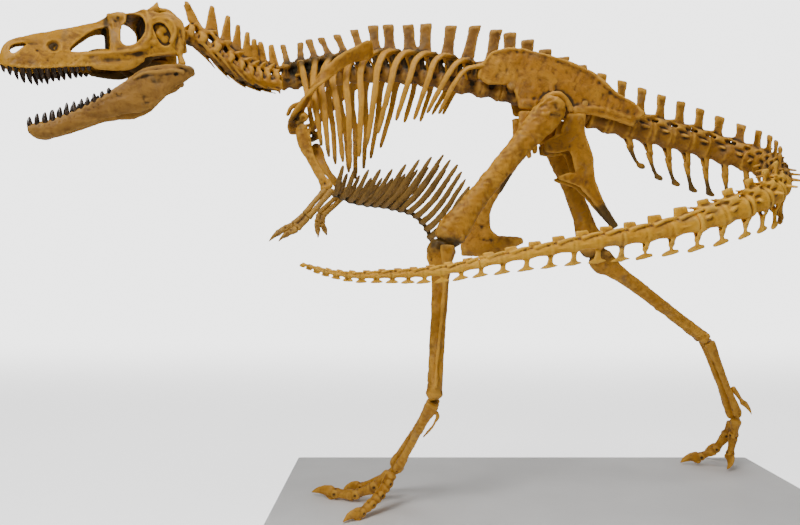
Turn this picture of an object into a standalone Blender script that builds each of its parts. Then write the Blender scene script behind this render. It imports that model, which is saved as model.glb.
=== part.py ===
"""Mounted tyrannosaur skeleton, walking, on a low base plate.

The animal faces -X with its trunk in the plane Y = 0 of the body frame; its left side is -Y.
Every bone is built in the body frame and then moved by BODY_SHIFT, so that the origin of the
finished object is the centre of the underside of the base plate.
"""
from math import cos, pi, sin, tau

import bmesh
import bpy
from mathutils import Matrix, Vector

GAP = 0.0003
FLAT_ANGLE = 0.03
BODY_SHIFT = Vector((-0.17, -0.12, 0.0))

BASE_LENGTH = 2.64
BASE_WIDTH = 1.20
BASE_THICKNESS = 0.030
BASE_CHAMFER = 0.006

# Centre lines of the backbone, front to back
NECK_LINE = ((-1.505, -0.305, 2.178), (-1.465, -0.265, 2.168), (-1.425, -0.232, 2.148), (-1.385, -0.205, 2.125),
             (-1.340, -0.165, 2.092), (-1.270, -0.098, 2.056), (-1.200, -0.035, 2.049), (-1.125, 0.0, 2.050))
TRUNK_LINE = ((-1.125, 0.0, 2.050), (-0.930, 0.0, 2.070), (-0.700, 0.0, 2.092), (-0.450, 0.0, 2.076),
              (-0.200, 0.0, 2.032), (-0.062, 0.0, 2.004))
SACRUM_LINE = ((-0.062, 0.0, 2.004), (0.170, 0.0, 1.943), (0.366, 0.0, 1.889))
TAIL_LINE = ((0.366, 0.0, 1.889), (0.640, 0.015, 1.817), (0.880, 0.045, 1.766), (1.020, 0.055, 1.726),
             (1.125, 0.005, 1.678), (1.160, -0.110, 1.630), (1.140, -0.240, 1.582), (1.090, -0.370, 1.530),
             (1.000, -0.490, 1.472), (0.860, -0.572, 1.414), (0.700, -0.598, 1.358), (0.460, -0.610, 1.298),
             (0.165, -0.628, 1.251), (-0.170, -0.630, 1.189), (-0.390, -0.600, 1.144), (-0.600, -0.590, 1.130),
             (-0.750, -0.580, 1.128), (-0.860, -0.560, 1.146), (-0.950, -0.540, 1.174))

NECK_TRUNK_HEADING = Vector((1.0, 0.0, 0.06)).normalized()
TRUNK_SACRUM_HEADING = Vector((1.0, 0.0, -0.24)).normalized()
SACRUM_TAIL_HEADING = Vector((1.0, 0.03, -0.27)).normalized()

DORSAL_COUNT = 13
DORSAL_FIRST_LENGTH = 0.066
DORSAL_LAST_LENGTH = 0.0975
CERVICAL_COUNT = 9
SACRAL_COUNT = 5
CAUDAL_COUNT = 40
TAIL_BREAKS = (0, 8, 13, 18, 27, 40)

# Skull: frame at the joint with the neck, x towards the snout, y to the left, z up
SKULL_SEAT = Vector((-1.518, -0.320, 2.164))
SKULL_YAW = 30.0
SKULL_PITCH = 8.0
SKULL_WALL = 0.013
TOOTH_COUNT_UPPER = 14
TOOTH_COUNT_LOWER = 11

# Leg joints: hip, knee, ankle and ball of the foot
LEFT_HIP = Vector((0.162, -0.171, 1.902))
LEFT_KNEE = Vector((-0.362, -0.320, 1.268))
LEFT_ANKLE = Vector((-0.403, -0.350, 0.579))
LEFT_BALL = Vector((-0.572, -0.090, 0.212))
RIGHT_HIP = Vector((0.180, 0.165, 1.905))
RIGHT_KNEE = Vector((0.468, 0.250, 1.219))
RIGHT_ANKLE = Vector((1.093, 0.350, 0.764))
RIGHT_BALL = Vector((1.303, 0.465, 0.320))

# Arm joints: shoulder, elbow, wrist and knuckles
LEFT_SHOULDER = Vector((-0.995, -0.252, 1.790))
LEFT_ELBOW = Vector((-0.873, -0.256, 1.505))
LEFT_WRIST = Vector((-0.962, -0.300, 1.388))
LEFT_KNUCKLE = Vector((-1.012, -0.320, 1.336))
RIGHT_SHOULDER = Vector((-0.995, 0.252, 1.790))
RIGHT_ELBOW = Vector((-0.839, 0.165, 1.533))
RIGHT_WRIST = Vector((-0.945, 0.125, 1.424))
RIGHT_KNUCKLE = Vector((-0.953, 0.105, 1.376))

HEXAGON = tuple((cos(tau * i / 6), sin(tau * i / 6)) for i in range(6))
OCTAGON = tuple((cos(tau * i / 8), sin(tau * i / 8)) for i in range(8))
SQUARE = ((1.0, 1.0), (-1.0, 1.0), (-1.0, -1.0), (1.0, -1.0))
HALF_HEXAGON = ((0.0, 0.98), (0.88, 0.50), (0.88, -0.50), (0.0, -0.98))
PENTAGON = tuple((cos(tau * (i + 0.25) / 5), sin(tau * (i + 0.25) / 5)) for i in range(5))
DIAMOND = ((0.75, 0.75), (-0.75, 0.75), (-0.75, -0.75), (0.75, -0.75))
UP = Vector((0.0, 0.0, 1.0))


def blend(rows, position):
    """Straight-line value at a position from a short table of (position, value) rows."""
    if position <= rows[0][0]:
        return rows[0][1]
    for (low, first), (high, second) in zip(rows, rows[1:]):
        if position <= high:
            return first + (second - first) * (position - low) / (high - low)
    return rows[-1][1]


def curve_through(points, steps=10, before_first=None, after_last=None):
    """Smooth closely spaced points through a few named ones (Catmull-Rom).

    The line may lean towards a neighbouring point beyond either end.
    """
    knots = [Vector(point) for point in points]
    lead_in = knots[0] * 2 - knots[1] if before_first is None else Vector(before_first)
    lead_out = knots[-1] * 2 - knots[-2] if after_last is None else Vector(after_last)
    knots = [lead_in] + knots + [lead_out]
    line = []
    for before, start, end, after in zip(knots, knots[1:], knots[2:], knots[3:]):
        for step in range(steps):
            t = step / steps
            line.append(0.5 * (2 * start + (end - before) * t
                               + (2 * before - 5 * start + 4 * end - after) * t * t
                               + (3 * start - before - 3 * end + after) * t ** 3))
    line.append(knots[-2])
    return line


class Route:
    """A smooth line through named points, read by distance along it."""

    def __init__(self, points, steps=10, before_first=None, after_last=None):
        self.line = curve_through(points, steps, before_first, after_last)
        self.marks = [0.0]
        for first, second in zip(self.line, self.line[1:]):
            self.marks.append(self.marks[-1] + (second - first).length)
        self.length = self.marks[-1]

    def at(self, distance):
        distance = min(max(distance, 0.0), self.length)
        for index in range(len(self.line) - 1):
            if distance <= self.marks[index + 1]:
                share = (distance - self.marks[index]) / (self.marks[index + 1] - self.marks[index])
                return self.line[index].lerp(self.line[index + 1], share)
        return self.line[-1].copy()

    def heading(self, distance):
        reach = self.length / 200
        return (self.at(distance + reach) - self.at(distance - reach)).normalized()

    def frame(self, distance):
        """Centre, sideways and upward directions; sideways is to the animal's right."""
        along = self.heading(distance)
        across = UP.cross(along).normalized()
        return self.at(distance), across, along.cross(across)


def ring(bm, centre, across, upward, outline):
    """A closed ring of points: the outline stretched by two half-size vectors."""
    return [bm.verts.new(centre + across * a + upward * b) for a, b in outline]


def skin(bm, rings):
    """Faces between rings in order, with both ends closed; faces[row][side] is returned."""
    count = len(rings[0])
    rows = []
    for first, second in zip(rings, rings[1:]):
        row = [bm.faces.new((first[i], first[(i + 1) % count], second[(i + 1) % count], second[i]))
               for i in range(count)]
        rows.append(row)
    bm.faces.new(rings[0])
    bm.faces.new(rings[-1])
    return rows


def branch(bm, face, path, widths, thicknesses, along, pointed=False, end_normal=None):
    """Grow a branch out of a four-sided face: a rectangle carried along a path.

    widths are half sizes along the given direction, thicknesses half sizes across it.
    """
    corners = list(face.verts)
    middle = face.calc_center_median()
    bm.faces.remove(face)
    stops = [middle] + list(path)
    signs = None
    count = len(path) - (1 if pointed else 0)
    for index in range(count):
        after = stops[min(index + 2, len(stops) - 1)]
        heading = (after - stops[index]).normalized()
        if end_normal is not None and index == count - 1:
            heading = end_normal
        wide = (along - heading * along.dot(heading)).normalized()
        thin = wide.cross(heading)
        if signs is None:
            first = (path[0] - middle).normalized()
            flat = (along - first * along.dot(first)).normalized()
            other = flat.cross(first)
            signs = [(1 if (v.co - middle).dot(flat) > 0 else -1, 1 if (v.co - middle).dot(other) > 0 else -1)
                     for v in corners]
        row = [bm.verts.new(path[index] + wide * a * widths[index] + thin * b * thicknesses[index])
               for a, b in signs]
        for i in range(4):
            j = (i + 1) % 4
            bm.faces.new((corners[i], corners[j], row[j], row[i]))
        corners = row
    if pointed:
        tip = bm.verts.new(path[-1])
        for i in range(4):
            bm.faces.new((corners[i], corners[(i + 1) % 4], tip))
    else:
        bm.faces.new(corners)


def sweep(bm, stations, outline, side_hint, first_normal=None, last_normal=None):
    """A bone shaft: rings (centre, half width, half depth) square to the line through the centres."""
    centres = [Vector(station[0]) for station in stations]
    rings = []
    for index, (centre, (_, wide, deep)) in enumerate(zip(centres, stations)):
        heading = (centres[min(index + 1, len(centres) - 1)] - centres[max(index - 1, 0)]).normalized()
        if index == 0 and first_normal is not None:
            heading = first_normal
        if index == len(centres) - 1 and last_normal is not None:
            heading = last_normal
        across = (side_hint - heading * side_hint.dot(heading)).normalized()
        rings.append(ring(bm, centre, across * wide, heading.cross(across) * deep, outline))
    return skin(bm, rings)


def plate(bm, outline, near, far):
    """A flat bone: an outline in x and z, its two faces at y = near(x, z) and y = far(x, z)."""
    first = [bm.verts.new((x, near(x, z), z)) for x, z in outline]
    second = [bm.verts.new((x, far(x, z), z)) for x, z in outline]
    count = len(outline)
    for i in range(count):
        j = (i + 1) % count
        bm.faces.new((first[i], first[j], second[j], second[i]))
    bm.faces.new(first)
    bm.faces.new(second)


def mesh_object(name, bm, collection, material, turn=None):
    """Close up a mesh, put it in place and make it an object of the given collection."""
    if turn is not None:
        bmesh.ops.transform(bm, matrix=turn, verts=bm.verts)
    bmesh.ops.translate(bm, verts=bm.verts, vec=BODY_SHIFT)
    bmesh.ops.triangulate(bm, faces=bm.faces)
    bmesh.ops.recalc_face_normals(bm, faces=bm.faces)
    mesh = bpy.data.meshes.new(name)
    bm.to_mesh(mesh)
    bm.free()
    made = bpy.data.objects.new(name, mesh)
    collection.objects.link(made)
    if material is not None:
        mesh.materials.append(material)
    return made


class Workshop:
    """Holds the two collections and makes the named bones."""

    def __init__(self):
        for thing in list(bpy.data.objects):
            bpy.data.objects.remove(thing)
        self.bones = bpy.data.collections.new("tyrannosaur_skeleton")
        self.cutters = bpy.data.collections.new("cutters")
        bpy.context.scene.collection.children.link(self.bones)
        bpy.context.scene.collection.children.link(self.cutters)
        self.cutters.hide_render = True

    def material(self, name, tone):
        made = bpy.data.materials.new(name + "_material")
        made.use_nodes = True
        shader = made.node_tree.nodes["Principled BSDF"]
        shader.inputs["Base Color"].default_value = (tone[0], tone[1], tone[2], 1.0)
        shader.inputs["Roughness"].default_value = 0.55
        return made

    def bone(self, name, bm, tone=(0.50, 0.28, 0.07), turn=None):
        return mesh_object(name, bm, self.bones, self.material(name, tone), turn)

    def pair(self, name, bm):
        """The animal's left bone as drawn, and its mirror image on the right."""
        other = bm.copy()
        bmesh.ops.scale(other, vec=(1.0, -1.0, 1.0), verts=other.verts)
        self.bone(name + "_left", bm)
        self.bone(name + "_right", other)

    def tool(self, name, bm, turn=None):
        made = mesh_object(name, bm, self.cutters, None, turn)
        made.display_type = "WIRE"
        made.hide_render = True
        return made

    def combine(self, target, tool, operation):
        step = target.modifiers.new(tool.name, "BOOLEAN")
        step.operation = operation
        step.object = tool
        step.solver = "EXACT"

    def merge_flats(self, target):
        step = target.modifiers.new("merge_flats", "DECIMATE")
        step.decimate_type = "DISSOLVE"
        step.angle_limit = FLAT_ANGLE


def run_marks(lengths, start, end):
    """Ends of a run of vertebrae of the given lengths, scaled to fill the line from start to end."""
    scale = (end - start) / sum(lengths)
    marks = [start]
    for length in lengths:
        marks.append(marks[-1] + length * scale)
    return marks


def ring_on(bm, centre, along, wide, high, outline):
    """A ring square to a direction, with its height kept upward."""
    across = UP.cross(along).normalized()
    return ring(bm, centre, across * wide, along.cross(across) * high, outline)


def centra(bm, route, marks, half_width, half_height, waist, outline, first_heading=None, last_heading=None):
    """Spool-shaped vertebral bodies in one run; the faces are returned in rows, three to a vertebra."""
    rings = []
    for index, (start, end) in enumerate(zip(marks, marks[1:])):
        wide, high = half_width(index), half_height(index)
        for share, size in ((0.0, 1.0), (0.24, waist), (0.76, waist)):
            place = start + (end - start) * share
            along = route.heading(place)
            if first_heading is not None and index == 0 and share == 0.0:
                along = first_heading
            rings.append(ring_on(bm, route.at(place), along, wide * size, high * size, outline))
    along = route.heading(marks[-1]) if last_heading is None else last_heading
    rings.append(ring_on(bm, route.at(marks[-1]), along, wide, high, outline))
    return skin(bm, rings)


NECK_LENGTHS = ((0, 0.040), (1, 0.080), (2, 0.076), (4, 0.062), (6, 0.052), (8, 0.056))
NECK_SPINE_HEIGHT = ((1, 0.152), (2, 0.206), (3, 0.222), (5, 0.208), (6, 0.188), (8, 0.180))
NECK_SPINE_LEAN = ((1, -0.058), (2, -0.006), (3, 0.014), (5, 0.004), (7, -0.026), (8, -0.024))


def build_neck(shop):
    """Nine neck vertebrae with spines, zygapophyses and thin trailing ribs."""
    bm = bmesh.new()
    route = Route(NECK_LINE, after_last=TRUNK_LINE[1])
    marks = run_marks([blend(NECK_LENGTHS, index) for index in range(CERVICAL_COUNT)], 0.0, route.length - GAP)
    waists = centra(bm, route, marks, lambda i: 0.036 + 0.001 * i, lambda i: 0.030 + 0.0006 * i, 0.82, HEXAGON,
                    last_heading=NECK_TRUNK_HEADING)[1::3]
    for index, faces in enumerate(waists):
        if index == 0:
            continue
        middle = (marks[index] + marks[index + 1]) / 2
        centre, across, upward = route.frame(middle)
        along = route.heading(middle)
        lean = blend(NECK_SPINE_LEAN, index)
        half = (marks[index + 1] - marks[index]) / 2
        root = centre + UP * 0.085 + along * lean * 0.4
        top = centre + UP * blend(NECK_SPINE_HEIGHT, index) + along * lean
        branch(bm, faces[1], [root, top], [half * 0.60, 0.008], [0.016, 0.006], along)
        for side, face in ((1, faces[0]), (-1, faces[2])):
            end = centre + across * side * 0.056 + upward * 0.034 + along * 0.004
            branch(bm, face, [end], [0.016], [0.012], along)
        for side, face in ((1, faces[5]), (-1, faces[3])):
            end = centre + across * side * 0.045 - upward * 0.027 + along * min(0.080 + 0.006 * index,
                                                                               route.length - middle - 0.034)
            branch(bm, face, [end], [0.006], [0.006], along)
    shop.bone("neck", bm)


# Ribs by vertebra: shoulder (x, z), widest half width, lower end (x, y, z)
RIBS = {
    1: ((-0.985, 1.985), 0.165, (-0.950, 0.150, 1.775)),
    2: ((-0.955, 2.035), 0.180, (-0.912, 0.165, 1.719)),
    3: ((-0.911, 2.068), 0.192, (-0.880, 0.172, 1.682)),
    4: ((-0.855, 2.095), 0.203, (-0.812, 0.180, 1.641)),
    5: ((-0.786, 2.120), 0.214, (-0.779, 0.185, 1.609)),
    6: ((-0.712, 2.140), 0.222, (-0.737, 0.190, 1.664)),
    7: ((-0.624, 2.160), 0.226, (-0.701, 0.195, 1.715)),
    8: ((-0.538, 2.160), 0.226, (-0.651, 0.195, 1.770)),
    9: ((-0.450, 2.160), 0.220, (-0.568, 0.195, 1.829)),
    10: ((-0.360, 2.155), 0.210, (-0.486, 0.190, 1.834)),
    11: ((-0.268, 2.135), 0.195, (-0.426, 0.180, 1.866)),
    12: ((-0.246, 2.095), 0.175, (-0.371, 0.165, 1.866)),
}


def trunk_half(sign):
    """One side of the thirteen back vertebrae with the spines halved and the ribs of that side."""
    bm = bmesh.new()
    route = Route(TRUNK_LINE, before_first=(-1.205, 0.0, 2.048), after_last=SACRUM_LINE[1])
    growth = (DORSAL_LAST_LENGTH - DORSAL_FIRST_LENGTH) / (DORSAL_COUNT - 1)
    marks = run_marks([DORSAL_FIRST_LENGTH + growth * index for index in range(DORSAL_COUNT)], GAP,
                      route.length - GAP)
    heights = ((0, 0.182), (3, 0.195), (6, 0.235), (9, 0.264), (12, 0.295))
    leans = ((0, -0.026), (1, -0.012), (3, -0.051), (5, -0.044), (9, -0.032), (10, 0.0), (12, 0.027))
    waists = centra(bm, route, marks, lambda i: 0.036 + 0.001 * i, lambda i: 0.036 + 0.0005 * i, 0.80,
                    HALF_HEXAGON, NECK_TRUNK_HEADING, TRUNK_SACRUM_HEADING)[1::3]
    for index, faces in enumerate(waists):
        middle = (marks[index] + marks[index + 1]) / 2
        centre, across, upward = route.frame(middle)
        along = route.heading(middle)
        half = (marks[index + 1] - marks[index]) / 2
        height = blend(heights, index)
        lean = blend(leans, index)
        thick = 0.007
        top = centre + UP * height + along * lean + across * thick
        branch(bm, faces[0], [top], [half * 0.52], [thick], along)
        if index + 1 not in RIBS:
            stub = centre + across * 0.055 + UP * 0.060
            branch(bm, faces[1], [stub], [0.018], [0.012], Vector((1.0, 0.0, 0.0)))
            continue
        shoulder, widest, end = RIBS[index + 1]
        rib_end = Vector(end)
        if sign > 0 and index >= 9:
            rib_end.z += 0.070
            rib_end.x += 0.040
        tuck = blend(((10, 0.0), (11, 1.0), (12, 0.5)), index)
        process = centre + across * (0.075 - 0.022 * tuck) + UP * 0.078 + along * (0.004 - 0.026 * tuck)
        knee = Vector((shoulder[0], 0.62 * widest + 0.012, shoulder[1]))
        belly = Vector((knee.x * 0.55 + rib_end.x * 0.45, widest, knee.z * 0.58 + rib_end.z * 0.42))
        line = Route((process, knee, belly, rib_end), 8)
        stops = [process] + [line.at(line.length * share) for share in (0.24, 0.60, 1.0)]
        size = blend(((0, 0.8), (3, 1.0), (8, 1.0), (12, 0.6)), index)
        widths = [0.017, 0.013 * size, 0.012 * size, 0.010 * size]
        thin = [0.011, 0.009 * size, 0.007 * size, 0.006 * size]
        branch(bm, faces[1], stops, widths, thin, Vector((1.0, 0.0, 0.0)))
    for vert in bm.verts:
        vert.co.y = max(vert.co.y, 0.0) + GAP / 2
    if sign < 0:
        bmesh.ops.scale(bm, vec=(1.0, -1.0, 1.0), verts=bm.verts)
    return bm


def build_trunk(shop):
    shop.bone("trunk_left", trunk_half(-1))
    shop.bone("trunk_right", trunk_half(1))


# Belly ribs: the line of their middles, and how far up the sides they reach
GASTRALIA_LINE = ((-0.885, 0.0, 1.520), (-0.778, 0.0, 1.476), (-0.594, 0.0, 1.446), (-0.482, 0.0, 1.412),
                  (-0.425, 0.0, 1.352), (-0.395, 0.0, 1.285))
GASTRALIA_COUNT = 14
GASTRALIA_TIPS = ((0, (-0.830, 0.130, 1.630)), (2, (-0.730, 0.155, 1.610)), (4, (-0.635, 0.165, 1.612)),
                  (6, (-0.520, 0.170, 1.655)), (8, (-0.390, 0.170, 1.676)), (10, (-0.305, 0.165, 1.630)),
                  (13, (-0.225, 0.145, 1.530)))


def build_gastralia(shop):
    """Rows of belly ribs that meet and interlock along the middle."""
    bm = bmesh.new()
    route = Route(GASTRALIA_LINE)
    rings = []
    step = route.length / GASTRALIA_COUNT
    for index in range(GASTRALIA_COUNT + 1):
        centre, across, upward = route.frame(step * index)
        shift = across * (0.0035 if index % 2 else -0.0035)
        rings.append(ring(bm, centre + shift, across * 0.0075, upward * 0.0065, SQUARE))
    rows = skin(bm, rings)
    xs = tuple((row, point[0]) for row, point in GASTRALIA_TIPS)
    ys = tuple((row, point[1]) for row, point in GASTRALIA_TIPS)
    zs = tuple((row, point[2]) for row, point in GASTRALIA_TIPS)
    for index in range(GASTRALIA_COUNT):
        centre, across, upward = route.frame(step * (index + 0.5))
        along = route.heading(step * (index + 0.5))
        for side, face in ((1, rows[index][3]), (-1, rows[index][1])):
            tip = Vector((blend(xs, index), side * blend(ys, index), blend(zs, index)))
            bulge = centre.lerp(tip, 0.5) + Vector((0.0, side * 0.030, -0.022))
            line = Route((centre + across * side * 0.02, bulge, tip), 8)
            stops = [line.at(line.length * share) for share in (0.5, 1.0)]
            branch(bm, face, stops, [0.0085, 0.0050], [0.0065, 0.0040], along)
    shop.bone("gastralia", bm, (0.44, 0.25, 0.07))


def build_sacrum(shop):
    """Five hip vertebrae with tall spines; their ribs reach out to the hip blades."""
    bm = bmesh.new()
    route = Route(SACRUM_LINE, before_first=TRUNK_LINE[-2], after_last=(0.640, 0.0, 1.815))
    marks = run_marks([1.0] * SACRAL_COUNT, GAP, route.length - GAP)
    waists = centra(bm, route, marks, lambda i: 0.046, lambda i: 0.040, 0.85, HEXAGON, TRUNK_SACRUM_HEADING,
                    SACRUM_TAIL_HEADING)[1::3]
    heights = ((0, 0.300), (1, 0.290), (2, 0.265), (4, 0.235))
    for index, faces in enumerate(waists):
        middle = (marks[index] + marks[index + 1]) / 2
        centre, across, upward = route.frame(middle)
        along = route.heading(middle)
        top = centre + UP * blend(heights, index)
        branch(bm, faces[1], [centre + UP * 0.08, top], [0.030, 0.032], [0.012, 0.008], along)
        for side, face in ((1, faces[0]), (-1, faces[2])):
            end = centre + across * side * (HIP_SPREAD - GAP)
            end.z = centre.z + 0.035
            branch(bm, face, [end], [0.026], [0.030], Vector((1.0, 0.0, 0.0)), end_normal=Vector((0.0, side, 0.0)))
    shop.bone("sacrum", bm)


CAUDAL_LENGTHS = ((0, 0.103), (7, 0.103), (8, 0.098), (15, 0.098), (16, 0.108), (19, 0.108), (20, 0.098),
                  (25, 0.095), (27, 0.080), (29, 0.072), (30, 0.064), (33, 0.062), (34, 0.055), (39, 0.030))
CAUDAL_WIDTH = ((0, 0.050), (8, 0.046), (16, 0.042), (24, 0.026), (32, 0.016), (39, 0.006))
CAUDAL_DEPTH = ((0, 0.056), (8, 0.052), (16, 0.044), (20, 0.034), (24, 0.022), (32, 0.015), (39, 0.005))
CAUDAL_SPINE = ((0, 0.225), (6, 0.175), (10, 0.148), (16, 0.098), (20, 0.058), (27, 0.032), (34, 0.020), (39, 0.008))
CAUDAL_WING = ((1, 0.046), (2, 0.130), (8, 0.110), (14, 0.085), (17, 0.062), (18, 0.0))
CHEVRON_DROP = ((1, 0.180), (2, 0.215), (4, 0.238), (7, 0.215), (14, 0.130), (20, 0.092), (27, 0.056), (34, 0.030),
                (39, 0.014))
CHEVRON_LEAN = ((1, 0.070), (3, 0.050), (7, 0.014), (39, 0.0))
CHEVRON_FOOT = ((1, 0.016), (12, 0.020), (17, 0.027), (28, 0.022), (39, 0.010))


def build_tail(shop):
    """Forty tail vertebrae in five lengths; the tail turns forward along the left side."""
    route = Route(TAIL_LINE, before_first=SACRUM_LINE[1])
    marks = run_marks([blend(CAUDAL_LENGTHS, index) for index in range(CAUDAL_COUNT)], 0.0, route.length)
    for number, (first, last) in enumerate(zip(TAIL_BREAKS, TAIL_BREAKS[1:])):
        bm = bmesh.new()
        cuts = marks[first:last + 1]
        cuts[0] += 2 * GAP
        round_body = first < 18
        rows = centra(bm, route, cuts, lambda i: blend(CAUDAL_WIDTH, first + i),
                      lambda i: blend(CAUDAL_DEPTH, first + i), 0.78, HEXAGON if round_body else DIAMOND,
                      SACRUM_TAIL_HEADING if first == 0 else route.heading(marks[first]),
                      route.heading(marks[last]))
        for offset in range(last - first):
            index = first + offset
            middle = (cuts[offset] + cuts[offset + 1]) / 2
            half = (cuts[offset + 1] - cuts[offset]) / 2
            centre, across, upward = route.frame(middle)
            along = route.heading(middle)
            waist = rows[3 * offset + 1]
            slim = blend(((0, 0.010), (20, 0.007), (39, 0.003)), index)
            back = blend(((0, 0.004), (10, 0.012), (20, 0.030), (39, 0.0)), index)
            crest = centre + UP * blend(CAUDAL_SPINE, index) + along * back
            reach = half * blend(((0, 0.44), (14, 0.42), (20, 0.50), (39, 0.40)), index)
            if index < 16:
                stem = centre + UP * (blend(CAUDAL_DEPTH, index) + 0.030) + along * back * 0.3
                branch(bm, waist[1], [stem, crest], [half * 0.34, reach], [slim * 1.6, slim], along)
            else:
                branch(bm, waist[1 if round_body else 0], [crest], [reach], [slim], along)
            wing = blend(CAUDAL_WING, index)
            if wing > 0.02:
                for side, face in ((1, waist[0]), (-1, waist[2])):
                    end = centre + across * side * wing + upward * 0.010 + along * 0.020
                    branch(bm, face, [end], [half * 0.26], [0.006], along)
            if index >= 1:
                joint, _, _ = route.frame(cuts[offset + 1] - half * 0.22)
                foot = joint - UP * blend(CHEVRON_DROP, index) + along * blend(CHEVRON_LEAN, index)
                rear = rows[3 * offset + 2][4 if round_body else 2]
                stem = joint.lerp(foot, 0.62)
                spread = blend(CHEVRON_FOOT, index)
                if index < 22:
                    branch(bm, rear, [stem, foot], [blend(((1, 0.012), (33, 0.005)), index), spread],
                           [slim * 1.3, slim], along)
                else:
                    branch(bm, rear, [foot], [spread], [slim], along)
        shop.bone("tail_%d" % (number + 1), bm, (0.50, 0.29, 0.08))


# Hip bones as outlines in x and z
HIP_SPREAD = 0.068
HIP_THICKNESS = 0.026
ILIUM_OUTLINE = ((-0.178, 2.050), (-0.176, 2.090), (-0.150, 2.140), (-0.112, 2.180), (-0.032, 2.199),
                 (0.034, 2.194), (0.132, 2.171), (0.349, 2.091), (0.462, 1.992), (0.556, 1.935), (0.594, 1.898),
                 (0.585, 1.850), (0.551, 1.818), (0.452, 1.855), (0.340, 1.882), (0.255, 1.882), (0.240, 1.925),
                 (0.212, 1.962), (0.175, 1.972), (0.140, 1.955), (0.118, 1.898), (0.008, 1.906), (0.004, 1.965),
                 (-0.036, 2.024), (-0.130, 2.020))
ISCHIUM_OUTLINE = ((0.250, 1.876), (0.325, 1.876), (0.312, 1.800), (0.352, 1.700), (0.378, 1.575),
                   (0.428, 1.480), (0.505, 1.362), (0.480, 1.340), (0.330, 1.530), (0.212, 1.572), (0.205, 1.590),
                   (0.262, 1.650), (0.215, 1.690), (0.150, 1.700), (0.140, 1.760), (0.220, 1.790))
BOOT_OUTLINE = ((-0.180, 1.430), (-0.250, 1.320), (-0.262, 1.230), (-0.240, 1.210), (-0.010, 1.226),
                (0.052, 1.278), (0.040, 1.296), (-0.015, 1.308), (-0.108, 1.322), (-0.116, 1.390))
BOOT_HALF_THICKNESS = 0.030


def build_hips(shop):
    """Two hip blades, the booted pubis between the legs and the pair of thin rear hip bones."""
    bm = bmesh.new()

    plate(bm, ILIUM_OUTLINE, lambda x, z: -HIP_SPREAD, lambda x, z: -HIP_SPREAD - HIP_THICKNESS)
    shop.pair("ilium", bm)

    bm = bmesh.new()

    def rear(x, z):
        return -0.003 - (z - 1.335) / 0.541 * 0.070

    plate(bm, ISCHIUM_OUTLINE, rear, lambda x, z: rear(x, z) - 0.020)
    shop.pair("ischium", bm)

    bm = bmesh.new()
    plate(bm, BOOT_OUTLINE, lambda x, z: -BOOT_HALF_THICKNESS, lambda x, z: BOOT_HALF_THICKNESS)
    boot = shop.bone("pubis", bm)
    bm = bmesh.new()
    for side in (-1, 1):
        stations = (((0.060, side * 0.082, 1.896), 0.054, 0.015), ((0.052, side * 0.084, 1.800), 0.048, 0.015),
                    ((0.012, side * 0.066, 1.700), 0.028, 0.016), ((-0.052, side * 0.044, 1.580), 0.024, 0.017),
                    ((-0.122, side * 0.022, 1.470), 0.027, 0.018), ((-0.152, side * 0.016, 1.380), 0.030, 0.012))
        sweep(bm, stations, HEXAGON, Vector((1.0, 0.0, 0.0)), first_normal=Vector((0.0, 0.0, -1.0)))
    shafts = shop.tool("pubis_shafts", bm)
    shop.combine(boot, shafts, "UNION")


def build_shoulder(shop):
    """Shoulder blade and coracoid as one curved strap over the front ribs."""
    bm = bmesh.new()
    stations = (((-0.672, -0.196, 2.163), 0.036, 0.006), ((-0.720, -0.214, 2.138), 0.031, 0.007),
                ((-0.790, -0.238, 2.098), 0.024, 0.008), ((-0.866, -0.250, 2.040), 0.024, 0.009),
                ((-0.938, -0.245, 1.962), 0.030, 0.011), ((-0.990, -0.226, 1.895), 0.048, 0.014),
                ((-1.022, -0.196, 1.848), 0.058, 0.012), ((-1.034, -0.146, 1.812), 0.050, 0.009),
                ((-1.030, -0.090, 1.800), 0.026, 0.007))
    sweep(bm, stations, HEXAGON, Vector((0.6, 0.0, 0.8)))
    shop.pair("scapula", bm)


def bend_normal(before, joint, after):
    """The direction square to the joint face between two bones."""
    return ((joint - before).normalized() + (after - joint).normalized()).normalized()


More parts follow.
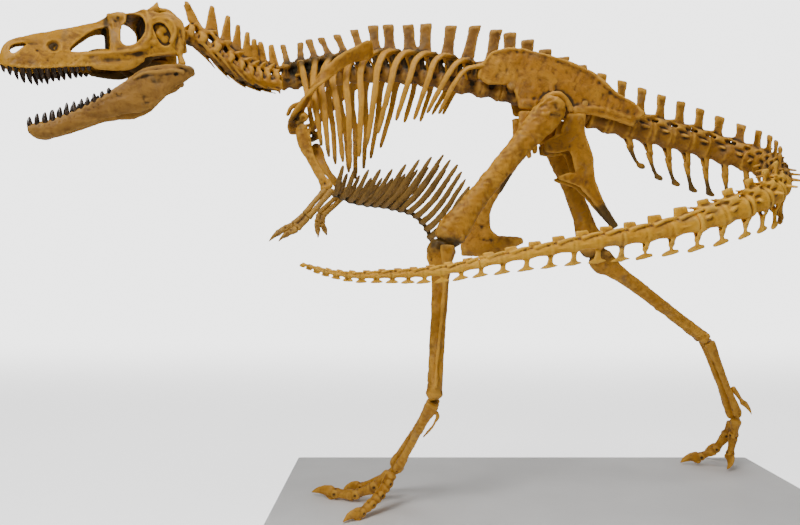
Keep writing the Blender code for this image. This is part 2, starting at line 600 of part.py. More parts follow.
def build_arm(shop, side, shoulder, elbow, wrist, knuckle, tips):
    """Upper arm, forearm pair, palm and two clawed fingers of one side."""
    out = Vector((0.0, -1.0 if side == "left" else 1.0, 0.0))
    hinge = bend_normal(shoulder, elbow, wrist)
    bm = bmesh.new()
    reach = elbow - shoulder
    bow = Vector((-0.014, 0.0, -0.006))
    stations = ((shoulder, 0.026, 0.016), (shoulder + reach * 0.10, 0.034, 0.018),
                (shoulder + reach * 0.30 + bow, 0.036, 0.016), (shoulder + reach * 0.52 + bow, 0.026, 0.014),
                (shoulder + reach * 0.80, 0.021, 0.015), (elbow - hinge * GAP, 0.028, 0.017))
    sweep(bm, stations, HEXAGON, Vector((1.0, 0.0, 0.4)), last_normal=hinge)
    shop.bone("humerus_" + side, bm)

    cuff = bend_normal(elbow, wrist, knuckle)
    lower = wrist - elbow
    edge = (Vector((0.8, 0.0, -0.6)) - hinge * Vector((0.8, 0.0, -0.6)).dot(hinge)).normalized()
    for name, shift, size in (("radius", -0.013, 0.0095), ("ulna", 0.0145, 0.0125)):
        bm = bmesh.new()
        start = elbow + hinge * GAP + edge * shift
        end = wrist - cuff * GAP + (edge - cuff * edge.dot(cuff)) * shift * 0.9
        middle = start.lerp(end, 0.5) + edge * shift * 0.35
        stations = ((start, size * 1.05, size * 1.2), (start.lerp(middle, 0.4), size * 0.8, size * 0.85),
                    (middle, size * 0.72, size * 0.72), (end, size * 0.92, size * 0.95))
        sweep(bm, stations, PENTAGON, edge, first_normal=hinge, last_normal=cuff)
        shop.bone("%s_%s" % (name, side), bm)

    palm = knuckle - wrist
    turn = (edge - palm.normalized() * edge.dot(palm.normalized())).normalized()
    bm = bmesh.new()
    stations = ((wrist + cuff * GAP, 0.024, 0.011), (wrist + palm * 0.5, 0.019, 0.010),
                (knuckle - palm.normalized() * GAP, 0.024, 0.011))
    sweep(bm, stations, HEXAGON, turn, first_normal=cuff, last_normal=palm.normalized())
    shop.bone("hand_" + side, bm)

    for number, shift, tip in ((1, -0.0125, tips[0]), (2, 0.0125, tips[1])):
        bm = bmesh.new()
        start = knuckle + palm.normalized() * GAP + turn * shift
        reach = tip - start
        hook = out * 0.002 + UP * reach.length * 0.06
        stations = ((start, 0.0115, 0.0115), (start + reach * 0.22 + hook, 0.0075, 0.0075),
                    (start + reach * 0.44 + hook * 1.4, 0.0105, 0.010), (start + reach * 0.60 + hook * 1.5, 0.0065, 0.008),
                    (start + reach * 0.66 + hook * 1.4, 0.0070, 0.013), (start + reach * 0.84 + hook, 0.0045, 0.008),
                    (tip, 0.0012, 0.0015))
        sweep(bm, stations, DIAMOND, turn, first_normal=palm.normalized())
        shop.bone("finger_%d_%s" % (number, side), bm)


def build_leg(shop, side, hip, knee, ankle, ball, forward):
    """Thigh, shin pair and the three long foot bones of one side."""
    sign = -1.0 if side == "left" else 1.0
    out = Vector((0.0, sign, 0.0))
    hinge = bend_normal(hip, knee, ankle)
    thigh = knee - hip
    axis = (out - hinge * out.dot(hinge)).normalized()
    bm = bmesh.new()
    bow = forward * (0.010 if side == "left" else -0.012)
    stations = ((hip + Vector((0.0, 0.0, 0.030)), 0.030, 0.042), (hip + thigh * 0.03, 0.036, 0.056),
                (hip + thigh * 0.12, 0.034, 0.052), (hip + thigh * 0.24 + bow * 0.6, 0.038, 0.045),
                (hip + thigh * 0.48 + bow, 0.036, 0.040), (hip + thigh * 0.74 + bow * 0.7, 0.040, 0.043),
                (hip + thigh * 0.87, 0.058, 0.060), (hip + thigh * 0.945, 0.068, 0.074),
                (knee - hinge * GAP, 0.058, 0.062))
    rows = sweep(bm, stations, OCTAGON, out, last_normal=hinge)
    inner = min(rows[1], key=lambda face: face.calc_center_median().dot(out))
    start = inner.calc_center_median()
    socket = Vector((0.178, sign * 0.078, 1.922))
    branch(bm, inner, [start.lerp(socket, 0.5), socket + out * 0.030, socket],
           [0.030, 0.034, 0.030], [0.030, 0.038, 0.032], thigh.normalized())
    shop.bone("femur_" + side, bm)

    heel = bend_normal(knee, ankle, ball)
    shin = ankle - knee
    face_out = (out - shin.normalized() * out.dot(shin.normalized())).normalized()
    fore = face_out.cross(shin.normalized())
    if fore.dot(forward) < 0:
        fore = -fore
    bm = bmesh.new()
    inset = -face_out * 0.012
    crest = fore * 0.004
    seat = inset - hinge * inset.dot(hinge)
    stations = ((knee + hinge * GAP + seat, 0.048, 0.062), (knee + shin * 0.055 + inset + crest, 0.046, 0.076),
                (knee + shin * 0.14 + inset + crest, 0.032, 0.050), (knee + shin * 0.30 + inset, 0.028, 0.034),
                (knee + shin * 0.62 + inset * 0.6, 0.027, 0.029), (knee + shin * 0.82 + inset * 0.3, 0.034, 0.028),
                (knee + shin * 0.93, 0.052, 0.032), (knee + shin * 0.975, 0.055, 0.046),
                (ankle - heel * GAP, 0.050, 0.038))
    sweep(bm, stations, OCTAGON, face_out, first_normal=hinge, last_normal=heel)
    shop.bone("tibia_" + side, bm)

    bm = bmesh.new()
    rear = -fore * 0.016
    stations = ((knee + shin * 0.020 + face_out * 0.052 + rear, 0.013, 0.034),
                (knee + shin * 0.075 + face_out * 0.049 + rear, 0.011, 0.026),
                (knee + shin * 0.20 + face_out * 0.042 + rear, 0.008, 0.012),
                (knee + shin * 0.50 + face_out * 0.037 + rear * 0.6, 0.007, 0.008),
                (knee + shin * 0.80 + face_out * 0.044, 0.006, 0.007),
                (knee + shin * 0.91 + face_out * 0.063, 0.006, 0.011))
    sweep(bm, stations, PENTAGON, face_out)
    shop.bone("fibula_" + side, bm)

    foot = ball - ankle
    foot_out = (out - foot.normalized() * out.dot(foot.normalized())).normalized()
    front = foot_out.cross(foot.normalized())
    if front.dot(forward) < 0:
        front = -front
    for number, place, spread in ((2, -1, -0.050), (3, 0, 0.0), (4, 1, 0.050)):
        bm = bmesh.new()
        top = ankle + heel * GAP + (foot_out - heel * foot_out.dot(heel)) * place * 0.0326
        low = ball + foot_out * spread - foot.normalized() * (0.0 if number == 3 else 0.030)
        push = front * (0.014 if number == 3 else -0.004)
        slim = 0.55 if number == 3 else 1.0
        wide_low = 0.028 if number == 3 else 0.024
        stations = ((top, 0.0155, 0.030), (top.lerp(low, 0.10), 0.0155 * slim, 0.027),
                    (top.lerp(low, 0.45) + push * 0.4, 0.0150 * (0.7 if number == 3 else 1.0), 0.019),
                    (top.lerp(low, 0.80) + push, 0.017, 0.020), (top.lerp(low, 0.95) + push, wide_low, 0.030),
                    (low + push * 0.6, wide_low * 0.8, 0.022))
        rows = sweep(bm, stations, HEXAGON, foot_out, first_normal=heel)
        if number == 4:
            back = max(rows[1], key=lambda face: face.calc_center_median().dot(foot_out * 0.2 - front))
            begin = back.calc_center_median()
            branch(bm, back, [begin - front * 0.020, begin - front * 0.026 + foot * 0.16, begin - front * 0.016 + foot * 0.30],
                   [0.012, 0.008, 0.003], [0.006, 0.005, 0.003], foot.normalized())
        shop.bone("metatarsal_%d_%s" % (number, side), bm)
    return foot, foot_out, front


def build_toe(shop, name, joints, thickness, bones):
    """One toe: phalanges narrow at their waists, ending in a curved claw."""
    bm = bmesh.new()
    line = Route(joints, 6)
    claw = 0.74
    stations = []
    for index in range(bones):
        start = claw * index / bones
        end = claw * (index + 1) / bones
        size = thickness * (1.0 - 0.22 * index / bones)
        stations.append((line.at(line.length * start), size, size))
        stations.append((line.at(line.length * (start * 0.5 + end * 0.5)), size * 0.66, size * 0.66))
    base = line.at(line.length * claw)
    tip = line.at(line.length)
    stations.append((base, thickness * 0.72, thickness * 0.80))
    stations.append((base.lerp(tip, 0.10), thickness * 0.52, thickness * 0.86))
    stations.append((base.lerp(tip, 0.55) + UP * 0.010, thickness * 0.34, thickness * 0.50))
    stations.append((tip, 0.0020, 0.0020))
    side = UP.cross(line.heading(line.length * 0.5)).normalized()
    sweep(bm, stations, PENTAGON, side)
    shop.bone(name, bm)


def build_feet(shop):
    """Toes of both feet: the left foot flat, the right foot pushing off."""
    floor = BASE_THICKNESS + GAP
    build_toe(shop, "toe_2_left", ((-0.548, -0.008, 0.195), (-0.640, 0.035, 0.118), (-0.735, 0.078, 0.068),
                                   (-0.835, 0.120, floor + 0.004)), 0.026, 2)
    build_toe(shop, "toe_3_left", ((-0.600, -0.078, 0.176), (-0.668, -0.060, 0.112), (-0.785, -0.020, floor + 0.025),
                                   (-0.880, 0.012, floor + 0.026), (-0.985, 0.050, floor + 0.016)), 0.029, 3)
    build_toe(shop, "toe_4_left", ((-0.590, -0.152, 0.200), (-0.620, -0.175, 0.142), (-0.668, -0.205, 0.094),
                                   (-0.715, -0.240, 0.060), (-0.800, -0.305, floor + 0.004)), 0.025, 4)
    build_toe(shop, "toe_2_right", ((1.283, 0.405, 0.318), (1.285, 0.435, 0.250), (1.278, 0.458, 0.140),
                                    (1.250, 0.445, floor + 0.008)), 0.026, 2)
    build_toe(shop, "toe_3_right", ((1.300, 0.490, 0.285), (1.268, 0.520, 0.190), (1.185, 0.550, 0.085),
                                    (1.140, 0.560, 0.072), (1.045, 0.568, floor + 0.010)), 0.029, 3)
    build_toe(shop, "toe_4_right", ((1.352, 0.545, 0.325), (1.356, 0.590, 0.245), (1.325, 0.630, 0.160),
                                    (1.290, 0.655, 0.100), (1.225, 0.680, floor + 0.014)), 0.025, 4)


def build_dewclaws(shop):
    """Small first toes behind the long foot bones."""
    for name, points in (("dewclaw_left", ((-0.4880, -0.1142, 0.352), (-0.4950, -0.0780, 0.316), (-0.5030, -0.0410, 0.276))),
                         ("dewclaw_right", ((1.2522, 0.3840, 0.502), (1.3030, 0.3880, 0.430), (1.3600, 0.3920, 0.352)))):
        bm = bmesh.new()
        line = Route(points, 6)
        stations = [(line.at(line.length * share), wide, deep)
                    for share, wide, deep in ((0.0, 0.011, 0.013), (0.3, 0.007, 0.008), (0.52, 0.010, 0.011),
                                              (0.62, 0.007, 0.013), (0.82, 0.004, 0.008), (1.0, 0.0012, 0.0015))]
        sweep(bm, stations, HEXAGON, Vector((0.0, 1.0, 0.2)).normalized())
        shop.bone(name, bm)


def skull_frame():
    """Matrix from the skull's own frame (x snout, y left, z up) into the body frame."""
    yaw = SKULL_YAW * pi / 180
    pitch = SKULL_PITCH * pi / 180
    snout = Vector((-cos(yaw) * cos(pitch), -sin(yaw) * cos(pitch), -sin(pitch)))
    left = UP.cross(snout).normalized()
    crown = snout.cross(left)
    turn = Matrix((snout, left, crown)).transposed().to_4x4()
    turn.translation = SKULL_SEAT
    return turn


# Skull outline: roof, lower edge and half width along the skull
ROOF = ((0.000, 0.062), (0.020, 0.086), (0.048, 0.106), (0.100, 0.124), (0.130, 0.108), (0.180, 0.089),
        (0.270, 0.088), (0.285, 0.082), (0.318, 0.054), (0.365, 0.038), (0.466, 0.017), (0.567, -0.006),
        (0.640, -0.022), (0.678, -0.045), (0.700, -0.085))
LOWER = ((0.000, -0.090), (0.050, -0.098), (0.124, -0.104), (0.179, -0.116), (0.235, -0.140), (0.260, -0.144),
         (0.300, -0.146), (0.354, -0.143), (0.430, -0.140), (0.466, -0.140), (0.540, -0.145), (0.620, -0.143),
         (0.678, -0.130), (0.700, -0.118))
BREADTH = ((0.000, 0.118), (0.060, 0.126), (0.150, 0.120), (0.270, 0.100), (0.365, 0.074), (0.466, 0.058),
           (0.567, 0.052), (0.640, 0.044), (0.678, 0.032), (0.700, 0.016))
STATIONS = (0.012, 0.048, 0.100, 0.130, 0.180, 0.235, 0.272, 0.318, 0.365, 0.466, 0.567, 0.640, 0.678, 0.700)
NARIS = ((0.668, -0.076), (0.648, -0.040), (0.620, -0.036), (0.611, -0.052), (0.650, -0.082))
MAXILLARY_OPENING = ((0.526, -0.055), (0.508, -0.038), (0.488, -0.046), (0.496, -0.072))
FRONT_OPENING = ((0.455, -0.077), (0.432, -0.040), (0.380, 0.003), (0.335, 0.022), (0.286, 0.020),
                 (0.292, -0.062), (0.315, -0.086), (0.403, -0.086))
ORBIT = ((0.250, 0.060), (0.205, 0.070), (0.165, 0.058), (0.156, 0.022), (0.176, -0.024), (0.236, -0.064),
         (0.264, -0.035))
TEMPLE = ((0.130, 0.024), (0.100, 0.044), (0.072, 0.014), (0.066, -0.044), (0.092, -0.068), (0.126, -0.044))
UPPER_TEETH = ((0.0, 0.026), (0.12, 0.036), (0.30, 0.056), (0.45, 0.058), (0.70, 0.042), (1.0, 0.020))
LOWER_TEETH = ((0.0, 0.020), (0.2, 0.034), (0.6, 0.032), (1.0, 0.016))


def skull_ring(bm, x, inset, floor_drop):
    """One cross-section of the skull: flat roof, full cheeks, narrower jaw edge."""
    top = blend(ROOF, x) - inset
    low = blend(LOWER, x) - floor_drop
    wide = max(blend(BREADTH, x) - inset, 0.004)
    tall = blend(ROOF, x) - blend(LOWER, x)
    shape = ((0.70, top), (1.0, top - 0.22 * tall), (0.98, top - 0.62 * tall), (0.86, low))
    right = [bm.verts.new((x, -wide * share, height)) for share, height in shape]
    left = [bm.verts.new((x, wide * share, height)) for share, height in reversed(shape)]
    return right + left


def side_cutter(bm, outline, near, far):
    """A straight-sided cutter through the cheeks between two distances from the middle."""
    first = [bm.verts.new((x, near, z)) for x, z in outline]
    second = [bm.verts.new((x, far, z)) for x, z in outline]
    count = len(outline)
    for i in range(count):
        j = (i + 1) % count
        bm.faces.new((first[i], first[j], second[j], second[i]))
    bm.faces.new(first)
    bm.faces.new(second)


def tooth(bm, root, length, lean, half_long, half_wide):
    """A blade-like tooth, bending backward to its point."""
    sink = 0.010 if length > 0 else -0.010
    base = [bm.verts.new(root + Vector((half_long * a, half_wide * b, sink)))
            for a, b in ((1, 0), (0, 1), (-1, 0), (0, -1))]
    point = bm.verts.new(root + Vector((-lean, 0.0, -length)))
    for i in range(4):
        bm.faces.new((base[i], base[(i + 1) % 4], point))
    bm.faces.new(base)


def block(bm, corners_low, corners_high):
    """A six-sided block between two four-cornered faces."""
    rings = [[bm.verts.new(corner) for corner in corners] for corners in (corners_low, corners_high)]
    skin(bm, rings)


def bar(bm, points, wide, deep):
    """A short straight-sided bar through points in the skull frame."""
    stations = [(Vector(point), wide, deep) for point in points]
    hint = Vector((0.0, 1.0, 0.0)) if abs(points[0][1]) < 0.01 else Vector((1.0, 0.0, 0.0))
    sweep(bm, stations, SQUARE, hint)


def build_skull(shop):
    """The cranium: a hollow snout with its side openings, solid braincase, palate and upper teeth."""
    turn = skull_frame()
    bm = bmesh.new()
    skin(bm, [skull_ring(bm, x, 0.0, 0.0) for x in STATIONS])
    cranium = shop.bone("cranium", bm, (0.52, 0.30, 0.08), turn)

    bm = bmesh.new()
    rings = []
    for x in (0.145, 0.240, 0.290, 0.365, 0.466, 0.642):
        wide = blend(BREADTH, x) - SKULL_WALL
        top = blend(ROOF, x) - SKULL_WALL
        low = blend(LOWER, x) - 0.03
        shape = ((0.80, top - 0.006), (0.95, top - 0.05), (0.82, low), (-0.82, low), (-0.95, top - 0.05),
                 (-0.80, top - 0.006))
        rings.append([bm.verts.new((x, wide * share, height)) for share, height in shape])
    skin(bm, rings)
    shop.combine(cranium, shop.tool("snout_hollow", bm, turn), "DIFFERENCE")

    bm = bmesh.new()
    for outline in (NARIS, FRONT_OPENING, ORBIT, MAXILLARY_OPENING):
        side_cutter(bm, outline, -0.20, 0.20)
    side_cutter(bm, TEMPLE, 0.070, 0.20)
    side_cutter(bm, TEMPLE, -0.070, -0.20)
    shop.combine(cranium, shop.tool("side_openings", bm, turn), "DIFFERENCE")

    bm = bmesh.new()
    block(bm, ((-0.05, -0.092, -0.20), (-0.05, 0.092, -0.20), (-0.05, 0.092, -0.035), (-0.05, -0.092, -0.035)),
          ((0.150, -0.092, -0.20), (0.150, 0.092, -0.20), (0.150, 0.092, -0.055), (0.150, -0.092, -0.055)))
    for side in (-1, 1):
        block(bm, ((0.060, side * 0.020, 0.055), (0.125, side * 0.026, 0.055), (0.125, side * 0.074, 0.055),
                   (0.060, side * 0.082, 0.055)),
              ((0.060, side * 0.020, 0.14), (0.125, side * 0.026, 0.14), (0.125, side * 0.074, 0.14),
               (0.060, side * 0.082, 0.14)))
    shop.combine(cranium, shop.tool("temple_hollows", bm, turn), "DIFFERENCE")

    bm = bmesh.new()
    bar(bm, ((0.660, 0.0, -0.112), (0.300, 0.0, -0.084), (0.130, 0.0, -0.045)), 0.016, 0.009)
    shop.combine(cranium, shop.tool("palate", bm, turn), "UNION")

    bm = bmesh.new()
    bar(bm, ((0.345, -0.070, -0.096), (0.325, 0.0, -0.083), (0.345, 0.070, -0.096)), 0.017, 0.006)
    shop.combine(cranium, shop.tool("palate_crossing", bm, turn), "UNION")

    bm = bmesh.new()
    for side in (-1, 1):
        stations = (((0.040, side * 0.104, -0.060), 0.016, 0.012), ((0.034, side * 0.104, -0.105), 0.014, 0.011),
                    ((0.030, side * 0.104, -0.1405), 0.020, 0.015))
        sweep(bm, stations, HEXAGON, Vector((0.0, 1.0, 0.0)), first_normal=Vector((0.0, 0.0, -1.0)),
              last_normal=Vector((0.0, 0.0, -1.0)))
    sweep(bm, (((0.040, 0.0, -0.010), 0.020, 0.018), ((-0.004, 0.0, -0.014), 0.016, 0.015)), HEXAGON,
          Vector((0.0, 1.0, 0.0)))
    shop.combine(cranium, shop.tool("jaw_supports", bm, turn), "UNION")

    bm = bmesh.new()
    for index in range(TOOTH_COUNT_UPPER):
        share = index / (TOOTH_COUNT_UPPER - 1)
        x = 0.692 - share * 0.300
        spread = 0.86 * blend(BREADTH, x) - 0.0065
        length = blend(UPPER_TEETH, share)
        size = 0.0088 if index > 2 else 0.0062
        for side in (-1, 1):
            tooth(bm, Vector((x, side * spread, blend(LOWER, x) + 0.001)), length, length * 0.30, size, size * 0.62)
    shop.combine(cranium, shop.tool("upper_teeth", bm, turn), "UNION")
    shop.merge_flats(cranium)


JAW_TOP = ((0.000, -0.150), (0.018, -0.143), (0.045, -0.143), (0.070, -0.136), (0.110, -0.138), (0.150, -0.144),
           (0.195, -0.154), (0.240, -0.186), (0.276, -0.210), (0.347, -0.250), (0.400, -0.280), (0.453, -0.306),
           (0.552, -0.338), (0.600, -0.347), (0.640, -0.352))
JAW_LOW = ((0.000, -0.190), (0.020, -0.212), (0.071, -0.234), (0.103, -0.262), (0.136, -0.294), (0.172, -0.316),
           (0.223, -0.334), (0.292, -0.338), (0.370, -0.352), (0.449, -0.380), (0.526, -0.405), (0.577, -0.417),
           (0.612, -0.414), (0.640, -0.385))
JAW_STATIONS = (-0.004, 0.018, 0.045, 0.103, 0.172, 0.223, 0.292, 0.370, 0.460, 0.540, 0.600, 0.638)
JAW_BREADTH = ((0.0, 0.118), (0.060, 0.112), (0.172, 0.096), (0.292, 0.078), (0.460, 0.052), (0.600, 0.034),
               (0.640, 0.016))


def build_mandible(shop):
    """The lower jaw: two deep branches joined at the chin, with its teeth and rear opening."""
    turn = skull_frame()
    parts = []
    for side in (-1, 1):
        bm = bmesh.new()
        rings = []
        for x in JAW_STATIONS:
            outer = blend(JAW_BREADTH, x)
            thick = blend(((0.0, 0.026), (0.10, 0.018), (0.40, 0.020), (0.560, 0.026), (0.640, 0.018)), x)
            top = blend(JAW_TOP, x)
            low = blend(JAW_LOW, x)
            middle = (top + low) / 2
            inner = max(outer - thick, -0.002 if x > 0.53 else 0.004)
            if x > 0.53:
                inner = -0.004
            shape = ((outer - thick * 0.15, top), (outer, middle), (outer - thick * 0.30, low),
                     (inner, low), (inner, middle), (inner, top))
            rings.append([bm.verts.new((x, side * y, z)) for y, z in shape])
        skin(bm, rings)
        parts.append(bm)
    jaw = shop.bone("mandible", parts[0], (0.46, 0.26, 0.08), turn)
    shop.combine(jaw, shop.tool("mandible_other_branch", parts[1], turn), "UNION")

    bm = bmesh.new()
    for index in range(TOOTH_COUNT_LOWER):
        share = index / (TOOTH_COUNT_LOWER - 1)
        x = 0.622 - share * 0.285
        thick = blend(((0.0, 0.026), (0.40, 0.020), (0.560, 0.026), (0.640, 0.018)), x)
        spread = blend(JAW_BREADTH, x) - thick * 0.45
        length = blend(LOWER_TEETH, share)
        for side in (-1, 1):
            tooth(bm, Vector((x, side * spread, blend(JAW_TOP, x) - 0.001)), -length, length * 0.22, 0.0078, 0.0050)
    shop.combine(jaw, shop.tool("lower_teeth", bm, turn), "UNION")
    shop.merge_flats(jaw)


def build_base(shop):
    """A low plate with a softened edge that carries both feet."""
    bm = bmesh.new()
    rings = []
    for height, inset in ((0.0, 0.0), (BASE_THICKNESS - BASE_CHAMFER, 0.0), (BASE_THICKNESS, BASE_CHAMFER)):
        x = BASE_LENGTH / 2 - inset
        y = BASE_WIDTH / 2 - inset
        rings.append([bm.verts.new(Vector((a * x, b * y, height)) - BODY_SHIFT) for a, b in SQUARE])
    skin(bm, rings)
    shop.bone("stand_base", bm, (0.62, 0.60, 0.56))


def main():
    shop = Workshop()
    build_skull(shop)
    build_mandible(shop)
    build_neck(shop)
    build_trunk(shop)
    build_gastralia(shop)
    build_sacrum(shop)
    build_tail(shop)
    build_hips(shop)
    build_shoulder(shop)
    build_arm(shop, "left", LEFT_SHOULDER, LEFT_ELBOW, LEFT_WRIST, LEFT_KNUCKLE,
              (Vector((-1.120, -0.352, 1.268)), Vector((-1.079, -0.340, 1.270))))
    build_arm(shop, "right", RIGHT_SHOULDER, RIGHT_ELBOW, RIGHT_WRIST, RIGHT_KNUCKLE,
              (Vector((-0.957, 0.075, 1.300)), Vector((-0.918, 0.120, 1.316))))
    build_leg(shop, "left", LEFT_HIP, LEFT_KNEE, LEFT_ANKLE, LEFT_BALL, Vector((-0.7, -0.1, 0.3)).normalized())
    build_leg(shop, "right", RIGHT_HIP, RIGHT_KNEE, RIGHT_ANKLE, RIGHT_BALL, Vector((-0.9, 0.0, -0.1)).normalized())
    build_feet(shop)
    build_dewclaws(shop)
    build_base(shop)


main()
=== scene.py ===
"""Mounted tyrannosaur skeleton: modelled bones, their finishes, the base board and a plain studio.

Lengths are in metres. Bones are worked out in the animal's own frame, where it faces -X, its
left side is -Y and its backbone lies over y = 0, and are then moved by SHIFT into the frame of
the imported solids.
"""
import logging
from dataclasses import dataclass, field
from enum import Enum
from typing import Callable, Optional, Sequence

import bpy
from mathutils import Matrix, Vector
import numpy as np


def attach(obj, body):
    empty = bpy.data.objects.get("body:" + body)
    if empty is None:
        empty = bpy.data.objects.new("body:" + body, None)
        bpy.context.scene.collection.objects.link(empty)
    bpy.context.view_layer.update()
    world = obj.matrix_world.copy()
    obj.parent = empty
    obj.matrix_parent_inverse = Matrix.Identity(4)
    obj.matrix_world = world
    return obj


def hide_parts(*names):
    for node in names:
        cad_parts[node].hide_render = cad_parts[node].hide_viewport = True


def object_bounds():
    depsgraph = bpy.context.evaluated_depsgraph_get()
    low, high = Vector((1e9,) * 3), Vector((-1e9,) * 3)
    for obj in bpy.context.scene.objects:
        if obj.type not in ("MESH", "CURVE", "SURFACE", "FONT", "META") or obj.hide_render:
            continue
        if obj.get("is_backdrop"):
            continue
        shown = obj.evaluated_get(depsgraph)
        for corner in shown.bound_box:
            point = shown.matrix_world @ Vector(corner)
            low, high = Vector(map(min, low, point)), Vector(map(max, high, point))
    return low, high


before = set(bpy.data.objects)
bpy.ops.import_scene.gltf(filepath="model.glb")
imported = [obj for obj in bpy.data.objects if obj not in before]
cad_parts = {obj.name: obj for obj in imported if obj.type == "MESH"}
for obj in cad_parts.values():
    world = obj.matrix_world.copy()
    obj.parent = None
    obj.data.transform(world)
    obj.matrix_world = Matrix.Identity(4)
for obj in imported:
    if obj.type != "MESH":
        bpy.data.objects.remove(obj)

LOG = logging.getLogger("skeleton")
Array = np.ndarray
Point = tuple[float, float, float]
Rows = tuple[tuple[float, float], ...]
Form = tuple[np.ndarray, np.ndarray]
Station = tuple[Sequence[float], float, float]

SHIFT = np.array((-0.17, -0.12, 0.0))
UP = np.array((0.0, 0.0, 1.0))
AHEAD = np.array((1.0, 0.0, 0.0))
SIDEWAYS = np.array((0.0, 1.0, 0.0))
TAU = 2.0 * np.pi
# Voxel size in metres, which each casting scales.
FINE = 0.0042
# The two shares of a smoothing step: toward the neighbours, then partly back.
INWARD, OUTWARD = 0.55, 0.3
# Wavelength in metres and share of the roughness of each layer of relief.
RELIEF = ((0.085, 1.5), (0.034, 1.0), (0.016, 0.5))
# How many rings of neighbours a hollow is measured over, with its weight.
HOLLOWS = {4: 0.7, 12: 1.4, 32: 1.3}


# ---------------------------------------------------------------- shapes


def unit(rows: Array) -> Array:
    """Directions of length one.

    Args:
        rows: vectors along the last axis.

    Returns:
        The same vectors divided by their lengths.
    """
    rows = np.asarray(rows, float)
    return rows / np.maximum(np.linalg.norm(rows, axis=-1, keepdims=True), 1e-12)


def read(rows: Rows, at: Array | float) -> Array | float:
    """Straight-line values from a short table of (position, value) rows."""
    return np.interp(at, [row[0] for row in rows], [row[1] for row in rows])


def flowing(knots: Array, spacing: float, firm: int = 3) -> Array:
    """A smooth run of rows through a few knots.

    Cubic Hermite pieces in the distance along the knots. The first `firm` columns are a place and
    take the slope between a knot's neighbours; the others are sizes, whose slope is the harmonic
    mean of the slopes on both sides, and zero at a peak, so that a size never overshoots.

    Args:
        knots: (k, d) rows, the first three columns a point.
        spacing: distance between the rows returned.
        firm: number of columns that are a place.

    Returns:
        (n, d) rows.
    """
    knots = np.asarray(knots, float)
    gaps = np.maximum(np.linalg.norm(np.diff(knots[:, :3], axis=0), axis=1), 1e-6)
    marks = np.concatenate(([0.0], np.cumsum(gaps)))
    slopes = np.diff(knots, axis=0) / gaps[:, None]
    turns = np.empty_like(knots)
    turns[0], turns[-1] = slopes[0], slopes[-1]
    share = (gaps[1:] / (gaps[1:] + gaps[:-1]))[:, None]
    turns[1:-1] = slopes[:-1] * share + slopes[1:] * (1.0 - share)
    both = slopes[:-1, firm:] * slopes[1:, firm:]
    total = slopes[:-1, firm:] + slopes[1:, firm:]
    turns[1:-1, firm:] = np.where(both > 0, 2.0 * both / np.where(np.abs(total) < 1e-9, 1.0, total), 0.0)
    count = max(int(np.ceil(marks[-1] / spacing)) + 1, 6)
    at = np.linspace(0.0, marks[-1], count)
    index = np.clip(np.searchsorted(marks, at, side="right") - 1, 0, len(gaps) - 1)
    step = gaps[index][:, None]
    t = ((at - marks[index])[:, None]) / step
    return (knots[index] * (1 + 2 * t) * (1 - t) ** 2 + turns[index] * step * t * (1 - t) ** 2
        + knots[index + 1] * t ** 2 * (3 - 2 * t) + turns[index + 1] * step * t ** 2 * (t - 1))


def skin(rings: Array) -> Form:
    """A closed form from rings of points, with a fan over each end, its faces outward.

    Args:
        rings: (n, m, 3) points, every ring closed on itself.

    Returns:
        Points and triangles.
    """
    n, m = rings.shape[:2]
    row = np.arange(n - 1)[:, None] * m
    col = np.arange(m)[None]
    nxt = (col + 1) % m
    first = np.stack((row + col, row + nxt, row + m + nxt), -1).reshape(-1, 3)
    second = np.stack((row + col, row + m + nxt, row + m + col), -1).reshape(-1, 3)
    col, nxt = col[0], nxt[0]
    low = np.stack((np.full(m, n * m), nxt, col), -1)
    high = np.stack((np.full(m, n * m + 1), (n - 1) * m + col, (n - 1) * m + nxt), -1)
    points = np.concatenate((rings.reshape(-1, 3), rings[0].mean(0)[None], rings[-1].mean(0)[None]))
    faces = np.concatenate((first, second, low, high))
    a, b, c = (points[faces[:, k]] - points.mean(0) for k in range(3))
    return (points, faces) if np.einsum("ij,ij->", a, np.cross(b, c)) > 0 else (points, faces[:, ::-1])


def carry(stations: Sequence[Station], hint: Sequence[float], power: float = 2.0, dome: float = 0.6,
        sides: int = 20, spacing: float = 0.006) -> Form:
    """A section carried along a path, with domed ends.

    The section is a superellipse |a/wide|^power + |b/deep|^power = 1, with a along the part of the
    hint that is square to the path and b square to both. The ends close over a quarter turn.

    Args:
        stations: (point, half width, half depth) along the path.
        hint: direction of the half width.
        power: 2 for an ellipse, more for a squarer section.
        dome: height of the ends as a share of the smaller half size.
        sides: points round the section.
        spacing: distance between rings.

    Returns:
        A closed form.
    """
    rows = flowing(np.array([[*point, wide, deep] for point, wide, deep in stations]), spacing)
    path, sizes = rows[:, :3], np.maximum(rows[:, 3:], 0.0006)
    along = unit(np.gradient(path, axis=0))
    side = unit(np.asarray(hint) - (along @ np.asarray(hint, float))[:, None] * along)
    down = np.cross(along, side)
    turn = np.linspace(0.0, TAU, sides, endpoint=False)
    a = np.sign(np.cos(turn)) * np.abs(np.cos(turn)) ** (2.0 / power)
    b = np.sign(np.sin(turn)) * np.abs(np.sin(turn)) ** (2.0 / power)
    rings = (path[:, None] + side[:, None] * (sizes[:, :1] * a)[..., None] + down[:, None] * (sizes[:,
                1:] * b)[..., None])
    lift = np.radians(np.array((20.0, 40.0, 60.0, 78.0)))[:, None, None]
    tall = dome * sizes.min(1)
    head = path[0] - along[0] * tall[0] * np.sin(lift[::-1]) + (rings[0] - path[0]) * np.cos(lift[::-1])
    tail = path[-1] + along[-1] * tall[-1] * np.sin(lift) + (rings[-1] - path[-1]) * np.cos(lift)
    return skin(np.concatenate((head, rings, tail)))


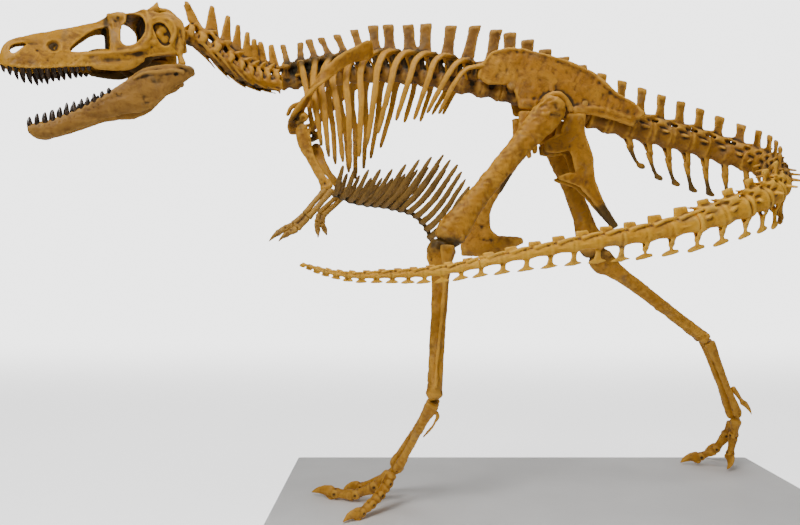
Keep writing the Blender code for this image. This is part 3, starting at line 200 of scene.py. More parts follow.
def sheet(edge_a: Sequence[Sequence[float]], edge_b: Sequence[Sequence[float]],
        thick: float | Sequence[float], normal: Optional[Sequence[float]] = None, fullness: float = 0.5,
        sides: int = 28, spacing: float = 0.006) -> Form:
    """A plate between two edges, with rounded rims and ends.

    A point is edge_a + (edge_b - edge_a) * (1 - cos w) / 2, moved along the normal by
    thick * sign(sin w) * |sin w| ^ fullness, for w once round.

    Args:
        edge_a: knots of one edge.
        edge_b: as many knots of the other.
        thick: half thickness, one or one for each knot.
        normal: direction of the thickness; square to the plate if None.
        fullness: 0.5 for flat faces with a round rim, 1 for a lens.
        sides: points round a section.
        spacing: distance between sections.

    Returns:
        A closed form.
    """
    first, second = np.asarray(edge_a, float), np.asarray(edge_b, float)
    thin = np.broadcast_to(np.asarray(thick, float), (len(first),))
    joined = flowing(np.column_stack(((first + second) / 2, first, second, thin)), spacing, firm=9)
    a, b, thin = joined[:, 3:6], joined[:, 6:9], np.maximum(joined[:, 9], 0.0008)
    along = unit(np.gradient((a + b) / 2, axis=0))
    width = unit(b - a)
    out = unit(np.cross(along, width)) if normal is None else np.broadcast_to(unit(normal), a.shape)
    lift = np.radians(np.array((25.0, 50.0, 75.0)))
    grow = np.concatenate((np.sin(lift[::-1]), np.zeros(len(a)), np.sin(lift)))
    shrink = np.concatenate((np.cos(lift[::-1]), np.ones(len(a)), np.cos(lift)))
    pick = np.concatenate((np.zeros(3, int), np.arange(len(a)), np.full(3, len(a) - 1)))
    push = np.concatenate((-np.ones(3), np.zeros(len(a)), np.ones(3))) * grow
    trim = (1.0 - shrink) * thin[pick]
    shift = along[pick] * (push * thin[pick])[:, None]
    a = a[pick] + shift + width[pick] * trim[:, None]
    b = b[pick] + shift - width[pick] * trim[:, None]
    w = np.linspace(0.0, TAU, sides, endpoint=False)
    share = ((1.0 - np.cos(w)) / 2.0)[None, :, None]
    bulge = (np.sign(np.sin(w)) * np.abs(np.sin(w)) ** fullness)[None, :, None]
    return skin(a[:, None] + (b - a)[:, None] * share + out[pick][:, None] * (thin[pick] * shrink)[:, None,
            None] * bulge)


def ball(centre: Sequence[float], radii: Sequence[float], axes: Optional[Array] = None) -> Form:
    """An ellipsoid: centre + axes . (rx cos p cos q, ry cos p sin q, rz sin p).

    Args:
        centre: its middle.
        radii: half sizes along its axes.
        axes: rows that turn it; none for upright.

    Returns:
        The form.
    """
    axes = np.eye(3) if axes is None else np.asarray(axes, float)
    rise = np.linspace(-np.pi / 2 + 0.08, np.pi / 2 - 0.08, 14)[:, None]
    turn = np.linspace(0.0, TAU, 20, endpoint=False)[None]
    parts = np.stack((np.cos(rise) * np.cos(turn) * radii[0], np.cos(rise) * np.sin(turn) * radii[1],
            np.sin(rise) * np.ones_like(turn) * radii[2]), -1)
    return skin(np.asarray(centre, float) + parts @ axes)


def lumps(points: Array, size: float, seed: int) -> Array:
    """Soft random lumps between about -1 and 1: fourteen plane waves of one wavelength, added.

    Args:
        points: where it is read.
        size: wavelength in metres.
        seed: picks the waves.

    Returns:
        One value for each point.
    """
    rng = np.random.default_rng(seed)
    waves = unit(rng.normal(size=(14, 3))) * (TAU / size) * rng.uniform(0.7, 1.4, (14, 1))
    return np.sin(points @ waves.T + rng.uniform(0.0, TAU, 14)).sum(1) / 5.0


class Line:
    """A smooth line through knots, read by distance along it."""

    def __init__(self, knots: Sequence[Point], after: Optional[Point] = None) -> None:
        """Lays the line.

        Args:
            knots: points that the line passes through.
            after: a point beyond the end that the line leans towards.
        """
        rows = np.array(list(knots) + ([after] if after else []), float)
        dense = flowing(rows, 0.002)
        if after:
            dense = dense[:int(np.argmin(np.linalg.norm(dense - rows[-2], axis=1))) + 1]
        self.points = dense
        self.marks = np.concatenate(([0.0], np.cumsum(np.linalg.norm(np.diff(dense, axis=0), axis=1))))
        self.length = float(self.marks[-1])

    def at(self, distance: Array | float) -> Array:
        """Points at distances along the line; past an end the line goes on straight.

        Args:
            distance: one or more distances from the start.

        Returns:
            One row for each distance.
        """
        inside = np.clip(distance, 0.0, self.length)
        place = np.stack([np.interp(inside, self.marks, self.points[:, k]) for k in range(3)], -1)
        extra = np.asarray(distance - inside)
        if np.any(np.abs(extra) > 1e-9):
            ends = np.where(np.asarray(distance)[..., None] < 0, unit(self.points[3] - self.points[0]),
                unit(self.points[-1] - self.points[-4]))
            place = place + ends * extra[..., None]
        return place

    def heading(self, distance: float) -> Array:
        """Direction of the line.

        Args:
            distance: distance from the start.

        Returns:
            A unit vector.
        """
        reach = self.length / 150
        low, high = max(distance - reach, 0.0), min(distance + reach, self.length)
        return unit(self.at(high) - self.at(low))


@dataclass
class Seat:
    """Where a vertebra sits: its centre, its directions and its length."""

    centre: Array
    along: Array
    across: Array
    upward: Array
    length: float

    def spot(self, ahead: float, side: float, high: float) -> Array:
        """A point by distance towards the tail, to the animal's right and square to the body upward."""
        return self.centre + self.along * ahead + self.across * side + self.upward * high

    def above(self, ahead: float, side: float, high: float) -> Array:
        """A point by distance towards the tail, to the right and straight up."""
        return self.centre + self.along * ahead + self.across * side + UP * high


def seats(line: Line, lengths: Sequence[float]) -> list[Seat]:
    """Seats for a run of vertebrae that fills a line.

    Args:
        line: the middle of the bodies.
        lengths: their lengths, scaled together to fill the line.

    Returns:
        One seat for each vertebra, front to back.
    """
    marks = np.concatenate(([0.0], np.cumsum(lengths))) * line.length / sum(lengths)
    found = []
    for low, high in zip(marks, marks[1:]):
        along = line.heading((low + high) / 2)
        across = unit(np.cross(UP, along))
        found.append(Seat(line.at((low + high) / 2), along, across, np.cross(along, across),
                float(high - low)))
    return found


def spool(seat: Seat, wide: float, high: float, waist: float = 0.8, rim: float = 1.05) -> Form:
    """A vertebral body: flared rims, a pinched middle and shallow ends.

    Args:
        seat: where the vertebra sits.
        wide: half width.
        high: half height.
        waist: share left at the middle.
        rim: share at the rims.

    Returns:
        The form.
    """
    half = seat.length / 2 - 0.0012
    shares = ((-1.0, 0.97), (-0.86, rim), (-0.5, (waist + rim) / 2), (0.0, waist), (0.5, (waist + rim) / 2),
        (0.86, rim), (1.0, 0.97))
    stations = [(seat.centre + seat.along * half * place, wide * size, high * size)
        for place, size in shares]
    return carry(stations, seat.across, power=2.3, dome=0.1, sides=26, spacing=0.004)


# ---------------------------------------------------------------- meshes


def raw_mesh(name: str, points: Array, faces: Array) -> bpy.types.Mesh:
    """A mesh from points and faces that all have the same number of corners.

    Args:
        name: name of the mesh.
        points: one row for each point.
        faces: one row of corners for each face.

    Returns:
        The mesh.
    """
    mesh = bpy.data.meshes.new(name)
    count, corners = faces.shape
    mesh.vertices.add(len(points))
    mesh.vertices.foreach_set("co", np.ascontiguousarray(points, np.float32).ravel())
    mesh.loops.add(count * corners)
    mesh.loops.foreach_set("vertex_index", np.ascontiguousarray(faces, np.int32).ravel())
    mesh.polygons.add(count)
    mesh.polygons.foreach_set("loop_start", np.arange(0, count * corners, corners, dtype=np.int32))
    mesh.polygons.foreach_set("use_smooth", np.ones(count, bool))
    mesh.update(calc_edges=True)
    return mesh


def gather(forms: Sequence[Form]) -> Form:
    """Several forms as one set of points and triangles.

    Args:
        forms: the forms, whose faces may have three or four corners.

    Returns:
        The joined form.
    """
    starts = np.cumsum([0] + [len(points) for points, _ in forms[:-1]])
    return (np.concatenate([points for points, _ in forms]),
        np.concatenate([faces + start for (_, faces), start in zip(forms, starts)]))


def worked(points: Array, faces: Array, steps: Sequence[Callable[[bpy.types.Object], None]]) -> Form:
    """The mesh that modifiers make of a form.

    Args:
        points: the form's points.
        faces: its faces.
        steps: functions that add a modifier to the object they are given.

    Returns:
        Points, and faces with as many corners as the first one has.
    """
    body = bpy.data.objects.new("worked", raw_mesh("worked", points, faces))
    bpy.context.scene.collection.objects.link(body)
    for step in steps:
        step(body)
    graph = bpy.context.evaluated_depsgraph_get()
    shaped = body.evaluated_get(graph)
    mesh = shaped.to_mesh()
    found = np.empty(len(mesh.vertices) * 3, np.float32)
    mesh.vertices.foreach_get("co", found)
    corners = mesh.polygons[0].loop_total
    totals = np.empty(len(mesh.polygons), np.int32)
    mesh.polygons.foreach_get("loop_total", totals)
    if np.all(totals == corners):
        loops = np.empty(len(mesh.loops), np.int32)
        mesh.loops.foreach_get("vertex_index", loops)
        made = loops.reshape(-1, corners).copy()
    else:
        mesh.calc_loop_triangles()
        loops = np.empty(len(mesh.loop_triangles) * 3, np.int32)
        mesh.loop_triangles.foreach_get("vertices", loops)
        made = loops.reshape(-1, 3).copy()
    shaped.to_mesh_clear()
    data = body.data
    bpy.data.objects.remove(body)
    bpy.data.meshes.remove(data)
    return found.reshape(-1, 3).astype(float), made


def carve(base: Form, cutters: Sequence[Form]) -> Form:
    """A closed form with other closed forms taken out of it, one after the other.

    Args:
        base: the form that is cut.
        cutters: the forms taken out.

    Returns:
        What is left.
    """
    points, faces = base
    for cutter in cutters:
        tool = bpy.data.objects.new("cutter", raw_mesh("cutter", *cutter))
        bpy.context.scene.collection.objects.link(tool)

        def cut(body: bpy.types.Object, tool: bpy.types.Object = tool) -> None:
            """Takes the cutter out of the body."""
            step = body.modifiers.new("cut", "BOOLEAN")
            step.operation = "DIFFERENCE"
            step.solver = "MANIFOLD"
            step.object = tool

        left = worked(points, faces, [cut])
        points, faces = left if len(left[1]) > 10 else (points, faces)
        data = tool.data
        bpy.data.objects.remove(tool)
        bpy.data.meshes.remove(data)
        if faces.shape[1] == 4:
            faces = np.concatenate((faces[:, :3], faces[:, (0, 2, 3)]))
    return points, faces


def spread(values: Array, faces: Array, count: int) -> Array:
    """Mean of each point's neighbours along the faces' edges.

    Args:
        values: (n, d) values at the points.
        faces: faces of a closed surface.
        count: number of points.

    Returns:
        (n, d) means.
    """
    start, end = faces.ravel(), np.roll(faces, -1, axis=1).ravel()
    ties = np.maximum(np.bincount(start, minlength=count), 1)[:, None]
    sums = [np.bincount(start, weights=values[end, k], minlength=count) for k in range(values.shape[1])]
    return np.stack(sums, -1) / ties


def facing(points: Array, faces: Array) -> Array:
    """Outward directions at the points of a closed surface, from the areas of the faces round them.

    Args:
        points: one row for each point.
        faces: one row of corners for each face.

    Returns:
        A unit vector for each point.
    """
    a, b, c = points[faces[:, 0]], points[faces[:, 1]], points[faces[:, 2]]
    area = np.cross(b - a, c - a)
    if faces.shape[1] == 4:
        area = area + np.cross(c - a, points[faces[:, 3]] - a)
    total = np.stack([sum(np.bincount(faces[:, k], weights=area[:, axis], minlength=len(points))
                for k in range(faces.shape[1])) for axis in range(3)], -1)
    return unit(total)


@dataclass(frozen=True)
class Dent:
    """A soft hollow, or a swelling if the depth is negative, inside an ellipsoid."""

    centre: Point
    radii: Point
    depth: float

    def drop(self, points: Array) -> Array:
        """How far each point sinks: depth * (1 - r^2)^2 inside r = 1."""
        reach = (((points - self.centre) / self.radii) ** 2).sum(1)
        return self.depth * np.clip(1.0 - reach, 0.0, 1.0) ** 2


@dataclass(frozen=True)
class Stain:
    """A dark patch painted into the bone's colour, strongest in the middle of an ellipsoid: painted shade where it
    sits in pits, inside and under parts and at joints between parts, and a plain dark patch elsewhere.
    """

    centre: Point
    radii: Point
    amount: float

    def shade(self, points: Array) -> Array:
        """The patch at each point: amount * exp(-r^2)."""
        reach = (((points - self.centre) / self.radii) ** 2).sum(1)
        return self.amount * np.exp(-reach)


@dataclass
class Casting:
    """Overlapping closed forms that are run together into one bone or one run of bones.

    The forms are fused on a fine grid, smoothed, and given soft lumps, dents and two values at each point:
    `hollow`, how far the surface lies below its surroundings, which the material darkens as painted shade, and
    `shadestain`, its dark patches, mostly painted shade in pits, under parts and at joints.
    point: `hollow`, how far the surface lies below its surroundings, and `stain`, its dark patches.
    """

    name: str
    nodes: tuple[str, ...]
    forms: list[Form] = field(default_factory=list)
    voxel: float = 1.0
    passes: int = 6
    rough: float = 0.0007
    dents: list[Dent] = field(default_factory=list)
    # Dark patches painted into the colour, mostly painted shade in pits, under parts and at joints.
    stains: list[Stain] = field(default_factory=list)
    shade: Optional[Callable[[Array], Array]] = None
    turn: Optional[Callable[[Array], Array]] = None

    def add(self, *forms: Form | list[Form]) -> None:
        """Adds forms or lists of forms."""
        for form in forms:
            self.forms.extend(form if isinstance(form, list) else [form])

    def pour(self, finish: "BoneFinish") -> bpy.types.Object:
        """Fuses the forms and dresses the piece.

        Args:
            finish: what the bone is finished in.

        Returns:
            The piece, riding on the root and standing for its nodes.
        """
        size = FINE * self.voxel

        def fuse(body: bpy.types.Object) -> None:
            """Makes one skin of the forms."""
            step = body.modifiers.new("fuse", "REMESH")
            step.mode = "VOXEL"
            step.voxel_size = size

        points, faces = worked(*gather(self.forms), [fuse])
        count = len(points)
        for _ in range(self.passes):
            points = points + INWARD * (spread(points, faces, count) - points)
            points = points - OUTWARD * (spread(points, faces, count) - points)
        normals = facing(points, faces)
        seed = sum(ord(letter) for letter in self.name)
        relief = sum(lumps(points, wave, seed + turn) * share for turn, (wave, share) in enumerate(RELIEF))
        sink = sum((dent.drop(points) for dent in self.dents), np.zeros(count))
        points = points + normals * (relief * self.rough - sink)[:, None]
        normals = facing(points, faces)
        # How far each point lies below its surroundings; the material paints these hollows dark as painted shade.
        broad, hollow = points, np.zeros(count)
        for step in range(1, max(HOLLOWS) + 1):
            broad = spread(broad, faces, count)
            if step in HOLLOWS:
                hollow = hollow + ((broad - points) * normals).sum(1) / (size * step ** 0.5) * HOLLOWS[step]
        hollow = np.clip(hollow, -1.0, 1.0)
        hollow = spread(hollow[:, None], faces, count)[:, 0]
        # Dark patches painted into the colour, mostly painted shade.
        stain = sum((patch.shade(points) for patch in self.stains), np.zeros(count))
        if self.shade is not None:
            stain = stain + self.shade(points)
        if self.turn is not None:
            points = self.turn(points)
        mesh = raw_mesh(self.name, points + SHIFT, faces)
        mesh.attributes.new("hollow", "FLOAT", "POINT").data.foreach_set("value", hollow.astype(np.float32))
        mesh.attributes.new("stain", "FLOAT", "POINT").data.foreach_set("value", np.clip(stain, 0.0,
                1.0).astype(np.float32))
        return dress(self.name, mesh, finish.material(), self.nodes)


def dress(name: str, mesh: bpy.types.Mesh, material: bpy.types.Material, nodes: Sequence[str]) -> bpy.types.Object:
    """Puts a mesh into the model with its material.

    Args:
        name: the piece's name.
        mesh: its mesh, in the frame of the solids.
        material: its material.
        nodes: the solids it stands for.

    Returns:
        The piece.
    """
    piece = bpy.data.objects.new(name, mesh)
    bpy.context.scene.collection.objects.link(piece)
    mesh.materials.append(material)
    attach(piece, "root")
    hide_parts(*nodes)
    LOG.info("%s: %d faces", name, len(mesh.polygons))
    return piece


# ---------------------------------------------------------------- finishes


class Nodes:
    """Makes and joins shader nodes in one tree."""

    def __init__(self, tree: bpy.types.NodeTree) -> None:
        """Works in a tree."""
        self.tree = tree

    def add(self, kind: str, values: Optional[dict] = None, **settings: object) -> bpy.types.Node:
        """A node.

        Args:
            kind: its type, without the ShaderNode in front.
            values: what its inputs are set or joined to, by name or number.
            settings: its own settings.

        Returns:
            The node.
        """
        node = self.tree.nodes.new("ShaderNode" + kind)
        for key, value in settings.items():
            setattr(node, key, value)
        for key, value in (values or {}).items():
            if isinstance(value, bpy.types.NodeSocket):
                self.tree.links.new(value, node.inputs[key])
            else:
                node.inputs[key].default_value = value
        return node

    def sums(self, operation: str, first: object, second: object) -> bpy.types.NodeSocket:
        """The result of one sum."""
        return self.add("Math", {0: first, 1: second}, operation=operation).outputs[0]

    def span(self, value: object, low: float, high: float, out_low: float = 0.0,
            out_high: float = 1.0) -> bpy.types.NodeSocket:
        """A value carried smoothly from one range to another and held at its ends."""
        return self.add("MapRange", {0: value, 1: low, 2: high, 3: out_low, 4: out_high},
            interpolation_type="SMOOTHSTEP").outputs[0]

    def blend(self, share: object, first: object, second: object) -> bpy.types.NodeSocket:
        """Two colours mixed."""
        node = self.add("Mix", {0: share, 6: first, 7: second}, data_type="RGBA")
        return node.outputs[2]

    def noise(self, place: object, scale: float, detail: float = 4.0, rough: float = 0.55,
            twist: float = 0.0) -> bpy.types.NodeSocket:
        """Cloudy noise between 0 and 1."""
        return self.add("TexNoise", {"Vector": place, "Scale": scale, "Detail": detail, "Roughness": rough,
                "Distortion": twist}).outputs[0]


def group(name: str, inputs: Sequence[tuple[str, str, object]], outputs: Sequence[tuple[str, str]],
        fill: Callable[[Nodes, bpy.types.Node, bpy.types.Node], None]) -> bpy.types.NodeTree:
    """A shader node group with named sockets, built once.

    Args:
        name: the group's name.
        inputs: name, socket type and first value of each input.
        outputs: name and socket type of each output.
        fill: makes the nodes between the group's input and output.

    Returns:
        The group.
    """
    found = bpy.data.node_groups.get(name)
    if found:
        return found
    tree = bpy.data.node_groups.new(name, "ShaderNodeTree")
    for label, kind, value in inputs:
        socket = tree.interface.new_socket(label, in_out="INPUT", socket_type="NodeSocket" + kind)
        socket.default_value = value
    for label, kind in outputs:
        tree.interface.new_socket(label, in_out="OUTPUT", socket_type="NodeSocket" + kind)
    fill(Nodes(tree), tree.nodes.new("NodeGroupInput"), tree.nodes.new("NodeGroupOutput"))
    return tree


def bone_surface(nodes: Nodes, taken: bpy.types.Node, given: bpy.types.Node) -> None:
    """Fills the bone group: mottled ochre, paler convex edges, painted shade in the hollows, dark patches that are
    mostly painted shade, fibres and pits.

    Args:
        nodes: the group's tree.
        taken: its input node.
        given: its output node.
    """
    join = nodes.tree.links.new
    place = nodes.add("TexCoord").outputs["Object"]
    fibre = nodes.add("VectorMath", {0: place, 1: taken.outputs["Grain"]}, operation="MULTIPLY").outputs[0]
    broad = nodes.noise(place, 4.5, 5.0, 0.6, 0.4)
    middle = nodes.noise(place, 17.0, 6.0, 0.65, 0.8)
    small = nodes.noise(place, 62.0, 6.0, 0.7, 0.3)
    streak = nodes.noise(fibre, 10.0, 5.0, 0.62, 0.5)
    ashy = nodes.noise(nodes.add("VectorMath", {0: place, 1: (3.1, 7.7, 1.9)}, operation="ADD").outputs[0],
        9.0, 5.0, 0.62, 0.6)
    hollow, stain = taken.outputs["Hollow"], taken.outputs["Stain"]
    colour = nodes.blend(nodes.span(broad, 0.42, 0.66, 0.0, 0.85), taken.outputs["Base"],
        taken.outputs["Light"])
    colour = nodes.blend(nodes.span(middle, 0.46, 0.68, 0.0, 0.85), colour, taken.outputs["Brown"])
    colour = nodes.blend(nodes.span(ashy, 0.54, 0.68, 0.0, 0.7), colour, taken.outputs["Grey"])
    colour = nodes.blend(nodes.span(streak, 0.5, 0.7, 0.0, 0.65), colour, taken.outputs["Brown"])
    colour = nodes.blend(nodes.span(small, 0.56, 0.74, 0.0, 0.4), colour, taken.outputs["Light"])
    colour = nodes.blend(nodes.span(small, 0.46, 0.28, 0.0, 0.7), colour, taken.outputs["Brown"])
    # Convex edges turn paler, broken up by noise.
    worn = nodes.sums("MULTIPLY", nodes.span(hollow, -0.1, -0.55), nodes.span(middle, 0.3, 0.6, 0.25, 0.85))
    colour = nodes.blend(worn, colour, taken.outputs["Edge"])
    # Painted shade: hollows, broken up by noise, darken toward the hollow shade colour.
    broken = nodes.sums("ADD", hollow, nodes.sums("MULTIPLY", nodes.sums("SUBTRACT", middle, 0.5), 0.35))
    colour = nodes.blend(nodes.span(broken, 0.0, 0.42, 0.0, 0.95), colour, taken.outputs["Deep"])
    # Dark patches, mostly painted shade, darken toward the dark shade colour with broken edges.
    edge = nodes.sums("ADD", stain, nodes.sums("MULTIPLY", nodes.sums("SUBTRACT", middle, 0.5), 0.9))
    marked = nodes.sums("MULTIPLY", nodes.span(edge, 0.1, 0.62), nodes.span(stain, 0.02, 0.3))
    colour = nodes.blend(nodes.sums("MULTIPLY", marked, 0.85), colour, taken.outputs["Soot"])
    join(colour, given.inputs["Color"])
    shine = nodes.sums("ADD", nodes.span(middle, 0.3, 0.75, 0.4, 0.62), nodes.span(hollow, 0.0, 0.6, 0.0,
            0.16))
    join(shine, given.inputs["Roughness"])
    pits = nodes.add("TexVoronoi", {"Vector": place, "Scale": 95.0}).outputs["Distance"]
    cracks = nodes.add("TexVoronoi", {"Vector": fibre, "Scale": 16.0}, feature="DISTANCE_TO_EDGE").outputs[0]
    height = nodes.sums("ADD", nodes.sums("MULTIPLY", small, 0.55), nodes.sums("MULTIPLY", streak, 0.55))
    height = nodes.sums("ADD", height, nodes.span(pits, 0.1, 0.34, -0.22, 0.0))
    height = nodes.sums("ADD", height, nodes.span(cracks, 0.0, 0.035, -0.2, 0.0))
    join(nodes.sums("ADD", height, nodes.sums("MULTIPLY", middle, 0.6)), given.inputs["Height"])


def bone_group() -> bpy.types.NodeTree:
    """The group that every bone finish uses.

    Returns:
        The group.
    """
    black = (0.0, 0.0, 0.0, 1.0)
    colours = [(name, "Color", black) for name in ("Base", "Light", "Brown", "Grey", "Edge", "Deep", "Soot")]
    return group("bone_surface", colours + [("Grain", "Vector", (1.0, 1.0, 1.0)), ("Hollow", "Float", 0.0),
            ("Stain", "Float", 0.0)], (("Color", "Color"), ("Roughness", "Float"), ("Height", "Float")),
        bone_surface)


Colour = tuple[float, float, float]


@dataclass(frozen=True)
class BoneFinish:
    """Painted cast bone: its colours, the run of its fibres and the depth of its pits."""

    name: str
    base: Colour = (0.42, 0.178, 0.013)
    light: Colour = (0.58, 0.27, 0.022)
    brown: Colour = (0.215, 0.088, 0.01)
    grey: Colour = (0.3, 0.18, 0.07)
    edge: Colour = (0.68, 0.34, 0.04)
    # Colour that hollows darken toward: painted shade.
    deep: Colour = (0.042, 0.024, 0.006)
    # Colour that the dark patches darken toward, mostly painted shade.
    soot: Colour = (0.03, 0.025, 0.011)
    grain: tuple[float, float, float] = (1.0, 1.0, 1.0)
    pits: float = 0.0022

    def material(self) -> bpy.types.Material:
        """The material, made once for each name.

        Returns:
            The material.
        """
        found = bpy.data.materials.get(self.name)
        if found:
            return found
        material = bpy.data.materials.new(self.name)
        material.use_nodes = True
        nodes = Nodes(material.node_tree)
        material.node_tree.nodes.clear()
        surface = nodes.add("Group")
        surface.node_tree = bone_group()
        for label, colour in (("Base", self.base), ("Light", self.light), ("Brown", self.brown),
                ("Grey", self.grey), ("Edge", self.edge), ("Deep", self.deep), ("Soot", self.soot)):
            surface.inputs[label].default_value = (*colour, 1.0)
        surface.inputs["Grain"].default_value = self.grain
        for label in ("Hollow", "Stain"):
            carried = nodes.add("Attribute", attribute_name=label.lower())
            nodes.tree.links.new(carried.outputs["Fac"], surface.inputs[label])
        bump = nodes.add("Bump", {"Height": surface.outputs["Height"], "Strength": 0.75,
                "Distance": self.pits})
        shader = nodes.add("BsdfPrincipled", {"Base Color": surface.outputs["Color"],
                "Roughness": surface.outputs["Roughness"], "Normal": bump.outputs[0],
                "Specular IOR Level": 0.22})
        out = nodes.add("OutputMaterial")
        nodes.tree.links.new(shader.outputs[0], out.inputs[0])
        return material


class Bone(Enum):
    """The finishes the bones are cast in."""

    OCHRE = BoneFinish("ochre_bone")
    SHAFT = BoneFinish("long_bone", grain=(1.5, 1.5, 0.7), pits=0.0008)
    SKULL = BoneFinish("skull_bone", base=(0.5, 0.225, 0.012), light=(0.66, 0.33, 0.02), grain=(0.8, 0.8,
            2.4), pits=0.0016)
    JAW = BoneFinish("jaw_bone", base=(0.3, 0.145, 0.028), light=(0.39, 0.19, 0.034), brown=(0.2, 0.09,
            0.015), grey=(0.27, 0.17, 0.07), edge=(0.5, 0.26, 0.05), grain=(0.8, 0.8, 2.4), pits=0.0016)
    BACK = BoneFinish("backbone", base=(0.26, 0.115, 0.018), light=(0.37, 0.172, 0.024), brown=(0.14, 0.06,
            0.01), grey=(0.22, 0.14, 0.06), edge=(0.52, 0.26, 0.04), deep=(0.026, 0.016, 0.006))
    # A darker copy of the tail's bone for its far lengths: painted shade.
    TAIL = BoneFinish("far_tail_bone", base=(0.32, 0.14, 0.014), light=(0.45, 0.21, 0.022),
        brown=(0.165, 0.07, 0.01), deep=(0.03, 0.018, 0.006))
    BELLY = BoneFinish("belly_rib_bone", base=(0.12, 0.068, 0.014), light=(0.24, 0.128, 0.024),
        brown=(0.06, 0.036, 0.01), edge=(0.33, 0.18, 0.04), deep=(0.014, 0.011, 0.005))
    HIP = BoneFinish("hip_bone", base=(0.43, 0.175, 0.012), light=(0.56, 0.26, 0.025), grey=(0.3, 0.16,
            0.05), grain=(0.7, 1.6, 1.6))
    GOLDEN = BoneFinish("golden_bone", base=(0.69, 0.32, 0.015), light=(0.85, 0.44, 0.03), brown=(0.46, 0.19,
            0.01), edge=(0.9, 0.5, 0.06), deep=(0.17, 0.08, 0.01))
    GREY = BoneFinish("grey_brown_bone", base=(0.27, 0.135, 0.026), light=(0.39, 0.195, 0.034),
        grey=(0.24, 0.155, 0.07), edge=(0.52, 0.28, 0.05))


@dataclass(frozen=True)
class Enamel:
    """Dark glossy teeth: brown and nearly black in patches, with pale worn slivers."""

    name: str = "tooth_enamel"
    root: Colour = (0.045, 0.022, 0.008)
    crown: Colour = (0.012, 0.009, 0.006)
    worn: Colour = (0.3, 0.21, 0.12)

    def material(self) -> bpy.types.Material:
        """The material, made once.

        Returns:
            The material.
        """
        found = bpy.data.materials.get(self.name)
        if found:
            return found
        material = bpy.data.materials.new(self.name)
        material.use_nodes = True
        material.node_tree.nodes.clear()
        nodes = Nodes(material.node_tree)
        place = nodes.add("TexCoord").outputs["Object"]
        long = nodes.add("VectorMath", {0: place, 1: (5.0, 5.0, 0.8)}, operation="MULTIPLY").outputs[0]
        patch = nodes.noise(place, 55.0, 4.0)
        ridge = nodes.noise(long, 45.0, 4.0, 0.6)
        colour = nodes.blend(nodes.span(patch, 0.35, 0.65), (*self.crown, 1.0), (*self.root, 1.0))
        colour = nodes.blend(nodes.span(ridge, 0.6, 0.7, 0.0, 0.75), colour, (*self.worn, 1.0))
        bump = nodes.add("Bump", {"Height": ridge, "Strength": 0.5, "Distance": 0.0008})
        shader = nodes.add("BsdfPrincipled", {"Base Color": colour, "Roughness": nodes.span(patch, 0.3, 0.7,
                    0.16, 0.34), "Normal": bump.outputs[0]})
        out = nodes.add("OutputMaterial")
        nodes.tree.links.new(shader.outputs[0], out.inputs[0])
        return material


# ---------------------------------------------------------------- backbone


def arch(seat: Seat, wide: float, foot: float, roof: float, stout: float, lift: float = 0.012) -> list[Form]:
    """The arch over a vertebral body: pedicles, roof and the four joint processes.

    Args:
        seat: where the vertebra sits.
        wide: half width of the body.
        foot: height at which the pedicles leave the body.
        roof: height of the roof's middle.
        stout: radius of the joint processes.
        lift: how much higher the rear processes end.

    Returns:
        Closed forms.
    """
    half = seat.length / 2
    made = [carry([(seat.spot(-0.74 * half, 0.0, roof), stout * 1.7, stout * 0.9),
                (seat.spot(0.0, 0.0, roof + stout * 0.3), stout * 1.4, stout * 1.1),
                (seat.spot(0.74 * half, 0.0, roof + lift * 0.6), stout * 1.6, stout * 0.9)], seat.across)]
    for side in (1.0, -1.0):
        low, high = side * wide * 0.66, side * wide * 0.46
        made.append(sheet([seat.spot(-0.74 * half, low, foot), seat.spot(-0.5 * half, low,
                        (foot + roof) / 2), seat.spot(-0.66 * half, high, roof)], [seat.spot(0.5 * half, low,
                        foot), seat.spot(0.26 * half, low, (foot + roof) / 2), seat.spot(0.66 * half, high,
                        roof)], (stout * 0.8, stout * 0.7, stout), normal=seat.across))
        made.append(carry([(seat.spot(-0.4 * half, side * stout * 1.5, roof), stout * 1.0, stout),
                    (seat.spot(-0.95 * half, side * stout * 2.2, roof + 0.003), stout * 0.75, stout * 0.85),
                    (seat.spot(-1.34 * half, side * stout * 2.4, roof + 0.007), stout * 1.05, stout * 0.75)],
                seat.across))
        made.append(carry([(seat.spot(0.35 * half, side * stout * 1.2, roof + lift * 0.5), stout, stout),
                    (seat.spot(0.9 * half, side * stout * 1.9, roof + lift), stout * 0.75, stout * 0.85),
                    (seat.spot(1.26 * half, side * stout * 2.2, roof + lift * 0.9 + 0.008), stout * 1.05,
                        stout * 0.7)], seat.across))
    return made


def fin(root: Array, top: Array, along: Array, reach: tuple[float, float, float], thick: float, knob: float,
        tilt: float = 0.0) -> list[Form]:
    """A neural spine: a plate that narrows to a waist and ends in a swollen, roughened top.

    Args:
        root: middle of its foot.
        top: middle of its upper edge.
        along: direction of its breadth.
        reach: half breadth at the foot, the waist and the top.
        thick: half thickness.
        knob: half thickness of the swollen top.
        tilt: how much higher the rear corner is than the front one.

    Returns:
        Closed forms.
    """
    across = unit(np.cross(UP, along))
    mark = [root, root + (top - root) * 0.45, top]
    tip = [mark[2] - along * reach[2] - UP * tilt, mark[2] + along * reach[2] + UP * tilt]
    made = [sheet([mark[0] - along * reach[0], mark[1] - along * reach[1], tip[0]],
            [mark[0] + along * reach[0], mark[1] + along * reach[1], tip[1]], (thick * 1.25, thick * 0.85,
                thick), normal=across)]
    sink = UP * knob * 1.1
    inward = along * knob * 1.1
    made.append(carry([(tip[0] + inward - sink * 1.2, knob * 0.85, knob * 1.3), (mark[2] - sink, knob,
                    knob * 1.2), (tip[1] - inward - sink * 1.1, knob * 0.9, knob * 1.3)], across, power=2.6,
            dome=0.7))
    return made


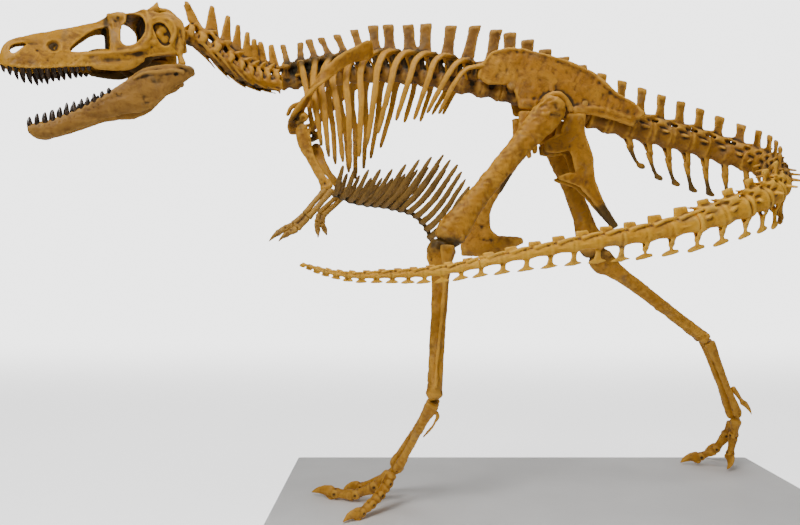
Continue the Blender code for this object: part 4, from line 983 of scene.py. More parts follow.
@dataclass
class Neck:
    """Nine neck vertebrae in a double curve, with fin-like spines and thin ribs that trail backward."""

    path: tuple[Point, ...] = ((-1.505, -0.305, 2.178), (-1.465, -0.265, 2.168), (-1.425, -0.232, 2.148),
        (-1.385, -0.205, 2.125), (-1.34, -0.165, 2.092), (-1.27, -0.098, 2.056), (-1.2, -0.035, 2.049),
        (-1.125, 0.0, 2.05))
    beyond: Point = (-0.93, 0.0, 2.07)
    count: int = 9
    lengths: Rows = ((0, 0.04), (1, 0.08), (2, 0.076), (4, 0.062), (6, 0.052), (8, 0.056))
    height: Rows = ((1, 0.152), (2, 0.206), (3, 0.222), (5, 0.208), (6, 0.188), (8, 0.18))
    lean: Rows = ((1, -0.058), (2, -0.006), (3, 0.014), (5, 0.004), (7, -0.026), (8, -0.024))
    stout: float = 0.0095

    def vertebra(self, index: int, seat: Seat, line: Line, at: float) -> list[Form]:
        """One vertebra with its two ribs.

        Args:
            index: its number from the skull.
            seat: where it sits.
            line: the line of the neck.
            at: distance of its middle along the line.

        Returns:
            Closed forms.
        """
        wide, high = 0.035 + 0.001 * index, 0.029 + 0.0006 * index
        made = [spool(seat, wide, high, waist=0.76)]
        if index == 0:
            return made + [carry([(seat.spot(0.0, side * 0.03, 0.0), 0.016, 0.013),
                        (seat.spot(0.004, side * 0.026, 0.045), 0.016, 0.007), (seat.spot(0.01, side * 0.004,
                            0.06), 0.014, 0.006)], seat.along) for side in (1.0, -1.0)]
        half = seat.length / 2
        made += arch(seat, wide, high * 0.7, 0.056, self.stout, 0.014)
        lean = float(read(self.lean, index))
        top = seat.above(lean, 0.0, float(read(self.height, index)) - 0.004)
        root = seat.above(lean * 0.2 - half * 0.1, 0.0, 0.074)
        made += fin(root, top, seat.along, (half * 1.06, half * 0.8, 0.0125), 0.008, 0.0075, 0.004)
        made.append(sheet([seat.spot(-0.92 * half, 0.0, 0.02), seat.spot(-0.66 * half, 0.0, 0.07),
                    root - seat.along * half * 0.8], [seat.spot(0.92 * half, 0.0, 0.02),
                    seat.spot(0.58 * half, 0.0, 0.07), root + seat.along * half * 0.8], (0.024, 0.016,
                    0.009), normal=seat.across))
        for side in (1.0, -1.0):
            if index == 1:
                made.append(carry([(top - UP * 0.035, 0.01, 0.006),
                            (top + seat.across * side * 0.016 - UP * 0.01, 0.012, 0.005)], seat.along))
            made.append(carry([(seat.spot(0.5 * half, side * 0.02, 0.066), 0.009, 0.007),
                        (seat.spot(1.25 * half, side * 0.03, 0.086), 0.005, 0.004)], seat.along))
            made.append(carry([(seat.spot(-0.1 * half, side * wide * 0.5, 0.04), half * 0.62, 0.01),
                        (seat.spot(0.0, side * 0.04, 0.02), half * 0.5, 0.01), (seat.spot(0.0, side * 0.044,
                            -0.006), half * 0.34, 0.007)], seat.along))
            made.append(self.rib(line, at, wide, side, 0.118 + 0.008 * index))
        return made

    def rib(self, line: Line, at: float, wide: float, side: float, reach: float) -> Form:
        """A thin rib under the neck that runs back below the next bodies.

        Args:
            line: the run of the neck.
            at: distance along it where the rib starts.
            wide: half width of the body there.
            side: 1 for the left side, -1 for the right.
            reach: length of the rib.

        Returns:
            The rib.
        """
        stations = []
        for share, out, drop, size in ((-0.12, 0.92, -0.004, 0.0085), (0.1, 1.08, -0.01, 0.007),
                (0.4, 1.04, -0.022, 0.0056), (0.75, 0.96, -0.034, 0.0046), (1.0, 0.9, -0.042, 0.0034)):
            place = min(at + reach * share, line.length - 0.004)
            along = line.heading(place)
            across = unit(np.cross(UP, along))
            stations.append((line.at(place) + across * side * wide * out + np.cross(along, across) * drop,
                    size * 1.3, size))
        return carry(stations, UP, sides=12)

    def build(self) -> None:
        """Casts the neck."""
        line = Line(self.path, self.beyond)
        casting = Casting("neck_bones", ("neck",), voxel=0.9, rough=0.0006)
        run = seats(line, [float(read(self.lengths, index)) for index in range(self.count)])
        at = 0.0
        for index, seat in enumerate(run):
            casting.add(self.vertebra(index, seat, line, at + seat.length / 2))
            # Painted shade under the joint in front of each vertebra.
            casting.stains.append(Stain(tuple(seat.spot(-seat.length / 2, 0.0, -0.03)), (0.026, 0.05, 0.02),
                    0.5))
            at += seat.length
        casting.pour(Bone.OCHRE.value)


@dataclass
class Trunk:
    """Thirteen back vertebrae with broad tilted spines, and the ribs of both sides."""

    path: tuple[Point, ...] = ((-1.125, 0.0, 2.05), (-0.93, 0.0, 2.07), (-0.7, 0.0, 2.092),
        (-0.45, 0.0, 2.076), (-0.2, 0.0, 2.032), (-0.062, 0.0, 2.004))
    beyond: Point = (0.17, 0.0, 1.943)
    count: int = 13
    first_length: float = 0.066
    last_length: float = 0.0975
    top_x: tuple[float, ...] = (-1.118, -1.035, -0.992, -0.933, -0.856, -0.773, -0.681, -0.608, -0.511,
        -0.424, -0.3025, -0.186, -0.084)
    top_z: tuple[float, ...] = (2.2355, 2.245, 2.2598, 2.2695, 2.284, 2.308, 2.3277, 2.3326, 2.3326, 2.3374,
        2.3277, 2.3277, 2.308)
    root_lean: Rows = ((0, -0.006), (5, -0.02), (6, -0.032), (7, -0.052), (8, -0.031), (9, -0.061),
        (10, -0.035), (11, -0.028), (12, -0.002))
    roof: Rows = ((0, 0.066), (2, 0.082), (5, 0.094), (9, 0.104), (12, 0.108))
    waist: Rows = ((0, 0.016), (4, 0.019), (5, 0.022), (7, 0.0265), (8, 0.029), (12, 0.029))
    crown: Rows = ((0, 0.015), (2, 0.019), (5, 0.022), (6, 0.029), (9, 0.031), (12, 0.033))
    shoulders: tuple[tuple[float, float], ...] = ((-0.985, 1.985), (-0.955, 2.035), (-0.911, 2.068),
        (-0.855, 2.095), (-0.786, 2.12), (-0.712, 2.14), (-0.624, 2.16), (-0.538, 2.16), (-0.45, 2.16),
        (-0.36, 2.155), (-0.268, 2.135), (-0.246, 2.095))
    widest: tuple[float, ...] = (0.165, 0.18, 0.192, 0.203, 0.214, 0.222, 0.226, 0.226, 0.22, 0.21, 0.195,
        0.175)
    ends: tuple[Point, ...] = ((-0.95, 0.15, 1.775), (-0.912, 0.165, 1.719), (-0.88, 0.172, 1.682),
        (-0.812, 0.18, 1.641), (-0.779, 0.185, 1.609), (-0.737, 0.19, 1.664), (-0.701, 0.195, 1.715),
        (-0.651, 0.195, 1.77), (-0.568, 0.195, 1.829), (-0.486, 0.19, 1.834), (-0.426, 0.18, 1.866),
        (-0.371, 0.165, 1.866))

    def spaces(self) -> list[Seat]:
        """Seats of the back vertebrae."""
        growth = (self.last_length - self.first_length) / (self.count - 1)
        return seats(Line(self.path, self.beyond), [self.first_length + growth * index
                for index in range(self.count)])

    def vertebra(self, index: int, seat: Seat) -> list[Form]:
        """One vertebra without its ribs.

        Args:
            index: its number, from the front.
            seat: where the vertebra sits.

        Returns:
            Its forms.
        """
        wide, high = 0.034 + 0.001 * index, 0.036 + 0.0006 * index
        half = seat.length / 2
        made = [spool(seat, wide, high, waist=0.72, rim=1.06)]
        roof = float(read(self.roof, index))
        made += arch(seat, wide, high * 0.75, roof, 0.0115, 0.014)
        top = np.array((self.top_x[index], 0.0, self.top_z[index] - 0.003))
        root = seat.above(float(read(self.root_lean, index)) * 0.7, 0.0, roof + 0.022)
        made += fin(root, top, AHEAD, (float(read(self.waist, index)) * 1.2, float(read(self.waist, index)),
                float(read(self.crown, index))), 0.0075, 0.0098, 0.002)
        made.append(sheet([seat.spot(-0.8 * half, 0.0, roof - 0.01), root - AHEAD * half * 0.62],
                [seat.spot(0.84 * half, 0.0, roof - 0.006), root + AHEAD * half * 0.66], (0.015, 0.0085),
                normal=seat.across))
        open_above = float(read(((9, 0.9), (10, 0.66), (12, 0.6)), index))
        made.append(sheet([seat.spot(-0.96 * half, 0.0, 0.02), seat.spot(-0.92 * half, 0.0, roof * 0.66),
                    root - AHEAD * half * open_above], [seat.spot(0.96 * half, 0.0, 0.02),
                    seat.spot(0.92 * half, 0.0, roof * 0.66), root + AHEAD * half * open_above],
                (0.03, 0.026, 0.013), normal=seat.across))
        for side in (1.0, -1.0):
            out = self.process(index, seat, side)
            middle = (out + seat.spot(0.0, side * 0.014, roof)) / 2
            made.append(sheet([seat.spot(-0.66 * half, side * 0.01, roof - 0.002),
                        middle - seat.along * 0.019, out - seat.along * 0.017],
                    [seat.spot(0.72 * half, side * 0.01, roof + 0.002), middle + seat.along * 0.02,
                        out + seat.along * 0.016], (0.011, 0.0085, 0.01)))
            for ahead in (-0.34, 0.26):
                made.append(sheet([seat.spot(ahead * half, side * wide * 0.55, high * 0.9),
                            seat.spot(ahead * half * 0.7, side * wide * 0.45, roof - 0.006)],
                        [seat.spot(ahead * half, side * wide * 0.92, high * 0.7),
                            seat.spot(ahead * half * 0.5, side * 0.058, roof + 0.006)], 0.0042,
                        normal=seat.along))
        return made

    def process(self, index: int, seat: Seat, side: float) -> Array:
        """Where the side process of a vertebra ends and its rib starts.

        Args:
            index: its number, from the front.
            seat: where the vertebra sits.
            side: 1 for the left side, -1 for the right.

        Returns:
            A point.
        """
        rise = float(read(self.roof, index)) - 0.004
        if index == 0:
            return seat.centre + seat.across * side * 0.06 + UP * rise
        tuck = float(read(((10, 0.0), (11, 1.0), (12, 0.5)), index))
        return (seat.centre + seat.across * side * (0.078 - 0.016 * tuck) + UP * rise + seat.along
            * (0.004 - 0.02 * tuck))

    def rib(self, index: int, seat: Seat, side: float) -> list[Form]:
        """One rib: a shaft with two heads, flat below and clubbed at its end.

        Args:
            index: its number, from the front.
            seat: where the vertebra sits.
            side: 1 for the left side, -1 for the right.

        Returns:
            Its forms.
        """
        x, z = self.shoulders[index - 1]
        widest = self.widest[index - 1]
        end = np.array(self.ends[index - 1])
        if side > 0 and index >= 9:
            end = end + (0.04, 0.0, 0.07)
        end[1] *= side
        start = self.process(index, seat, side)
        knee = np.array((x, side * (0.62 * widest + 0.012), z - 0.014))
        belly = np.array((x * 0.55 + end[0] * 0.45, side * widest, z * 0.58 + end[2] * 0.42))
        size = float(read(((0, 0.95), (3, 1.14), (8, 1.14), (12, 0.98)), index))
        line = Line([tuple(start), tuple(knee), tuple(belly), tuple(end)])
        stations = [(line.at(line.length * share), wide * size, thin * size)
            for share, wide, thin in ((0.0, 0.0155, 0.011), (0.06, 0.013, 0.0105), (0.16, 0.0155, 0.011),
                (0.3, 0.0148, 0.0092), (0.6, 0.0135, 0.0076), (0.86, 0.0115, 0.0066), (0.95, 0.01, 0.006),
                (1.0, 0.0066, 0.0046))]
        half = seat.length / 2
        neck = seat.spot(-0.62 * half, side * 0.034, 0.02)
        fork = line.at(line.length * 0.17)
        made = [carry(stations, AHEAD, power=2.4, spacing=0.008),
            carry([(neck, 0.009, 0.008), (neck * 0.5 + fork * 0.5 + UP * 0.004, 0.0065, 0.0055),
                    (fork, 0.0085, 0.007)], AHEAD)]
        made.append(sheet([line.at(0.0) * 0.9 + fork * 0.1, neck * 0.35 + fork * 0.65],
                [line.at(line.length * 0.12), fork], 0.003))
        return made

    def build(self) -> None:
        """Casts the vertebrae and the two sides of the rib cage."""
        spaces = self.spaces()
        bodies = Casting("back_vertebrae", ("trunk_left", "trunk_right"), voxel=1.12, rough=0.0008)
        for index, seat in enumerate(spaces):
            bodies.add(self.vertebra(index, seat))
            for side in (1.0, -1.0):
                bodies.dents.append(Dent(tuple(seat.spot(0.0, side * 0.036, 0.004)), (0.02, 0.02, 0.013),
                        0.007))
                bodies.dents.append(Dent(tuple(seat.spot(-0.25 * seat.length, side * 0.026, 0.052)),
                        (0.012, 0.018, 0.012), 0.006))
            # Painted shade on each body, in the recess between the arches and at the joint behind it.
            bodies.stains.append(Stain(tuple(seat.spot(0.0, 0.0, -0.012)), (0.04, 0.06, 0.05), 0.3))
            bodies.stains.append(Stain(tuple(seat.spot(0.1 * seat.length, 0.0, 0.075)), (0.046, 0.06, 0.05),
                    0.55))
            bodies.stains.append(Stain(tuple(seat.spot(seat.length / 2, 0.0, 0.03)), (0.014, 0.05, 0.05),
                    0.45))
        bodies.pour(Bone.BACK.value)
        for side, name in ((-1.0, "left"), (1.0, "right")):
            cage = Casting("ribs_" + name, ("trunk_" + name,), rough=0.0006)
            for index in range(1, self.count):
                cage.add(self.rib(index, spaces[index], side))
                # Painted shade where each rib meets its vertebra.
                cage.stains.append(Stain(tuple(self.process(index, spaces[index], side)),
                        (0.045, 0.06, 0.035), 0.55))
            for end in self.ends:
                cage.stains.append(Stain((end[0], end[1] * side, end[2]), (0.03, 0.03, 0.045), 0.35))
            cage.pour(Bone.OCHRE.value)


@dataclass
class BellyRibs:
    """Rows of thin belly ribs, each side of two overlapping rods, with a knobbed middle line."""

    path: tuple[Point, ...] = ((-0.885, 0.0, 1.52), (-0.778, 0.0, 1.476), (-0.594, 0.0, 1.446),
        (-0.482, 0.0, 1.412), (-0.425, 0.0, 1.352), (-0.395, 0.0, 1.285))
    count: int = 14
    tip_x: Rows = ((0, -0.81), (2, -0.69), (4, -0.58), (6, -0.455), (8, -0.345), (10, -0.28), (13, -0.225))
    tip_y: Rows = ((0, 0.13), (2, 0.155), (4, 0.165), (6, 0.17), (8, 0.17), (10, 0.165), (13, 0.145))
    tip_z: Rows = ((0, 1.63), (2, 1.61), (4, 1.612), (6, 1.655), (8, 1.676), (10, 1.63), (13, 1.53))

    def row(self, index: int, line: Line, side: float) -> list[Form]:
        """Both rods of one row on one side, and the knob that they grow from.

        Args:
            index: its number, from the front.
            line: the run of the knobs.
            side: 1 for the left side, -1 for the right.

        Returns:
            Its forms.
        """
        step = line.length / self.count
        place = line.at(step * (index + 0.5))
        along = line.heading(step * (index + 0.5))
        tip = np.array((float(read(self.tip_x, index)), side * float(read(self.tip_y, index)),
                float(read(self.tip_z, index))))
        belly = place * 0.5 + tip * 0.5 + np.array((0.0, side * 0.03, -0.022))
        root = place - SIDEWAYS * side * 0.01 + along * side * 0.006
        way = Line([tuple(root), tuple(place + SIDEWAYS * side * 0.022), tuple(belly), tuple(tip)])
        inner = [(way.at(way.length * share) + along * 0.002, wide, deep)
            for share, wide, deep in ((0.0, 0.0185, 0.012), (0.12, 0.016, 0.0105), (0.4, 0.014, 0.0095),
                (0.66, 0.0092, 0.0066), (0.8, 0.003, 0.0028))]
        outer = [(way.at(way.length * share) - along * 0.0055 - UP * 0.002, wide, deep)
            for share, wide, deep in ((0.26, 0.0032, 0.003), (0.4, 0.009, 0.007), (0.64, 0.0125, 0.0085),
                (0.9, 0.0105, 0.008), (1.0, 0.006, 0.0054))]
        return [carry(inner, along, sides=14), carry(outer, along, sides=14),
            ball(place + SIDEWAYS * side * 0.008, (0.019, 0.016, 0.015))]

    def build(self) -> None:
        """Casts the belly ribs."""
        line = Line(self.path)
        casting = Casting("belly_ribs", ("gastralia",), voxel=0.88, rough=0.0006)
        for index in range(self.count):
            for side in (1.0, -1.0):
                casting.add(self.row(index, line, side))
        steps = np.linspace(0.0, line.length, 2 * self.count + 1)
        casting.add(carry([(line.at(at), 0.015 if number % 2 else 0.0125, 0.0135 if number % 2 else 0.0105)
                    for number, at in enumerate(steps)], SIDEWAYS))
        # Painted shade in the narrow places between the knobs of the middle line.
        casting.stains.extend(Stain(tuple(line.at(at)), (0.034, 0.02, 0.022), 0.7) for at in steps[::2])
        casting.pour(Bone.BELLY.value)


@dataclass
class Tail:
    """Forty tail vertebrae in five lengths: deep and spiny at the hips, slender rods at the tip."""

    path: tuple[Point, ...] = ((0.366, 0.0, 1.889), (0.64, 0.015, 1.817), (0.88, 0.045, 1.766),
        (1.02, 0.055, 1.726), (1.125, 0.005, 1.678), (1.16, -0.11, 1.63), (1.14, -0.24, 1.582),
        (1.09, -0.37, 1.53), (1.0, -0.49, 1.472), (0.86, -0.572, 1.414), (0.7, -0.598, 1.358),
        (0.46, -0.61, 1.298), (0.165, -0.628, 1.251), (-0.17, -0.63, 1.189), (-0.39, -0.6, 1.144),
        (-0.6, -0.59, 1.13), (-0.75, -0.58, 1.128), (-0.86, -0.56, 1.146), (-0.95, -0.54, 1.174))
    count: int = 40
    breaks: tuple[int, ...] = (0, 8, 13, 18, 27, 40)
    length: Rows = ((0, 0.103), (7, 0.103), (8, 0.098), (15, 0.098), (16, 0.108), (19, 0.108), (20, 0.098),
        (25, 0.095), (27, 0.08), (29, 0.072), (30, 0.064), (33, 0.062), (34, 0.055), (39, 0.03))
    width: Rows = ((0, 0.048), (8, 0.044), (16, 0.04), (24, 0.025), (32, 0.0155), (39, 0.006))
    depth: Rows = ((0, 0.056), (8, 0.052), (16, 0.044), (20, 0.034), (24, 0.022), (32, 0.015), (39, 0.005))
    spine: Rows = ((0, 0.225), (6, 0.175), (10, 0.148), (16, 0.098), (20, 0.058), (27, 0.032), (34, 0.02),
        (39, 0.008))
    wing: Rows = ((1, 0.046), (2, 0.056), (8, 0.058), (11, 0.092), (14, 0.07), (16, 0.044), (17, 0.04))
    drop: Rows = ((1, 0.18), (2, 0.215), (4, 0.238), (7, 0.215), (14, 0.13), (20, 0.088), (27, 0.047),
        (34, 0.025), (39, 0.014))
    lean: Rows = ((1, 0.07), (3, 0.05), (7, 0.014), (39, 0.0))
    foot: Rows = ((1, 0.017), (7, 0.022), (12, 0.028), (17, 0.036), (28, 0.028), (39, 0.011))
    slim: Rows = ((0, 0.0085), (20, 0.0062), (30, 0.004), (39, 0.003))

    def tall(self, index: int, seat: Seat) -> list[Form]:
        """A vertebra of the first half: an arch, a paddle-like spine and side processes.

        Args:
            index: its number, from the front.
            seat: where the vertebra sits.

        Returns:
            Its forms.
        """
        half = seat.length / 2
        wide, deep = float(read(self.width, index)), float(read(self.depth, index))
        slim = float(read(self.slim, index))
        size = float(read(((0, 1.0), (8, 0.85), (17, 0.66)), index))
        made = [spool(seat, wide, deep, waist=0.84)]
        made += arch(seat, wide, deep * 0.8, deep + 0.016 * size, 0.0082 * size, 0.014 * size)
        back = float(read(((0, 0.016), (10, 0.024), (17, 0.028)), index))
        crest = seat.above(back, 0.0, float(read(self.spine, index)) - 0.004)
        root = seat.above(back * 0.3, 0.0, deep + 0.014 * size)
        made += fin(root, crest, seat.along, (half * 0.64, half * 0.44, half * 0.5), slim * 0.95,
            slim * 1.25, 0.001)
        made.append(sheet([seat.spot(-0.62 * half, 0.0, deep * 0.6), seat.spot(-0.46 * half, 0.0,
                        deep + 0.014 * size), root - seat.along * half * 0.44 + UP * 0.016 * size],
                [seat.spot(0.96 * half, 0.0, deep * 0.6), seat.spot(0.9 * half, 0.0, deep + 0.014 * size),
                    root + seat.along * half * 0.6 + UP * 0.016 * size], (0.03 * size, 0.025 * size,
                    0.013 * size), normal=seat.across))
        wing = float(read(self.wing, index))
        for side in (1.0, -1.0):
            made.append(sheet([seat.spot(-0.42 * half, side * wide * 0.5, deep * 0.35), seat.spot(0.1 * half,
                            side * (wide + wing) * 0.5, 0.012), seat.spot(0.14 * half, side * wing, 0.008)],
                    [seat.spot(0.46 * half, side * wide * 0.5, deep * 0.35), seat.spot(0.5 * half,
                            side * (wide + wing) * 0.5, 0.014), seat.spot(0.58 * half, side * wing, 0.012)],
                    (0.01 * size, 0.0055, 0.005)))
        return made

    def low(self, index: int, seat: Seat) -> list[Form]:
        """A vertebra of the second half: a long body, a low crest and rods that reach forward.

        Args:
            index: its number, from the front.
            seat: where the vertebra sits.

        Returns:
            Its forms.
        """
        half = seat.length / 2
        wide, deep = float(read(self.width, index)), float(read(self.depth, index))
        slim = float(read(self.slim, index))
        rise = float(read(self.spine, index))
        made = [spool(seat, wide * 0.96, deep * 0.96, waist=0.8, rim=1.0)]
        made.append(sheet([seat.above(-0.55 * half, 0.0, deep * 0.55), seat.above(-0.3 * half, 0.0,
                        rise * 0.93)], [seat.above(0.7 * half, 0.0, deep * 0.55), seat.above(0.78 * half,
                        0.0, rise)], (wide * 0.42, slim), normal=seat.across))
        rod = float(read(((18, 0.0062), (24, 0.0055), (32, 0.004), (39, 0.0018)), index))
        for side in (1.0, -1.0):
            made.append(carry([(seat.spot(0.2 * half, side * wide * 0.42, deep * 0.8), rod * 1.2, rod * 1.4),
                        (seat.spot(-0.75 * half, side * wide * 0.55, deep * 0.95 + rod), rod, rod * 1.2),
                        (seat.spot(-1.5 * half, side * wide * 0.7, deep + rod * 1.2), rod * 0.6, rod * 0.9)],
                    seat.across, sides=12))
            made.append(carry([(seat.spot(-0.6 * half, side * wide * 0.8, -deep * 0.05), rod * 0.5,
                            rod * 0.6), (seat.spot(0.6 * half, side * wide * 0.82, -deep * 0.02), rod * 0.5,
                            rod * 0.6)], seat.across, sides=10))
        return made

    def chevron(self, index: int, seat: Seat) -> list[Form]:
        """The blade under a joint: two arms that meet below, then a stem and a foot.

        Args:
            index: its number, from the front.
            seat: where the vertebra before it sits.

        Returns:
            Its forms.
        """
        half = seat.length / 2
        deep, slim = float(read(self.depth, index)), float(read(self.slim, index))
        joint = seat.centre + seat.along * half * 0.84
        foot = joint - UP * float(read(self.drop, index)) + seat.along * float(read(self.lean, index))
        spread = float(read(self.foot, index))
        top = joint - UP * deep * 0.96
        gate = top * 0.68 + foot * 0.32
        wide = float(read(self.width, index)) * 0.45
        made = []
        if index < 20:
            for side in (1.0, -1.0):
                made.append(carry([(top + seat.across * side * wide + UP * 0.01, slim * 1.9, slim * 0.9),
                            (gate * 0.55 + top * 0.45 + seat.across * side * wide * 0.6, slim * 1.7,
                                slim * 0.8), (gate, slim * 1.9, slim * 1.1)], seat.along))
            made.append(carry([(top + seat.across * wide + UP * 0.004, slim, slim),
                        (top - seat.across * wide + UP * 0.004, slim, slim)], seat.along))
            bend = seat.along * -0.01 * float(read(((1, 1.0), (10, 0.0)), index))
            stem = seat.along * slim * 2.3
            low = gate * 0.34 + foot * 0.66
            made.append(sheet([gate - stem + bend, low - seat.along * max(spread * 0.46, 0.0115) + bend,
                        foot - seat.along * max(spread, 0.015) + UP * 0.01], [gate + stem + bend,
                        low + seat.along * max(spread * 0.46, 0.0115) + bend, foot + seat.along * max(spread,
                            0.015) + UP * 0.008], (slim * 1.2, slim * 1.1, slim * 1.6), normal=seat.across))
            made.append(carry([(foot - seat.along * max(spread, 0.015) * 0.9 + UP * 0.009, slim * 1.2,
                            slim * 1.1), (foot + UP * 0.011, slim * 1.2, slim * 1.8),
                        (foot + seat.along * max(spread, 0.015) * 0.9 + UP * 0.007, slim * 1.2, slim * 1.1)],
                    seat.across))
            return made
        made.append(sheet([top + UP * deep * 0.3 - seat.along * spread * 0.42,
                    gate - seat.along * spread * 0.3], [top + UP * deep * 0.3 + seat.along * spread * 0.42,
                    gate + seat.along * spread * 0.3], slim * 1.1, normal=seat.across, spacing=0.003))
        made.append(carry([(foot - seat.along * spread * 1.12 + UP * 0.004, slim * 0.5, 0.003),
                    (foot - seat.along * spread * 0.5 + UP * 0.007, slim * 1.1, 0.008), (foot + UP * 0.009,
                        slim * 1.2, max(0.0095, deep * 0.42)), (foot + seat.along * spread * 0.5 + UP
                        * 0.007, slim * 1.1, 0.008), (foot + seat.along * spread * 1.12 + UP * 0.004,
                        slim * 0.5, 0.003)], seat.across, spacing=0.003))
        made.append(sheet([gate - seat.along * spread * 0.34,
                    foot - seat.along * spread * 0.52 + UP * 0.006], [gate + seat.along * spread * 0.34,
                    foot + seat.along * spread * 0.52 + UP * 0.006], slim, normal=seat.across,
                spacing=0.003))
        return made

    def build(self) -> None:
        """Casts the five lengths of the tail."""
        line = Line(self.path)
        run = seats(line, [float(read(self.length, index)) for index in range(self.count)])
        voxels = (1.0, 0.95, 0.85, 0.72, 0.55)
        for number, (first, last) in enumerate(zip(self.breaks, self.breaks[1:])):
            casting = Casting("tail_length_%d" % (number + 1), ("tail_%d" % (number + 1),),
                voxel=voxels[number], rough=0.0007 - 0.0001 * number)
            for index in range(first, last):
                seat = run[index]
                casting.add((self.tall if index < 18 else self.low)(index, seat))
                if index >= 1:
                    casting.add(self.chevron(index, seat))
                if 1 <= index < 11:
                    low = seat.centre + seat.along * seat.length * 0.5 - UP * float(read(self.drop,
                            index)) * 0.88
                    casting.stains.append(Stain(tuple(low), (0.05, 0.04, 0.055), 0.75))
                # Painted shade at the joint behind each vertebra.
                casting.stains.append(Stain(tuple(seat.spot(seat.length / 2, 0.0, 0.0)), (0.01, 0.05, 0.04),
                        0.3))
            # The first two lengths, on the far side of the bend, take the darker copy of the bone as painted
            # shade.
            casting.pour((Bone.TAIL if number < 2 else Bone.GOLDEN).value)


# ---------------------------------------------------------------- hips, shoulders and limbs


